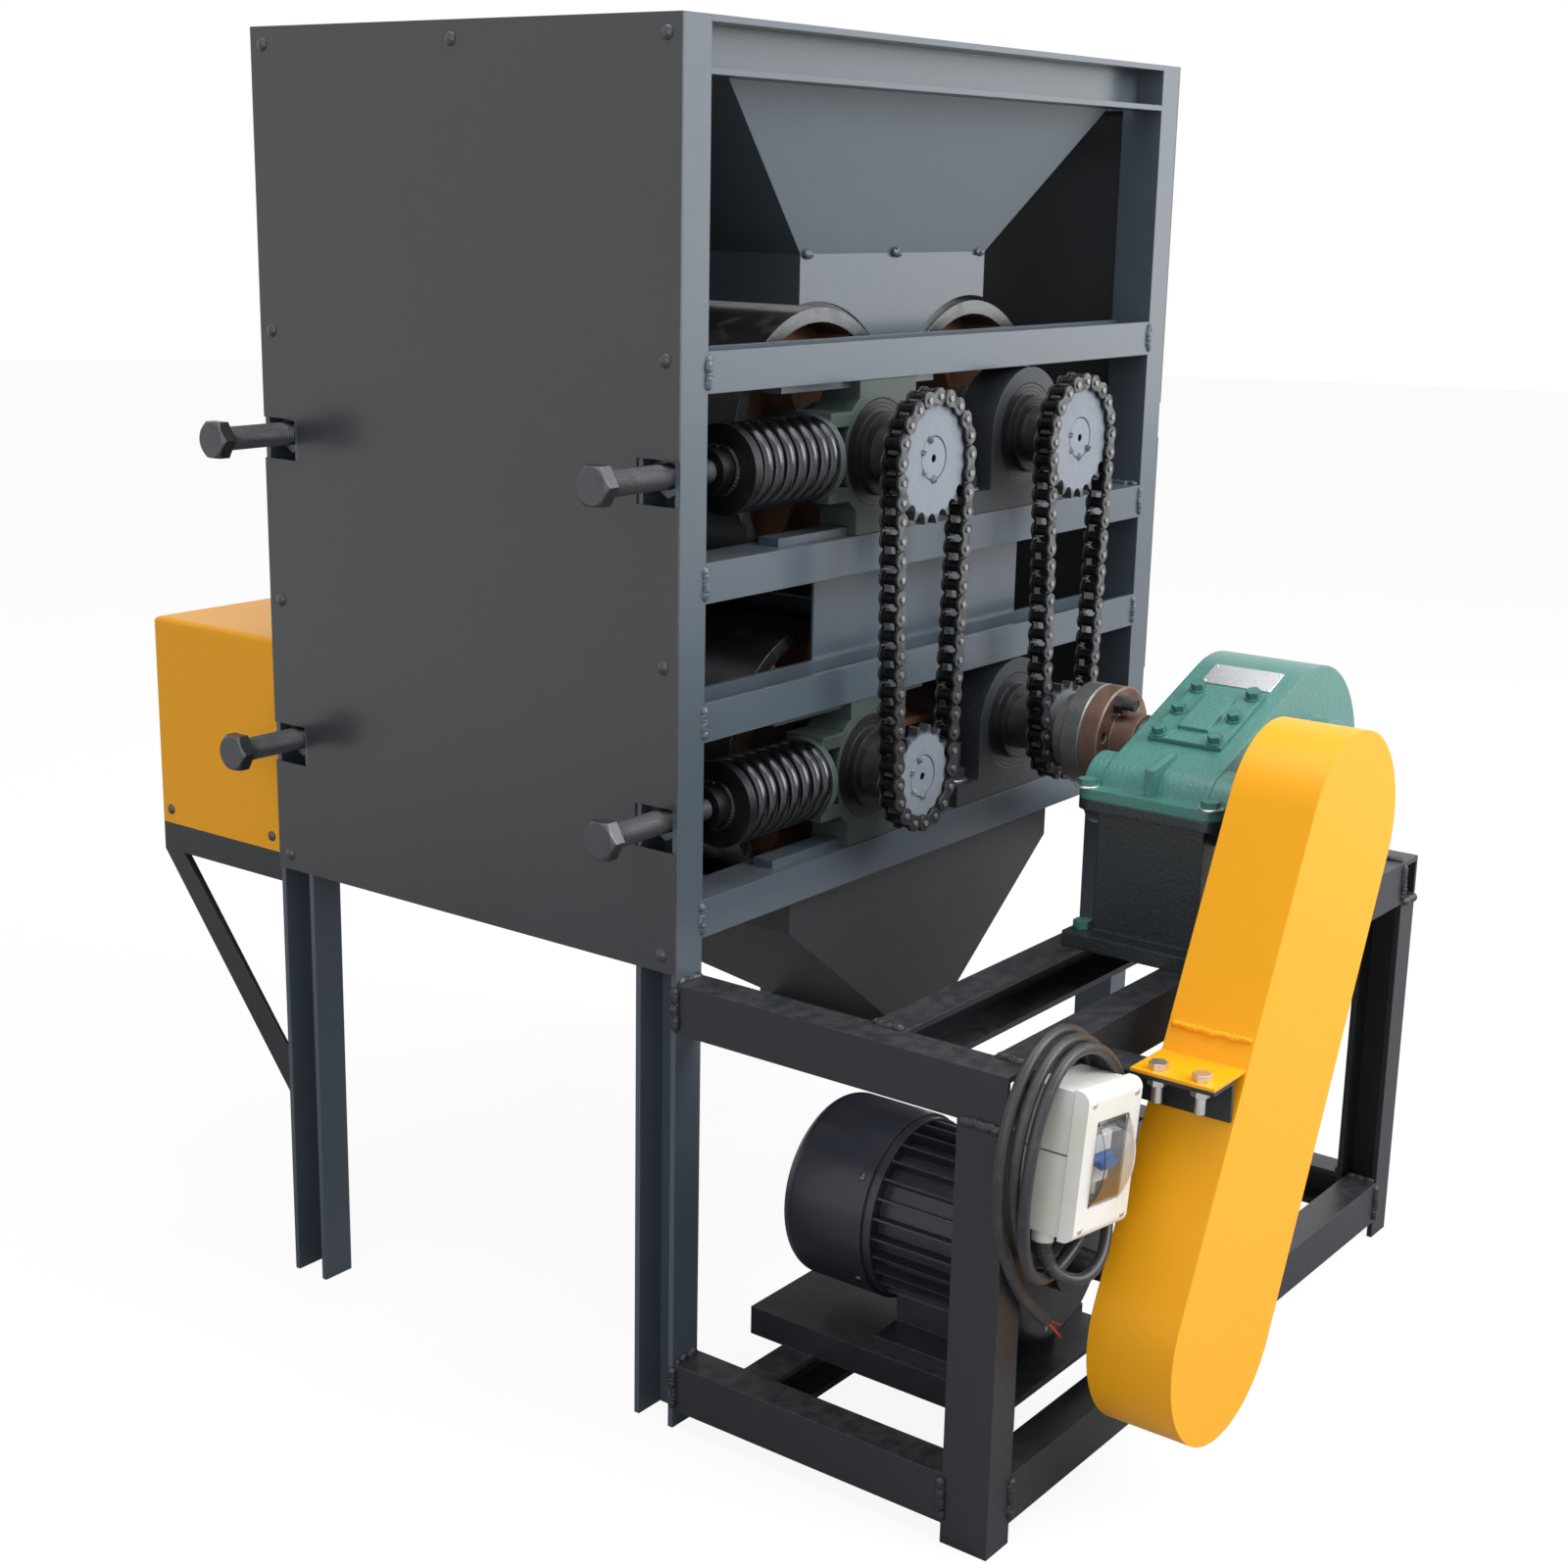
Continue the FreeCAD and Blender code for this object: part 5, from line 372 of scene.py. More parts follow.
def folded_radius(made):
    """Distance from the nearest roller axis: the four axes are folded onto one by two absolutes."""
    x, _, z = made.position()
    low_left = ROLLER_AXES["lower", "left"]
    high_right = ROLLER_AXES["upper", "right"]
    mid_x, half_x = (low_left[0] + high_right[0]) / 2, (high_right[0] - low_left[0]) / 2
    mid_z, half_z = (low_left[2] + high_right[2]) / 2, (high_right[2] - low_left[2]) / 2
    across = abs(x - mid_x) - half_x
    upright = abs(z - mid_z) - half_z
    return (across * across + upright * upright) ** 0.5


def roller_finish(primer, nose_grey):
    """Turned drum skin, bright turned rim, primed webs and gussets, an oily shaft and a painted nose."""
    made = Finish("roller_steel", Specular_IOR_Level=0.5)
    radius = folded_radius(made)
    drum = radius.between(*DRUM_EDGE)
    web = radius.between(*WEB_EDGE) * (1 - drum)
    rim = drum * abs(made.facing(1)).between(0.7, 0.95)
    turned = made.noise(300, 3, (1, 9, 1))
    cloud = made.noise(14, 5)
    rust = made.noise(38, 6).between(0.5, 0.74)
    skin = made.mix(turned, (0.06, 0.064, 0.07), (0.16, 0.165, 0.175))
    skin = made.mix(rust * 0.35, skin, (0.1, 0.055, 0.035))
    painted_web = made.mix(cloud, shade(primer, 0.55), shade(primer, 1.3))
    tone = made.mix(web, skin, painted_web)
    tone = made.mix(rim, tone, (0.12, 0.124, 0.13))
    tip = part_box("upper_left_sprocket")[0][1]
    nose = 1 - made.position()[1].between(*(tip + depth for depth in NOSE_DEPTH))
    tone = made.mix(nose, tone, nose_grey)
    made.give("Base Color", tone)
    made.give("Metallic", (1 - web) * (0.92 - rust * 0.4) * (1 - nose))
    made.give("Roughness", 0.3 + turned * 0.12 + web * 0.3 + rust * 0.15 - rim * 0.08)
    made.bump(turned * 0.5 + cloud * 0.5, 0.00018, 0.0012)


def housing_finish(name, colour):
    """Cast bearing housing whose insert inside is dark steel with a turned face."""
    made = Finish(name, Specular_IOR_Level=0.5, Coat_Weight=0.15, Coat_Roughness=0.3)
    radius = folded_radius(made)
    insert = 1 - radius.between(*INSERT_EDGE)
    skin = made.noise(210, 4)
    cloud = made.noise(9, 4)
    rings = made.node("ShaderNodeMath", {"operation": "SINE"}, {0: radius * 1500})
    rubbed = made.edges(0.003) * made.noise(60, 4).between(0.35, 0.6)
    tone = made.mix(cloud * 0.5 + skin * 0.5, shade(colour, 0.6), shade(colour, 1.5))
    tone = made.mix(rubbed * 0.5, tone, shade(colour, 4.0))
    steel = made.mix(skin, (0.022, 0.023, 0.026), (0.06, 0.061, 0.066))
    made.give("Base Color", made.mix(insert, tone, steel))
    made.give("Metallic", insert * 0.85)
    made.give("Roughness", 0.5 - insert * 0.14 + skin * 0.14)
    made.bump(skin * (1 - insert) + rings * insert * 0.12, 0.0006, 0.002)


def sprocket_finish(level, colour):
    """Painted disc with greasy teeth, a turned ring line and oil smears."""
    name = f"{level}_sprocket_paint"
    made = Finish(name, Specular_IOR_Level=0.5, Coat_Weight=0.15, Coat_Roughness=0.3)
    radius = folded_radius(made)
    low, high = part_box(f"{level}_left_sprocket")
    tip = (high[0] - low[0]) / 2
    grease = radius.between(*(tip - depth for depth in TOOTH_DEPTH))
    smear = made.noise(34, 5).between(0.5, 0.78)
    speck = made.noise(140, 4)
    ring = 1 - abs(radius - HUB_LINE).between(0.0003, 0.0008)
    behind = made.position()[1].between(*(low[1] + depth for depth in DISC_DEPTH))
    tone = made.mix(speck, shade(colour, 0.82), shade(colour, 1.1))
    tone = made.mix(smear * 0.2, tone, (0.14, 0.15, 0.165))
    tone = made.mix(grease * 0.85, tone, (0.018, 0.018, 0.02))
    tone = made.mix(ring * 0.45, tone, (0.1, 0.105, 0.115))
    tone = made.mix(behind, tone, (0.016, 0.016, 0.018))
    made.give("Base Color", tone)
    made.give("Roughness", 0.46 - grease * 0.22 + speck * 0.1)
    made.bump(speck * 0.4 - ring, 0.0003, 0.001)


def chain_finish():
    """Grey side plates with bright rivet ends outside, and black greasy rollers between them."""
    made = Finish("chain_steel", Specular_IOR_Level=0.5)
    low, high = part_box("left_chain")
    off = abs(made.position()[1] - (low[1] + high[1]) / 2)
    outer = off.between(*PLATE_EDGE)
    rivet = off.between(*RIVET_EDGE)
    soot = made.noise(90, 5).between(0.42, 0.66)
    inner = made.mix(soot, (0.03, 0.03, 0.032), (0.009, 0.009, 0.01))
    plates = made.mix(soot, (0.12, 0.123, 0.13), (0.045, 0.044, 0.043))
    tone = made.mix(outer, inner, plates)
    made.give("Base Color", made.mix(rivet, tone, (0.27, 0.262, 0.25)))
    made.give("Metallic", 0.85 - soot * 0.25)
    made.give("Roughness", 0.26 + soot * 0.16 + outer * 0.08)
    made.bump(soot, 0.0002, 0.0006)


def coupling_finish(name, face, rust_share):
    """Turned flange: bright rim line, browned face and rust that gathers in patches."""
    made = Finish(name, Specular_IOR_Level=0.5)
    grain = made.noise(260, 3)
    rust = made.noise(30, 6).between(0.62 - rust_share * 0.35, 0.9 - rust_share * 0.35)
    bright = made.edges(0.0014)
    tone = made.mix(grain, shade(face, 0.75), shade(face, 1.25))
    tone = made.mix(rust * 0.75, tone, (0.1, 0.052, 0.036))
    made.give("Base Color", made.mix(bright, tone, (0.72, 0.72, 0.72)))
    made.give("Metallic", 0.8 - rust * 0.55)
    made.give("Roughness", 0.34 + rust * 0.25 + grain * 0.1)
    made.bump(grain * 0.5 + rust * 0.5, 0.00015, 0.001)


def mounting_bolt_finish(green):
    """Bolts painted with the reducer, and zinc plated ones at the belt guard in front."""
    made = Finish("mounting_bolt", Specular_IOR_Level=0.5)
    front = place(0, GUARD_BOLTS_Y, 0)[1]
    zinc = 1 - made.position()[1].between(front - 0.004, front)
    speck = made.noise(160, 4)
    paint = made.mix(speck, shade(green, 0.5), shade(green, 1.1))
    plated = made.mix(speck, (0.5, 0.5, 0.5), (0.78, 0.77, 0.74))
    made.give("Base Color", made.mix(zinc, paint, plated))
    made.give("Metallic", zinc * 0.95)
    made.give("Roughness", 0.42 - zinc * 0.12 + speck * 0.1)
    made.bump(speck, 0.0001, 0.0008)


def window_finish():
    """Clear smoky plastic of the breaker's flap."""
    made = Finish("clear_flap", Roughness=0.02, IOR=1.25, Transmission_Weight=1.0, Coat_Weight=0.4)
    haze = made.noise(60, 4)
    made.give("Base Color", made.mix(haze, (0.74, 0.75, 0.76), (0.84, 0.85, 0.86)))


def cable_finish(colour):
    """Rubber sheath with faint moulding lines and dusty scuffs."""
    made = Finish("cable_rubber", Specular_IOR_Level=0.5, Sheen_Weight=0.05)
    scuff = made.noise(85, 5).between(0.5, 0.75)
    grain = made.noise(700, 2)
    made.give("Base Color", made.mix(scuff * 0.5, colour, shade(colour, 3.2)))
    made.give("Roughness", 0.36 + scuff * 0.2 + grain * 0.06)
    made.bump(grain, 0.00005)


# Surfaces

def grid_faces(rows, columns):
    """Quads of a grid whose last column joins its first."""
    row, column = np.meshgrid(np.arange(rows - 1), np.arange(columns), indexing="ij")
    beside = (column + 1) % columns
    quads = [row * columns + column, row * columns + beside, (row + 1) * columns + beside,
             (row + 1) * columns + column]
    return np.stack(quads, -1).reshape(-1, 4)


def unit(vectors):
    """Vectors scaled to a length of one."""
    vectors = np.asarray(vectors, float)
    return vectors / np.linalg.norm(vectors, axis=-1, keepdims=True)


def cross_axes(axis):
    """An axis as a unit vector, and two more that are square to it and to each other."""
    axis = unit(axis)
    helper = np.eye(3)[np.argmin(np.abs(axis))]
    first = unit(np.cross(axis, helper))
    return axis, first, np.cross(axis, first)


def turned(origin, axis, profile, sides=28):
    """A profile of (along, radius) pairs turned round an axis: origin + along * axis + radius * ring."""
    axis, first, second = cross_axes(axis)
    along, radius = np.array(profile, float).T
    angle = np.linspace(0, 2 * np.pi, sides, endpoint=False)
    ring = np.cos(angle)[:, None] * first + np.sin(angle)[:, None] * second
    points = origin + along[:, None, None] * axis + radius[:, None, None] * ring
    return points.reshape(-1, 3), grid_faces(len(along), sides)


def tube(path, radius, across, sides=14):
    """A round section carried along a path: across is one side vector for each path point."""
    path = np.asarray(path, float)
    tangent = unit(np.gradient(path, axis=0))
    across = np.broadcast_to(np.asarray(across, float), path.shape)
    side = unit(across - tangent * np.sum(across * tangent, -1, keepdims=True))
    other = np.cross(tangent, side)
    angle = np.linspace(0, 2 * np.pi, sides, endpoint=False)
    radius = np.broadcast_to(np.asarray(radius, float).reshape(len(path), -1), (len(path), sides))
    ring = np.cos(angle)[:, None] * side[:, None] + np.sin(angle)[:, None] * other[:, None]
    points = path[:, None] + radius[..., None] * ring
    return points.reshape(-1, 3), grid_faces(len(path), sides)


def capped(count, steps=4):
    """Radius factors along a path that round both ends to a point: a quarter circle over a few steps."""
    step = np.arange(count)
    near = np.minimum(step, count - 1 - step) / steps
    return np.sqrt(np.clip(1 - (1 - np.clip(near, 0, 1)) ** 2, 0, 1))


# Spacing of the rings of a straight and a round weld bead, and the ripple that each pass leaves, in metres
BEAD_STEP, BEAD_RIPPLE = 0.0011, 0.0042
RING_STEP, RING_RIPPLE = 0.0009, 0.0012


def bead(start, end, radius, seed):
    """A weld bead: a tube whose radius ripples with each pass of the rod and drifts with seeded noise."""
    draw = np.random.default_rng(seed)
    start, end = np.asarray(start, float), np.asarray(end, float)
    length = np.linalg.norm(end - start)
    count = max(14, int(length / BEAD_STEP))
    share = np.linspace(0, 1, count)
    _, first, second = cross_axes(end - start)
    drift = np.interp(share, np.linspace(0, 1, 9), draw.uniform(-1, 1, 9))
    wander = np.interp(share, np.linspace(0, 1, 9), draw.uniform(-1, 1, 9))
    path = start + share[:, None] * (end - start)
    path = path + radius * 0.28 * (drift[:, None] * first + wander[:, None] * second)
    ripple = 0.86 + 0.14 * np.abs(np.sin(np.pi * share * length / BEAD_RIPPLE)) + 0.16 * drift
    lumps = 1 + 0.1 * draw.uniform(-1, 1, (count, 12))
    size = radius * ripple[:, None] * lumps * capped(count)[:, None]
    return tube(path, size, first, 12)


def bead_ring(origin, axis, ring_radius, radius, seed, start=0.0, sweep=360.0):
    """A weld bead laid on an arc about an axis, with lumps where the rod stopped."""
    draw = np.random.default_rng(seed)
    axis, first, second = cross_axes(axis)
    count = max(20, int(ring_radius * math.radians(sweep) / RING_STEP))
    angle = np.radians(start + np.linspace(0, sweep, count))
    out = np.cos(angle)[:, None] * first + np.sin(angle)[:, None] * second
    lump = np.interp(np.linspace(0, 1, count), np.linspace(0, 1, 11), draw.uniform(0.7, 1.5, 11))
    ripple = 0.88 + 0.12 * np.abs(np.sin(angle * ring_radius / RING_RIPPLE))
    path = np.asarray(origin) + ring_radius * out
    return tube(path, radius * lump * ripple * capped(count), out, 10)


def spatter(points, radius, seed):
    """Small flattened balls of weld spatter at given points."""
    draw = np.random.default_rng(seed)
    shells = []
    for point in points:
        size = radius * draw.uniform(0.5, 1.2)
        lean = unit(draw.uniform(-1, 1, 3))
        bow = np.linspace(0, np.pi, 6)
        profile = np.stack([-np.cos(bow) * size * 0.8, np.sin(bow) * size], -1)
        shells.append(turned(point, lean, profile, 8))
    return shells


def threaded(origin, axis, length, radius, pitch, sides=28):
    """A screw thread: radius = crest - depth * triangle wave of (along / pitch - angle / turn)."""
    axis, first, second = cross_axes(axis)
    rows = int(length / pitch * 6) + 1
    along = np.linspace(0, length, rows)[:, None]
    angle = np.linspace(0, 2 * np.pi, sides, endpoint=False)[None, :]
    phase = (along / pitch - angle / (2 * np.pi)) % 1.0
    depth = 0.54 * pitch * np.clip(np.abs(phase - 0.5) * 2.6 - 0.15, 0, 1)
    size = radius - depth
    size[0] = size[-1] = 0
    along[0], along[-1] = along[1], along[-2]
    ring = np.cos(angle[0])[:, None] * first + np.sin(angle[0])[:, None] * second
    points = origin + along[..., None] * axis + size[..., None] * ring
    return points.reshape(-1, 3), grid_faces(rows, sides)


def hex_head(origin, axis, flats, height, turn=0.0, sides=72):
    """A hexagon cut by a chamfer cone: radius = least of the flat's distance and the cone's radius."""
    axis, first, second = cross_axes(axis)
    angle = np.linspace(0, 2 * np.pi, sides, endpoint=False)
    flat = flats / 2 / np.cos((angle + turn) % (np.pi / 3) - np.pi / 6)
    rise = np.concatenate([[0], np.linspace(0, 0.34, 7), [0.7, 1, 1]])
    cone = flats * 0.47 + rise * height * 1.1
    size = np.minimum(flat[None, :], cone[:, None])
    size[0] = size[-1] = 0
    ring = np.cos(angle)[:, None] * first + np.sin(angle)[:, None] * second
    points = origin + (height * (1 - rise))[:, None, None] * axis + size[..., None] * ring
    return points.reshape(-1, 3), grid_faces(len(rise), sides)


def washer(origin, axis, radius, thick):
    """A flat ring's outer form with a small chamfer, closed under the head that sits on it."""
    step = thick * 0.25
    return turned(origin, axis, [(0, 0), (0, radius), (thick - step, radius), (thick, radius - step),
                                 (thick, 0)])


def plate(origin, along, across, length, width, thick, corner):
    """A rounded rectangle with a small bevel: its outline is carried through rings of height and inset."""
    along, across = unit(along), unit(across)
    up = np.cross(along, across)
    swing = np.radians(np.linspace(0, 90, 6))
    quarter = np.stack([np.cos(swing), np.sin(swing)], -1)
    turns = [(1, 1, 0), (-1, 1, 1), (-1, -1, 2), (1, -1, 3)]
    outline = []
    for sign_x, sign_y, quarter_turn in turns:
        angle = quarter_turn * np.pi / 2
        spin = np.array([[np.cos(angle), np.sin(angle)], [-np.sin(angle), np.cos(angle)]])
        middle_of_arc = [sign_x * (length / 2 - corner), sign_y * (width / 2 - corner)]
        outline.append(quarter @ spin * corner + middle_of_arc)
    outline = np.concatenate(outline)
    bevel = min(thick, corner) * 0.3
    rings = [(0, 0), (0, 1), (thick - bevel, 1), (thick, 1 - 2 * bevel / width), (thick, 0)]
    points = [origin + height * up + inset * (outline[:, :1] * along + outline[:, 1:] * across)
              for height, inset in rings]
    return np.concatenate(points), grid_faces(len(rings), len(outline))


def build(name, shells, finish, body, crease=38.0):
    """One piece from surface shells: doubles merged, faces outward, smooth up to a crease angle."""
    points, faces, start = [], [], 0
    for shell_points, shell_faces in shells:
        points.append(shell_points)
        faces.append(shell_faces + start)
        start += len(shell_points)
    mesh = bpy.data.meshes.new(name)
    mesh.from_pydata(np.concatenate(points).tolist(), [], np.concatenate(faces).tolist())
    work = bmesh.new()
    work.from_mesh(mesh)
    bmesh.ops.remove_doubles(work, verts=work.verts, dist=1e-6)
    bmesh.ops.dissolve_degenerate(work, edges=work.edges, dist=1e-7)
    bmesh.ops.recalc_face_normals(work, faces=work.faces)
    work.to_mesh(mesh)
    work.free()
    mesh.polygons.foreach_set("use_smooth", np.ones(len(mesh.polygons), bool))
    mesh.set_sharp_from_angle(angle=math.radians(crease))
    mesh.materials.append(finish_named(finish))
    piece = bpy.data.objects.new(name, mesh)
    bpy.context.scene.collection.objects.link(piece)
    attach(piece, body)
    return piece


# Stage

CAMERA_ANGLES = (-53.19, 14.48, 1.17)
CAMERA_PLACE = (-1593.9, -1315.8, 1199.7)
SENSOR_WIDTH, CLIP_END = 36.0, 60.0
FLOOR_RINGS, FLOOR_DROP, FLOOR_FAR = (4.0, 14.0), 0.0005, (1.3, 3.4)
# Place, target and size of each soft light, in metres
LIGHTS = {
    "key": ((0.9, -3.4, 2.7), (0.0, -0.1, 0.75), 2.4),
    "window": ((3.3, -2.4, 1.75), (0.0, -0.1, 0.95), 2.4),
    "top": ((-0.2, -0.3, 3.4), (0.0, 0.0, 0.6), 2.6),
    "fill": ((-3.2, -1.3, 1.5), (0.0, -0.2, 0.6), 2.2),
}


def camera_matrix():
    """The camera's place and its turned axes, from its azimuth, elevation and roll."""
    azimuth, elevation, roll = (math.radians(angle) for angle in CAMERA_ANGLES)
    back = Vector((math.sin(azimuth) * math.cos(elevation), -math.cos(azimuth) * math.cos(elevation),
                   math.sin(elevation)))
    right = Vector((0, 0, 1)).cross(back).normalized()
    up = back.cross(right)
    axes = [math.cos(roll) * right + math.sin(roll) * up,
            math.cos(roll) * up - math.sin(roll) * right, back]
    matrix = Matrix([list(axis) for axis in axes]).transposed().to_4x4()
    matrix.translation = Vector(place(*CAMERA_PLACE))
    return matrix


def soft_light(name, spot, target, size, power):
    """A square area light that faces a target."""
    lamp = bpy.data.lights.new(name, "AREA")
    lamp.size = size
    lamp.energy = power
    holder = bpy.data.objects.new(name, lamp)
    bpy.context.scene.collection.objects.link(holder)
    aim = (Vector(target) - Vector(spot)).to_track_quat("-Z", "Y").to_matrix().to_4x4()
    aim.translation = Vector(spot)
    holder.matrix_world = aim


def white_world(ambient):
    """Even light on the object, and plain white where the camera, gloss or glass sees the surroundings."""
    world = bpy.data.worlds.new("studio")
    world.use_nodes = True
    nodes, links = world.node_tree.nodes, world.node_tree.links
    nodes.clear()
    dim, white, choice, output = (nodes.new(kind) for kind in (
        "ShaderNodeBackground", "ShaderNodeBackground", "ShaderNodeMixShader", "ShaderNodeOutputWorld"))
    dim.inputs[0].default_value = (0.97, 0.985, 1.0, 1)
    dim.inputs[1].default_value = ambient
    white.inputs[0].default_value = (1, 1, 1, 1)
    links.new(seen_directly(nodes, links), choice.inputs[0])
    links.new(dim.outputs[0], choice.inputs[1])
    links.new(white.outputs[0], choice.inputs[2])
    links.new(choice.outputs[0], output.inputs[0])
    bpy.context.scene.world = world


def seen_directly(nodes, links):
    """One for rays from the camera and for glossy and transmitted rays, and nought for the others."""
    path = nodes.new("ShaderNodeLightPath")
    seen = path.outputs["Is Camera Ray"]
    for other in ("Is Glossy Ray", "Is Transmission Ray"):
        most = nodes.new("ShaderNodeMath")
        most.operation = "MAXIMUM"
        links.new(seen, most.inputs[0])
        links.new(path.outputs[other], most.inputs[1])
        seen = most.outputs[0]
    return seen


def pale_floor():
    """A wide disc under the machine: near white to the camera with a soft shadow, and in the machine's
    gloss dark close by and bright far away."""
    rings = [(0, 0)] + [(0, radius) for radius in FLOOR_RINGS]
    points, faces = turned(np.array([0, 0, -FLOOR_DROP]), (0, 0, 1), rings, 48)
    mesh = bpy.data.meshes.new("floor")
    mesh.from_pydata(points.tolist(), [], faces.tolist())
    floor = bpy.data.objects.new("floor", mesh)
    bpy.context.scene.collection.objects.link(floor)
    made = Finish("floor_white", Roughness=1.0, Specular_IOR_Level=0.0)
    x, y, _ = made.position()
    far = ((x * x + y * y) ** 0.5).between(*FLOOR_FAR)
    seen = made.node("ShaderNodeLightPath", output="Is Camera Ray")
    gloss = made.node("ShaderNodeLightPath", output="Is Glossy Ray")
    made.give("Base Color", made.mix(seen, (0.36, 0.36, 0.365), (0.9, 0.9, 0.9)))
    glow = made.node("ShaderNodeEmission", inputs={"Strength": 1.03})
    share = seen * 0.88 + gloss * far * 0.95
    matt = Signal(made, made.shader.outputs[0])
    made.finish_with(made.node("ShaderNodeMixShader", inputs={0: share, 1: matt, 2: glow}))
    mesh.materials.append(made.material)


class MILL_OT_stage(bpy.types.Operator):
    """Camera, pale floor, white surroundings and soft lights"""
    bl_idname = "mill.stage"
    bl_label = "Stage"

    def execute(self, context):
        stage = context.scene.mill_stage
        camera = bpy.data.objects.new("camera", bpy.data.cameras.new("camera"))
        camera.data.lens = stage.lens
        camera.data.sensor_width = SENSOR_WIDTH
        camera.data.clip_end = CLIP_END
        camera.matrix_world = camera_matrix()
        context.scene.collection.objects.link(camera)
        context.scene.camera = camera
        context.scene.view_settings.view_transform = "Standard"
        white_world(stage.ambient)
        pale_floor()
        for name, (spot, target, size) in LIGHTS.items():
            soft_light(name, spot, target, size, getattr(stage, f"{name}_power"))
        return {"FINISHED"}


# Power cable

BREAKER_PLACE = (72.0, -369.0, 385.0)
BREAKER_TILT = math.radians(8.0)
BOX_MIDDLE_Y = -23.5
GLAND_PLACE = (-30.0, BOX_MIDDLE_Y, -77.0)
LOOP_TURNS = (-0.125, 2.5)
POINTS_PER_TURN = 16
# The loops in millimetres: their middle, reach and rise at turn nought, what each turn adds to them, and how
# the turns step back to the place of the last one
LOOP_X, LOOP_Z, LOOP_RIGHT, LOOP_LEFT, LOOP_RISE = 64.0, 385.0, 87.0, 68.0, 97.0
LOOP_GROWTH, LOOP_STEP, LOOP_BACK_Y = 6.0, 11.5, -375.1
LEAD_PLACES = [(39, -406, 278), (65, -419, 268), (99, -419, 282)]
# The second turn hangs lower where the first run passes under the box
SLACK_FROM = 10
SLACK = [(-4, 0, -8), (-8, 1, -17), (-10, 1, -21), (-8, 1, -17), (-4, 0, -8)]
TAIL_OFFSETS = [(4, 0, -52), (25, -1, -99), (54, -2, -141), (88, -4, -170)]
# Strain relief and bare cores, in metres
SLEEVE_LENGTH, SLEEVE_RADIUS, SLEEVE_COLLAR = 0.026, 0.0093, 0.004
SLEEVE_SUNK, SLEEVE_CAP = 0.001, 0.0004
SLEEVE_RINGS = 27
RIB_DEPTH, RIB_PITCH = 0.0009, 0.0043
CORE_LENGTH, CORE_RADIUS, CORE_OFFSET, CORE_INSIDE = 0.034, 0.0014, 0.0022, 0.003
CORE_SHORTER, CORE_SPREAD, CORE_DROOP = 0.006, 0.006, 0.002


def breaker_spot(x, y, z):
    """A place on the tilted breaker box, from its own middle, in metres of the shared frame."""
    lean, drop = math.cos(BREAKER_TILT), math.sin(BREAKER_TILT)
    return place(BREAKER_PLACE[0] + lean * x + drop * z, BREAKER_PLACE[1] + y,
                 BREAKER_PLACE[2] - drop * x + lean * z)


def loop_places(turn):
    """Places on the wound loops: an ellipse that grows with each turn, but not to the right."""
    turn = np.asarray(turn, float)
    angle = 2 * np.pi * turn
    reach = np.where(np.cos(angle) > 0, LOOP_RIGHT, LOOP_LEFT + LOOP_GROWTH * turn)
    rise = LOOP_RISE + LOOP_GROWTH * turn
    loops = [LOOP_X + reach * np.cos(angle), LOOP_BACK_Y - LOOP_STEP * (LOOP_TURNS[1] - turn),
             LOOP_Z + rise * np.sin(angle)]
    return CORNER + MM * np.stack(loops, -1)


def cable_points(diameter):
    """The route: out of the gland, under the box, round it in widening loops, then the hanging tail."""
    down = unit(breaker_spot(0, 0, -1) - breaker_spot(0, 0, 0))
    gland = breaker_spot(*GLAND_PLACE)
    clear = gland + diameter * down
    loops = loop_places(np.arange(LOOP_TURNS[0], LOOP_TURNS[1] + 0.001, 1 / POINTS_PER_TURN))
    loops[SLACK_FROM:SLACK_FROM + len(SLACK)] += MM * np.array(SLACK, float)
    lead = CORNER + MM * np.array(LEAD_PLACES, float)
    tail = loops[-1] + MM * np.array(TAIL_OFFSETS, float)
    return [gland, clear, *lead, *loops, *tail]


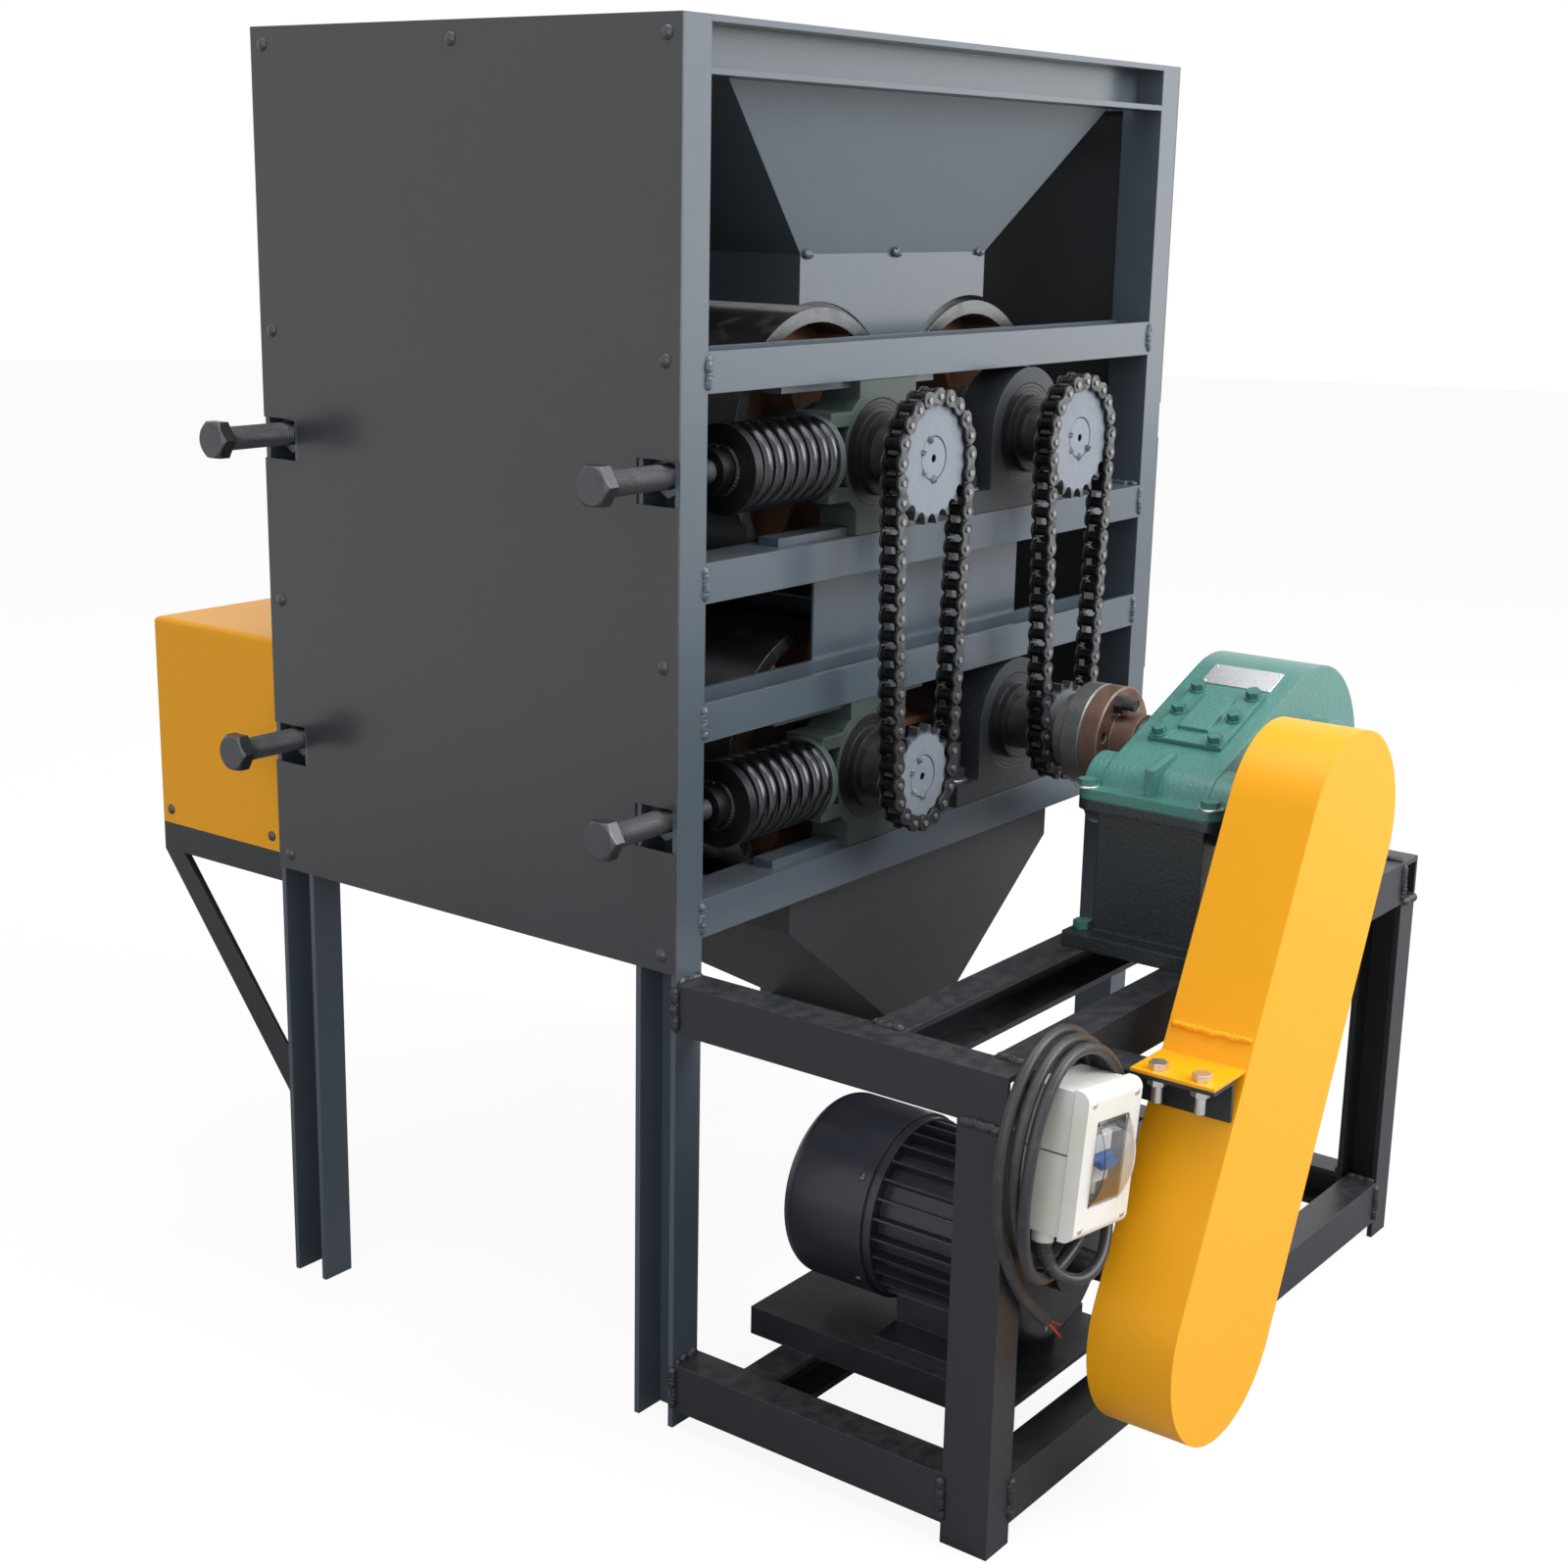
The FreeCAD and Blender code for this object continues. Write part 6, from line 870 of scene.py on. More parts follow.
class MILL_OT_power_cable(bpy.types.Operator):
    """Rubber cable on one smooth spline, its ribbed strain relief and its bare cores"""
    bl_idname = "mill.power_cable"
    bl_label = "Power cable"

    def execute(self, context):
        diameter = context.scene.mill_sizes.cable_diameter
        cable_finish(context.scene.mill_colours.cable_black)
        for name, tint in (("core_brown", (0.2, 0.06, 0.03)), ("core_red", (0.42, 0.03, 0.025)),
                           ("core_grey", (0.3, 0.31, 0.33))):
            plastic(name, tint, 0.4)
        points = cable_points(diameter)
        curve = bpy.data.curves.new("power_cable", "CURVE")
        curve.dimensions = "3D"
        curve.use_fill_caps = True
        curve.resolution_u = 8
        spline = curve.splines.new("NURBS")
        spline.points.add(len(points) - 1)
        spline.points.foreach_set("co", np.column_stack([points, np.ones(len(points))]).ravel())
        spline.order_u = 3
        spline.use_endpoint_u = True
        curve.materials.append(finish_named("cable_rubber"))
        cable = bpy.data.objects.new("power_cable", curve)
        context.scene.collection.objects.link(cable)
        line = self.centre_line(cable)
        curve.bevel_depth = diameter / 2
        curve.bevel_resolution = 5
        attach(cable, "frame")
        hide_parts("cable_coil", "cable_tail")
        relief = self.strain_relief(line, diameter)
        cores = self.bare_cores(points)
        return {"FINISHED"}

    def centre_line(self, cable):
        """Points along the cable's spline, read before it gets its thickness."""
        thin = bpy.data.meshes.new_from_object(cable)
        line = np.empty(len(thin.vertices) * 3)
        thin.vertices.foreach_get("co", line)
        bpy.data.meshes.remove(thin)
        return line.reshape(-1, 3)

    def strain_relief(self, line, diameter):
        """A ribbed sleeve along the cable: its radius tapers and steps in and out by a square wave."""
        walked = np.append(0, np.cumsum(np.linalg.norm(np.diff(line, axis=0), axis=1)))
        along = np.linspace(0, SLEEVE_LENGTH, SLEEVE_RINGS)
        path = np.stack([np.interp(along, walked, line[:, axis]) for axis in range(3)], -1)
        taper = np.interp(along, [0, SLEEVE_LENGTH], [SLEEVE_RADIUS, diameter / 2 + RIB_DEPTH])
        ribs = RIB_DEPTH * (np.sin(along * 2 * np.pi / RIB_PITCH) > 0) * (along > SLEEVE_COLLAR)
        start, end = SLEEVE_SUNK * unit(path[1] - path[0]), SLEEVE_CAP * unit(path[-1] - path[-2])
        path = np.vstack([path[0] - start, path, path[-1] + end])
        size = np.concatenate([[0], taper - ribs, [0]])
        shells = [tube(path, size, np.cross(start, end), 24)]
        return build("cable_strain_relief", shells, "cable_rubber", "frame")

    def bare_cores(self, points):
        """Three thin cores that spread and droop from the cut end, each shorter than the last."""
        end, along = points[-1], unit(points[-1] - points[-2])
        _, first, second = cross_axes(along)
        share = np.linspace(0, 1, 14)[:, None]
        cores = []
        for k, finish in enumerate(("core_brown", "core_red", "core_grey")):
            angle = 2 * np.pi * k / 3
            outward = math.cos(angle) * first + math.sin(angle) * second
            reach = CORE_LENGTH - CORE_SHORTER * k
            path = end + CORE_OFFSET * outward + along * (share * reach - CORE_INSIDE)
            path = path + outward * share ** 2 * CORE_SPREAD
            path[:, 2] -= share[:, 0] ** 2 * CORE_DROOP
            shells = [tube(path, CORE_RADIUS * capped(len(path)), outward, 10)]
            cores.append(build(f"cable_core_{k + 1}", shells, finish, "frame"))
        return cores


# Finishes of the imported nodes

class MILL_OT_finishes(bpy.types.Operator):
    """Paints, castings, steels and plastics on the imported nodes"""
    bl_idname = "mill.finishes"
    bl_label = "Finishes"

    def execute(self, context):
        colours = context.scene.mill_colours
        painted("frame_paint", colours.frame_blue, 0.29, relief=0.000014, coat=0.15, dust=0.25, worn=0.1,
                speckle=0.015)
        painted("panel_paint", colours.panel_grey, 0.31, relief=0.000014, coat=0.15, worn=0.35,
                speckle=0.03)
        painted("platform_paint", colours.platform_grey, 0.4, dust=0.12, worn=0.4)
        painted("guard_paint", colours.guard_orange, 0.4, relief=0.000012, coat=0.06, worn=0.06, vary=0.04,
                speckle=0.02, gloss=0.28)
        painted("motor_paint", colours.motor_navy, 0.38, relief=0.0002, coat=0.15, worn=0.3)
        cast("reducer_paint", colours.reducer_green, 0.36)
        cast("reducer_base_paint", colours.reducer_base, 0.4)
        cast("pulley_iron", (0.11, 0.11, 0.115), 0.55)
        metal("gear_steel", (0.42, 0.42, 0.43), 0.34)
        metal("shaft_steel", (0.4, 0.39, 0.38), 0.3, stretch=(1, 12, 1))
        metal("bolt_steel", (0.095, 0.099, 0.108), 0.4)
        metal("plate_black", (0.03, 0.031, 0.034), 0.42, stained=0.3)
        metal("bare_plate", (0.72, 0.73, 0.75), 0.3, stained=0.12)
        metal("spring_steel", (0.055, 0.058, 0.066), 0.25, stained=0.04, relief=0.00001)
        metal("zinc", (0.66, 0.65, 0.63), 0.32, stained=0.2)
        plastic("box_plastic", colours.box_white, 0.38)
        plastic("breaker_plastic", (0.72, 0.73, 0.74), 0.42)
        plastic("toggle_plastic", colours.toggle_blue, 0.35)
        plastic("belt_rubber", (0.02, 0.02, 0.022), 0.6)
        roller_finish(colours.drum_brown, colours.sprocket_grey)
        housing_finish("take_up_casting", colours.casting_green)
        housing_finish("pillow_casting", colours.pillow_navy)
        for level in LEVELS:
            sprocket_finish(level, colours.sprocket_grey)
        chain_finish()
        coupling_finish("coupling_steel", (0.22, 0.22, 0.22), 0.25)
        coupling_finish("coupling_rusty", (0.24, 0.15, 0.115), 0.75)
        mounting_bolt_finish(colours.reducer_green)
        window_finish()
        for name, node in frame["nodes"].items():
            node.material_slots[0].material = finish_named(self.finish_of(name))
        return {"FINISHED"}

    def finish_of(self, node):
        """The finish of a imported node."""
        for finish, nodes in NODE_FINISHES.items():
            if node in nodes.split():
                return finish
        level, _, rest = node.partition("_")
        kind = rest.split("_")[-1]
        kinds = {"roller": "roller_steel", "sprocket": f"{level}_sprocket_paint", "chain": "chain_steel",
                 "blocks": "take_up_casting", "springs": "spring_steel", "plates": "plate_black",
                 "bolt": "bolt_steel"}
        return kinds[kind]


NODE_FINISHES = {
    "frame_paint": "columns tie_rails bearing_beams guide_rails feed_hopper middle_chute",
    "panel_paint": "side_panels panel_screws",
    "platform_paint": "platform_frame discharge_hopper gear_brackets",
    "guard_paint": "gear_cover belt_guard",
    "pillow_casting": "pillow_blocks",
    "gear_steel": "right_gear left_gear right_idler left_idler",
    "coupling_steel": "coupling_roller_half",
    "coupling_rusty": "coupling_gearbox_half",
    "bolt_steel": "coupling_bolts",
    "reducer_paint": "gearbox_upper_case gearbox_cover",
    "reducer_base_paint": "gearbox_lower_case",
    "mounting_bolt": "mounting_bolts",
    "shaft_steel": "gearbox_input_shaft gearbox_output_shaft",
    "pulley_iron": "gearbox_pulley motor_pulley",
    "belt_rubber": "drive_belts",
    "motor_paint": "motor_housing motor_fan_cover motor_shaft",
    "box_plastic": "breaker_box breaker_cover",
    "breaker_plastic": "breaker",
    "toggle_plastic": "breaker_toggle",
    "clear_flap": "breaker_window",
    "cable_rubber": "cable_coil cable_tail",
}


# Springs and adjusting bolts

# Shares of the wire that the ground ends lose and an end turn advances, and rings in each turn
GROUND_SHARE, CLOSED_SHARE, COIL_RINGS = 0.15, 1.03, 44


class MILL_OT_springs(bpy.types.Operator):
    """Coil springs with closed ground ends"""
    bl_idname = "mill.springs"
    bl_label = "Springs"

    def execute(self, context):
        sizes = context.scene.mill_sizes
        for level in LEVELS:
            low, high = (np.array(corner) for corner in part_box(f"{level}_springs"))
            reach = sizes.spring_radius + sizes.spring_wire / 2
            axis_z = (low[2] + high[2]) / 2
            shells = [self.coil(low[0], high[0], row, axis_z, sizes)
                      for row in (low[1] + reach, high[1] - reach)]
            piece = build(f"{level}_coil_springs", shells, "spring_steel", f"{level}_adjuster")
            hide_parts(f"{level}_springs")
            slide = next(joint for joint in frame["joints"] if joint["name"] == f"{level}_spring_slide")
            travel = slide["range_m"][1]
            1 - travel / (high[0] - low[0])
            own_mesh(piece)
        return {"FINISHED"}

    def coil(self, start, end, row, axis_z, sizes):
        """A helix of wire: advance is slow in the end turns, and both ends are ground flat by a clamp."""
        turns, wire = sizes.spring_turns, sizes.spring_wire
        turn = np.linspace(0, turns, int(turns * COIL_RINGS))
        ground = GROUND_SHARE * wire
        knots = [ground, ground + CLOSED_SHARE * wire]
        length = end - start
        advance = np.interp(turn, [0, 1, turns - 1, turns],
                            knots + [length - knots[1], length - knots[0]])
        angle = 2 * np.pi * turn
        out = np.stack([np.zeros_like(turn), np.sin(angle), np.cos(angle)], -1)
        path = np.array([start, row, axis_z]) + sizes.spring_radius * out
        path[:, 0] += advance
        points, faces = tube(path, wire / 2 * capped(len(turn)), out, 16)
        points[:, 0] = np.clip(points[:, 0], start, end)
        return points, faces


# Adjusting bolts, in metres
BOLT_HEAD, BOLT_FLATS, BOLT_RADIUS = 0.015, 0.036, 0.01203
COLLAR_RADIUS, COLLAR_THICK, COLLAR_SUNK = 0.0166, 0.0015, 0.0005


class MILL_OT_adjusting_bolts(bpy.types.Operator):
    """Long hex bolts with real threads"""
    bl_idname = "mill.adjusting_bolts"
    bl_label = "Adjusting bolts"

    def execute(self, context):
        pitch = context.scene.mill_sizes.bolt_pitch
        for level in LEVELS:
            for row in ROWS:
                node = f"{level}_{row}_bolt"
                low, high = (np.array(corner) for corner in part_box(node))
                axis = middle(node)
                start = np.array([low[0], axis[1], axis[2]])
                neck = start + [BOLT_HEAD, 0, 0]
                seat = start + [BOLT_HEAD - COLLAR_SUNK, 0, 0]
                length = high[0] - low[0] - BOLT_HEAD
                shells = [hex_head(neck, (-1, 0, 0), BOLT_FLATS, BOLT_HEAD, np.pi / 6),
                          washer(seat, (1, 0, 0), COLLAR_RADIUS, COLLAR_THICK),
                          threaded(neck, (1, 0, 0), length, BOLT_RADIUS, pitch)]
                piece = build(f"{node}_threaded", shells, "bolt_steel", node, 30)
                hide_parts(node)
        return {"FINISHED"}


# Welds

# Bottom and top of the two beams of a level, from the height of its roller axes, in millimetres
BEAM_OFFSETS = ((-118.0, -80.0), (74.0, 112.0))
PLATFORM_FRONT, PLATFORM_TOP, PLATFORM_FOOT = -369.0, 468.0, 20.0
CROSS_RAIL = (-238.0, -200.0)
# How far beads stop short of the ends of level, upright and web joints, and lie under a face, in millimetres
LEVEL_STOP, UPRIGHT_STOP, WEB_STOP, BEAD_SUNK = 2.0, 3.0, 4.0, 0.6
HOPPER_TACKS, TACK_LENGTH, TACK_Y, TACK_Z = (-168.0, -12.0, 150.0), 16.0, 84.6, 1138.0
# Middles and radii of the belt guard's round ends, and its seam, in millimetres
GUARD_LOW, GUARD_LOW_RADIUS = np.array([202.0, 184.0]), 105.0
GUARD_TOP, GUARD_TOP_RADIUS = np.array([INPUT_X, SHAFT_Z]), 99.0
SEAM_HEIGHT, SEAM_LIFT = 466.0, 0.6
# Rings round the spring plates' sockets and the screw nuts in metres, and the nuts' face in millimetres
SOCKET_INSET, SOCKET_LENGTH, SOCKET_RING = 0.043, 0.011, 0.0215
NUT_FACE, NUT_RING = 33.5, 0.0196
SPATTER_RADIUS, SPATTER_DROPS, SPATTER_REACH = 0.0016, 2, 5.0


def beam_levels():
    """Bottom and top of every cross beam, in millimetres: under and over the bearings of each level."""
    rows = []
    for level in LEVELS:
        axis = (ROLLER_AXES[level, "left"][2] - CORNER[2]) / MM
        rows += [(axis + low, axis + high) for low, high in BEAM_OFFSETS]
    return rows


def cabinet_welds():
    """Bead lines where the beams meet the columns, in millimetres: the webs face the bearings."""
    lines = []
    depth = CABINET[1]
    for k, (low, high) in enumerate(beam_levels()):
        web = low if k % 2 else high
        for x in (CHANNEL_WIDTH, CABINET[0] - CHANNEL_WIDTH):
            for face in (BEAD_SUNK, depth - BEAD_SUNK):
                lines.append(((x, face, low + UPRIGHT_STOP), (x, face, high - LEVEL_STOP)))
            for y in (0, depth - CHANNEL_HEIGHT):
                lines.append(((x, y + WEB_STOP, web), (x, y + CHANNEL_HEIGHT - WEB_STOP, web)))
    return lines


def across_bead(left, right, y, z):
    """A level bead line from left to right."""
    return (left + LEVEL_STOP, y, z), (right - LEVEL_STOP, y, z)


def inward_bead(x, front, back, z):
    """A level bead line from front to back."""
    return (x, front + LEVEL_STOP, z), (x, back - LEVEL_STOP, z)


def upright_bead(x, y, low, high):
    """A bead line that goes up a joint."""
    return (x, y, low + UPRIGHT_STOP), (x, y, high - UPRIGHT_STOP)


def platform_welds():
    """Bead lines of the drive platform's joints, in millimetres."""
    front, top, foot = PLATFORM_FRONT, PLATFORM_TOP, PLATFORM_FOOT
    under, low = top - CHANNEL_HEIGHT, foot + CHANNEL_HEIGHT
    leg_back, rail_back = front + CHANNEL_HEIGHT, front + CHANNEL_WIDTH
    width = CABINET[0]
    lines = []
    for outer, inner in ((0.0, CHANNEL_WIDTH), (width, width - CHANNEL_WIDTH)):
        left, right = min(outer, inner), max(outer, inner)
        lines += [across_bead(left, right, 0, top), upright_bead(outer, 0, under, top),
                  across_bead(left, right, front, under),
                  ((outer, front + UPRIGHT_STOP, under), (outer, leg_back - LEVEL_STOP, under)),
                  inward_bead(inner, front, rail_back, top), upright_bead(inner, front, under, top),
                  upright_bead(outer, leg_back, foot, low), across_bead(left, right, leg_back, low),
                  upright_bead(outer, 0, foot, low), across_bead(left, right, 0, low),
                  upright_bead(inner, front, foot, low), inward_bead(inner, front, rail_back, low),
                  inward_bead(inner, *CROSS_RAIL, top)]
    return lines


def hopper_tacks():
    """Short bead lines along the front of the hopper's neck, in millimetres."""
    low, high = limits("feed_hopper")
    starts = [(low[0] + high[0]) / 2 + x for x in HOPPER_TACKS]
    return [((x, TACK_Y, TACK_Z), (x + TACK_LENGTH, TACK_Y, TACK_Z)) for x in starts]


class MILL_OT_welds(bpy.types.Operator):
    """Weld beads and spatter on the frame, platform, hopper, guard, spring plates and screw nuts"""
    bl_idname = "mill.welds"
    bl_label = "Welds"

    def execute(self, context):
        radius = context.scene.mill_sizes.weld_radius
        self.lay("cabinet_weld_beads", cabinet_welds(), radius, "frame_paint", "frame_paint", 100)
        self.lay("platform_weld_beads", platform_welds(), radius * 1.05, "platform_paint", "frame_paint",
                 400)
        self.lay("hopper_weld_tacks", hopper_tacks(), radius * 1.1, "frame_paint", "frame_paint", 700)
        self.guard_seam(radius)
        self.plate_welds(radius)
        return {"FINISHED"}

    def lay(self, name, lines, radius, finish, slot, seed):
        """Beads along lines in millimetres, with drops of spatter beside each."""
        draw = np.random.default_rng(seed)
        shells = []
        for k, (start, end) in enumerate(lines):
            shells.append(bead(place(*start), place(*end), radius, seed + k))
            run = np.array(end, float) - np.array(start, float)
            flat = np.where(np.abs(run) > 1, 1.0, 0.0)
            drops = [place(*(np.array(start) + run * draw.uniform(0, 1)
                             + flat * draw.uniform(-SPATTER_REACH, SPATTER_REACH, 3)))
                     for _ in range(SPATTER_DROPS)]
            shells += spatter(drops, SPATTER_RADIUS, seed + 1000 + k)
        build(name, shells, finish, "frame", 60)

    def guard_seam(self, radius):
        """A rough seam across the guard's side wall, a little over its lip."""
        low, high = limits("belt_guard")
        x = self.guard_wall_x(SEAM_HEIGHT) - SEAM_LIFT
        line = [inward_bead(x, low[1], high[1], SEAM_HEIGHT)]
        self.lay("guard_weld_seam", line, radius * 0.75, "guard_paint", "orange_paint", 900)

    def guard_wall_x(self, height):
        """Where the guard's sloped left wall stands at a height: a line that touches both round ends."""
        run = GUARD_TOP - GUARD_LOW
        heading = math.atan2(*run[::-1])
        lean = math.acos((GUARD_LOW_RADIUS - GUARD_TOP_RADIUS) / np.linalg.norm(run))
        out = np.array([math.cos(heading + lean), math.sin(heading + lean)])
        first, second = GUARD_LOW + GUARD_LOW_RADIUS * out, GUARD_TOP + GUARD_TOP_RADIUS * out
        return first[0] + (second[0] - first[0]) * (height - first[1]) / (second[1] - first[1])

    def plate_welds(self, radius):
        """Bead rings round the sockets of the spring plates and the screw nuts on the columns."""
        for level in LEVELS:
            low, high = (np.array(corner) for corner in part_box(f"{level}_spring_plates"))
            axis_z = (low[2] + high[2]) / 2
            rows = (low[1] + SOCKET_INSET, high[1] - SOCKET_INSET)
            face = high[0] - SOCKET_LENGTH
            shells = [bead_ring((face, row, axis_z), (1, 0, 0), SOCKET_RING, radius * 0.8, 30 + k)
                      for k, row in enumerate(rows)]
            build(f"{level}_plate_weld_rings", shells, "plate_black", f"{level}_adjuster",
                  60)
            face = place(NUT_FACE, 0, 0)[0]
            shells = [bead_ring((face, row, axis_z), (1, 0, 0), NUT_RING, radius * 0.8, 50 + k)
                      for k, row in enumerate(rows)]
            build(f"{level}_nut_weld_rings", shells, "frame_paint", "frame", 60)


# Short beads round a sprocket's nose: ring and bead radius in metres, and starts and sweep in degrees
NOSE_RING, NOSE_BEAD, NOSE_SUNK = 0.0205, 0.0034, 0.0004
NOSE_STARTS, NOSE_SWEEP, NOSE_TURN = (15, 62, 118, 171), 16, 55


class MILL_OT_sprocket_welds(bpy.types.Operator):
    """Weld beads that hold the sprockets on the roller noses"""
    bl_idname = "mill.sprocket_welds"
    bl_label = "Sprocket welds"

    def execute(self, context):
        for level in LEVELS:
            for k, side in enumerate(SIDES):
                if (level, side) == ("lower", "right"):
                    continue
                axis = ROLLER_AXES[level, side]
                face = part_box(f"{level}_{side}_sprocket")[0][1]
                spot = (axis[0], face + NOSE_SUNK, axis[2])
                shells = [bead_ring(spot, (0, -1, 0), NOSE_RING, NOSE_BEAD, 70 + 9 * k + lump,
                                    start + NOSE_TURN * k, NOSE_SWEEP)
                          for lump, start in enumerate(NOSE_STARTS)]
                build(f"{level}_{side}_sprocket_weld", shells, f"{level}_sprocket_paint",
                      f"{level}_{side}_roller", 60)
        return {"FINISHED"}


# Reducer, guard, motor and breaker trim

# The reducer in millimetres: rounds at its shafts under a sloped roof, then its cover and its ears
INPUT_ROUND, OUTPUT_ROUND = 38.0, 112.0
COVER_LENGTH, COVER_WIDTH, COVER_THICK, COVER_BOLT_INSET = 104.0, 80.0, 5.0, 9.1
EAR_REACH, EAR_ROW, EAR_TOP = 8.64, 67.46, 10.9
# Its bare plate: place up the roof from the cover's middle and pins from the plate's, in millimetres
PLATE_UPHILL, PIN_UPHILL, PIN_ACROSS, PIN_LIFT = 80.0, 14.5, 35.5, 1.1
# Plate, pin and washers, in metres
PLATE_LENGTH, PLATE_WIDTH, PLATE_THICK, PLATE_CORNER = 0.036, 0.078, 0.0012, 0.002
PIN_PROFILE = [(0, 0), (0, 0.0017), (0.0006, 0.0014), (0.0009, 0.0007), (0.001, 0)]
COVER_WASHER, EAR_WASHER = (0.0095, 0.0015), (0.0122, 0.002)


class MILL_OT_reducer_trim(bpy.types.Operator):
    """Bare plate with its pins, and washers under the reducer's bolts"""
    bl_idname = "mill.reducer_trim"
    bl_label = "Reducer trim"

    def execute(self, context):
        lean = math.asin((OUTPUT_ROUND - INPUT_ROUND) / (OUTPUT_X - INPUT_X))
        uphill = np.array([math.cos(lean), 0, math.sin(lean)])
        normal = np.array([-math.sin(lean), 0, math.cos(lean)])
        foot = np.array([INPUT_X, REDUCER_ROW, SHAFT_Z]) + INPUT_ROUND * normal
        halfway = (OUTPUT_X - INPUT_X) * math.cos(lean) * 0.5

        def on_roof(along, across, lift=0.0):
            """A place on the sloped roof, from its foot over the input shaft, in metres."""
            return place(*(foot + along * uphill + np.array([0, across, 0]) + lift * normal))

        spot = halfway + PLATE_UPHILL
        shells = [plate(on_roof(spot, 0), uphill, (0, 1, 0), PLATE_LENGTH, PLATE_WIDTH, PLATE_THICK,
                        PLATE_CORNER)]
        build("reducer_bare_plate", shells, "bare_plate", "frame")
        pins = [turned(on_roof(spot + along, across, PIN_LIFT), normal, PIN_PROFILE, 12)
                for along in (-PIN_UPHILL, PIN_UPHILL) for across in (-PIN_ACROSS, PIN_ACROSS)]
        build("reducer_plate_rivets", pins, "zinc", "frame")
        edge, side = COVER_LENGTH / 2 - COVER_BOLT_INSET, COVER_WIDTH / 2 - COVER_BOLT_INSET
        cups = [washer(on_roof(halfway + along, across, COVER_THICK), normal, *COVER_WASHER)
                for along in (-edge, 0, edge) for across in (-side, side)]
        build("reducer_cover_washers", cups, "mounting_bolt", "frame")
        ears = [washer(place(x, y, SHAFT_Z + EAR_TOP), (0, 0, 1), *EAR_WASHER)
                for x in (INPUT_X - INPUT_ROUND - EAR_REACH, OUTPUT_X + OUTPUT_ROUND + EAR_REACH)
                for y in (REDUCER_ROW - EAR_ROW, REDUCER_ROW + EAR_ROW)]
        build("reducer_ear_washers", ears, "zinc", "frame")
        return {"FINISHED"}


# Screws of the rear cover and the breaker box, places in millimetres and radii in metres
REAR_SCREW_INSET, REAR_SCREW_RISE, REAR_SCREW = 14.0, 16.0, 0.0055
BOX_SCREW_X, BOX_SCREW_Z, BOX_FACE_Y, BOX_SCREW = 38.0, 56.0, -62.05, 0.003
# Screws of the fan cowl in degrees and metres
COWL_ANGLES, COWL_INSET, COWL_SUNK, COWL_SCREW = (35, 145, 215, 325), 0.011, 0.0002, 0.0042
# Seam on the box's side: its place in millimetres, its length, width and thickness in metres
SEAM_PLACE, SEAM_LENGTH, SEAM_WIDTH, SEAM_THICK = (-46.02, BOX_MIDDLE_Y, 8.0), 0.045, 0.0012, 0.0004
# A pan head sinks in its seat and has a rim, in metres, and rises over it by a share of its radius
HEAD_SUNK, HEAD_RIM, HEAD_RISE = 0.0005, 0.0006, 0.42


class MILL_OT_cover_trim(bpy.types.Operator):
    """Screws of the rear cover, the fan cowl and the breaker box, and the seam of the box"""
    bl_idname = "mill.cover_trim"
    bl_label = "Cover trim"

    def execute(self, context):
        low, high = limits("gear_cover")
        screws = [self.pan_head(place(x, y, low[2] + REAR_SCREW_RISE), (out, 0, 0), REAR_SCREW)
                  for x, out in ((low[0], -1), (high[0], 1))
                  for y in (low[1] + REAR_SCREW_INSET, high[1] - REAR_SCREW_INSET)]
        build("rear_cover_screws", screws, "bolt_steel", "frame")
        axis = middle("motor_fan_cover")
        cowl_low, cowl_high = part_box("motor_fan_cover")
        radius = (cowl_high[0] - cowl_low[0]) / 2
        pins = []
        for angle in np.radians(COWL_ANGLES):
            out = np.array([math.cos(angle), 0, math.sin(angle)])
            foot = np.array([axis[0], cowl_low[1] + COWL_INSET, axis[2]]) + out * (radius - COWL_SUNK)
            pins.append(self.pan_head(foot, out, COWL_SCREW))
        build("fan_cowl_screws", pins, "bolt_steel", "frame")
        corners = [self.pan_head(breaker_spot(x, BOX_FACE_Y, z), (0, -1, 0), BOX_SCREW)
                   for x in (-BOX_SCREW_X, BOX_SCREW_X) for z in (-BOX_SCREW_Z, BOX_SCREW_Z)]
        build("breaker_cover_screws", corners, "zinc", "frame")
        upward = breaker_spot(0, 0, 1) - breaker_spot(0, 0, 0)
        seam = [plate(breaker_spot(*SEAM_PLACE), (0, -1, 0), upward, SEAM_LENGTH, SEAM_WIDTH, SEAM_THICK,
                      SEAM_THICK)]
        build("breaker_box_seam", seam, "cable_rubber", "frame")
        return {"FINISHED"}

    def pan_head(self, foot, axis, radius):
        """A low round screw head: a quarter arc turned round its axis over a short rim."""
        bow = np.radians(np.linspace(0, 90, 6))
        dome = np.stack([HEAD_RIM + HEAD_RISE * radius * np.sin(bow), radius * np.cos(bow)], -1)
        profile = [(-HEAD_SUNK, 0), (-HEAD_SUNK, radius), *dome]
        return turned(np.asarray(foot), axis, profile, 20)


# Studs of the fixed bearing blocks: places from the bearing's axis in millimetres, sizes in metres
STUD_ASIDE, STUD_SEAT, NIPPLE_SEAT = 90.0, 56.0, 71.5
STUD_START, STUD_LENGTH, STUD_RADIUS, STUD_PITCH = 0.013, 0.0293, 0.0086, 0.002
STUD_WASHER = (0.0165, 0.0024)
NIPPLE_FLATS, NIPPLE_HEX = 0.009, 0.0045
NIPPLE_PROFILE = [(0.004, 0), (0.004, 0.0032), (0.0065, 0.0022), (0.008, 0.0033), (0.0095, 0.0033),
                  (0.0105, 0.0018), (0.0108, 0)]


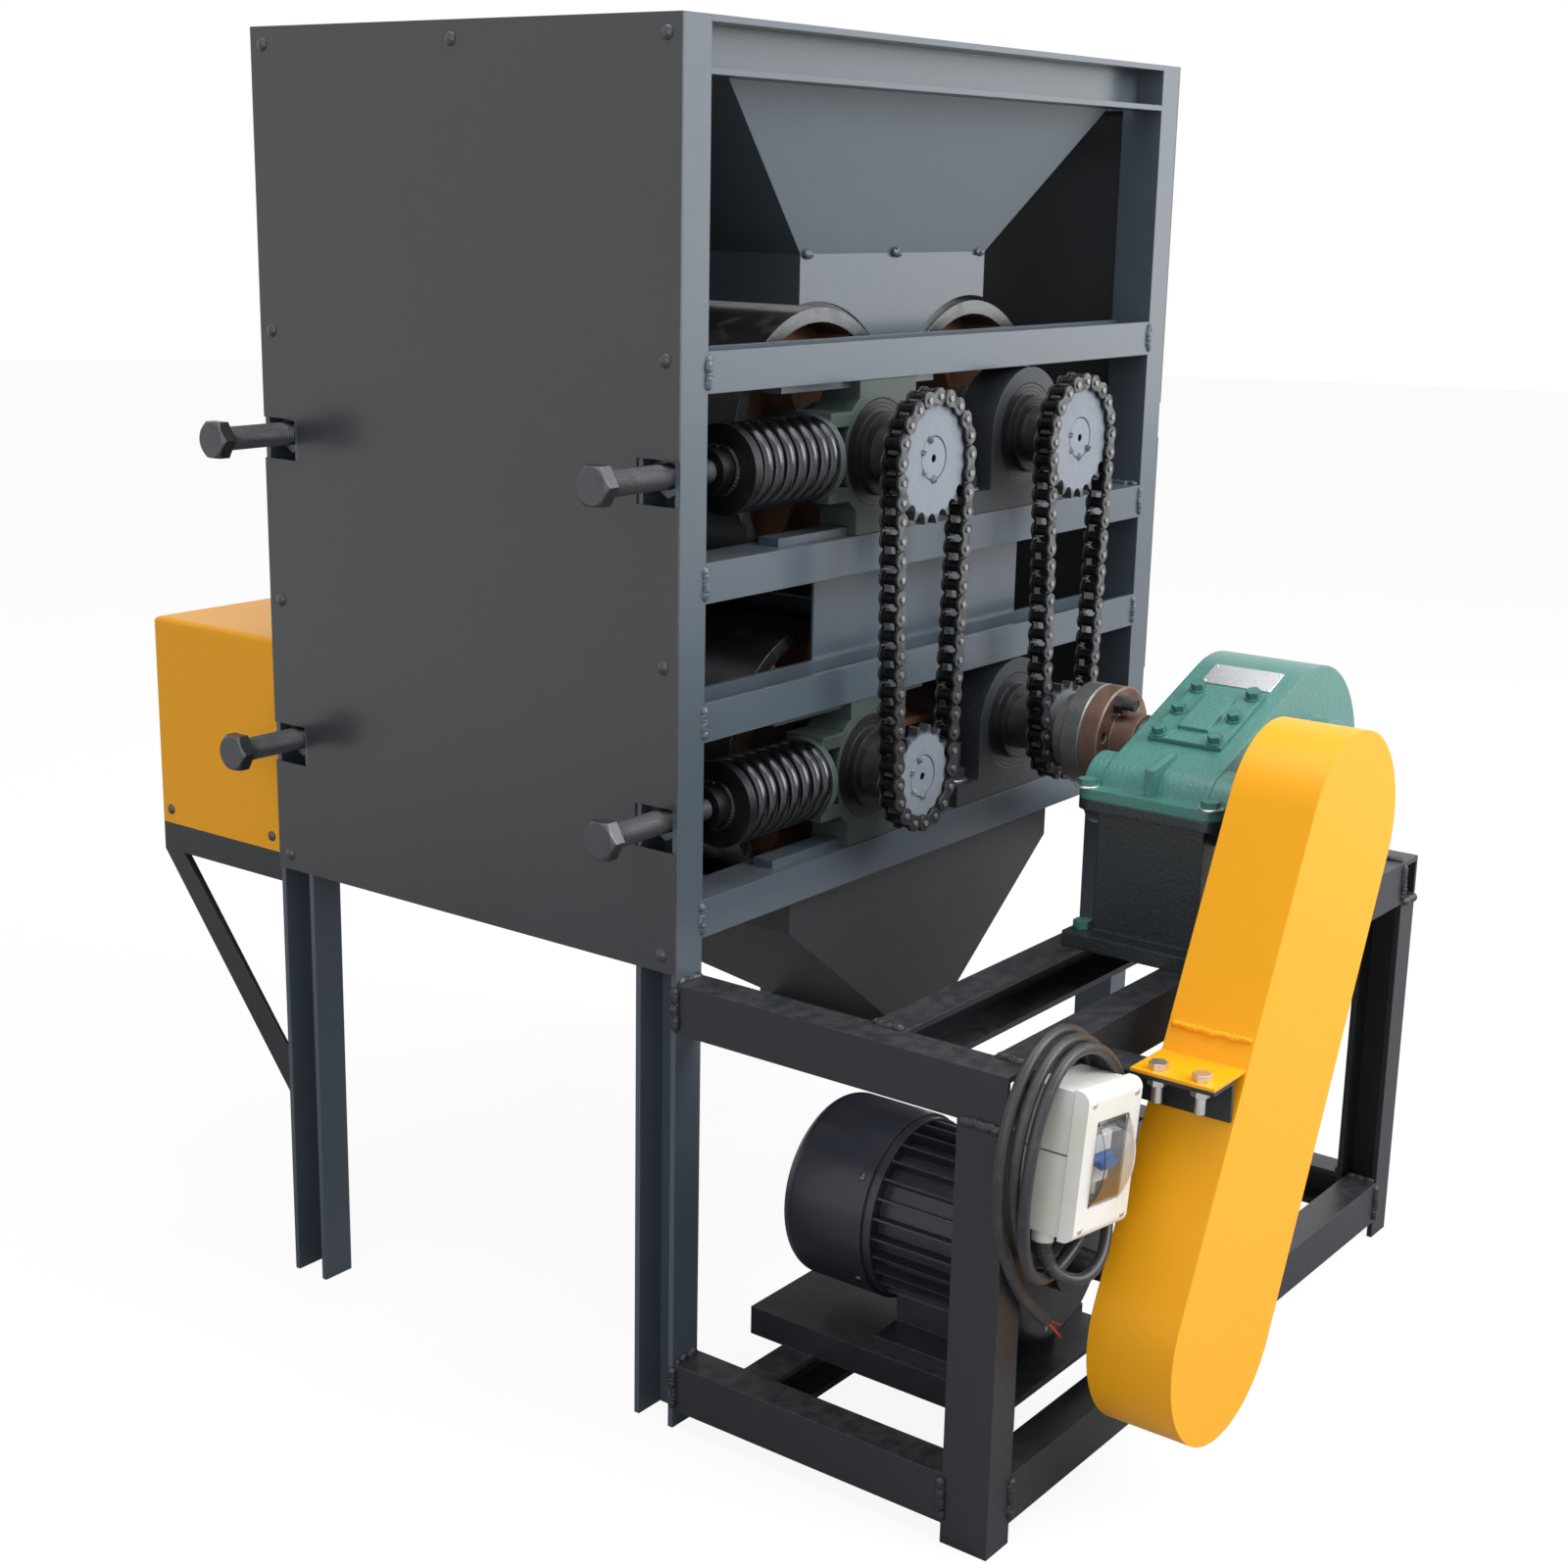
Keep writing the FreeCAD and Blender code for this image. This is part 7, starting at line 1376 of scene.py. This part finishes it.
class MILL_OT_fasteners(bpy.types.Operator):
    """Threads on the studs of the fixed bearing blocks, their washers, and grease nipples on top"""
    bl_idname = "mill.fasteners"
    bl_label = "Fasteners"

    def execute(self, context):
        studs, cups, nipples = [], [], []
        for level in LEVELS:
            axis_x, _, axis_z = (ROLLER_AXES[level, "right"] - CORNER) / MM
            for row in ROW_PLACES:
                for aside in (-STUD_ASIDE, STUD_ASIDE):
                    foot = place(axis_x + aside, row, axis_z - STUD_SEAT)
                    studs.append(threaded(foot + [0, 0, STUD_START], (0, 0, 1), STUD_LENGTH, STUD_RADIUS,
                                          STUD_PITCH, 20))
                    cups.append(washer(foot, (0, 0, 1), *STUD_WASHER))
                nipples += self.nipple(place(axis_x, row, axis_z + NIPPLE_SEAT), (0, 0, 1))
        build("stud_threads", studs, "bolt_steel", "frame", 30)
        build("stud_washers", cups, "zinc", "frame")
        build("grease_nipples", nipples, "zinc", "frame")
        return {"FINISHED"}

    def nipple(self, foot, axis):
        """A grease nipple: hexagon, waist and ball."""
        foot = np.asarray(foot)
        return [hex_head(foot, axis, NIPPLE_FLATS, NIPPLE_HEX), turned(foot, axis, NIPPLE_PROFILE, 16)]


class MILL_PT_panel(bpy.types.Panel):
    """Lists the steps that dress the mill"""
    bl_idname = "MILL_PT_panel"
    bl_label = "Grain mill"
    bl_space_type = "VIEW_3D"
    bl_region_type = "UI"
    bl_category = "Mill"

    def draw(self, context):
        for settings in (context.scene.mill_colours, context.scene.mill_sizes, context.scene.mill_stage):
            for key in settings.__annotations__:
                self.layout.prop(settings, key)
        for step in STEPS:
            self.layout.operator(step.bl_idname)


STEPS = [MILL_OT_stage, MILL_OT_power_cable, MILL_OT_finishes, MILL_OT_springs, MILL_OT_adjusting_bolts,
         MILL_OT_welds, MILL_OT_sprocket_welds, MILL_OT_reducer_trim, MILL_OT_cover_trim,
         MILL_OT_fasteners]
SETTINGS = {"mill_colours": MillColours, "mill_sizes": MillSizes, "mill_stage": MillStage}
CLASSES = [*SETTINGS.values(), *STEPS, MILL_PT_panel]


def register():
    """Adds the settings, the steps and the panel to Blender."""
    for kind in CLASSES:
        bpy.utils.register_class(kind)
    for name, kind in SETTINGS.items():
        setattr(bpy.types.Scene, name, PointerProperty(type=kind))


def unregister():
    """Takes them away again."""
    for name in SETTINGS:
        delattr(bpy.types.Scene, name)
    for kind in reversed(CLASSES):
        bpy.utils.unregister_class(kind)


def main():
    """Registers the add-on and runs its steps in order."""
    register()
    for step in STEPS:
        group, name = step.bl_idname.split(".")
        getattr(getattr(bpy.ops, group), name)()


if __name__ == "__main__":
    main()
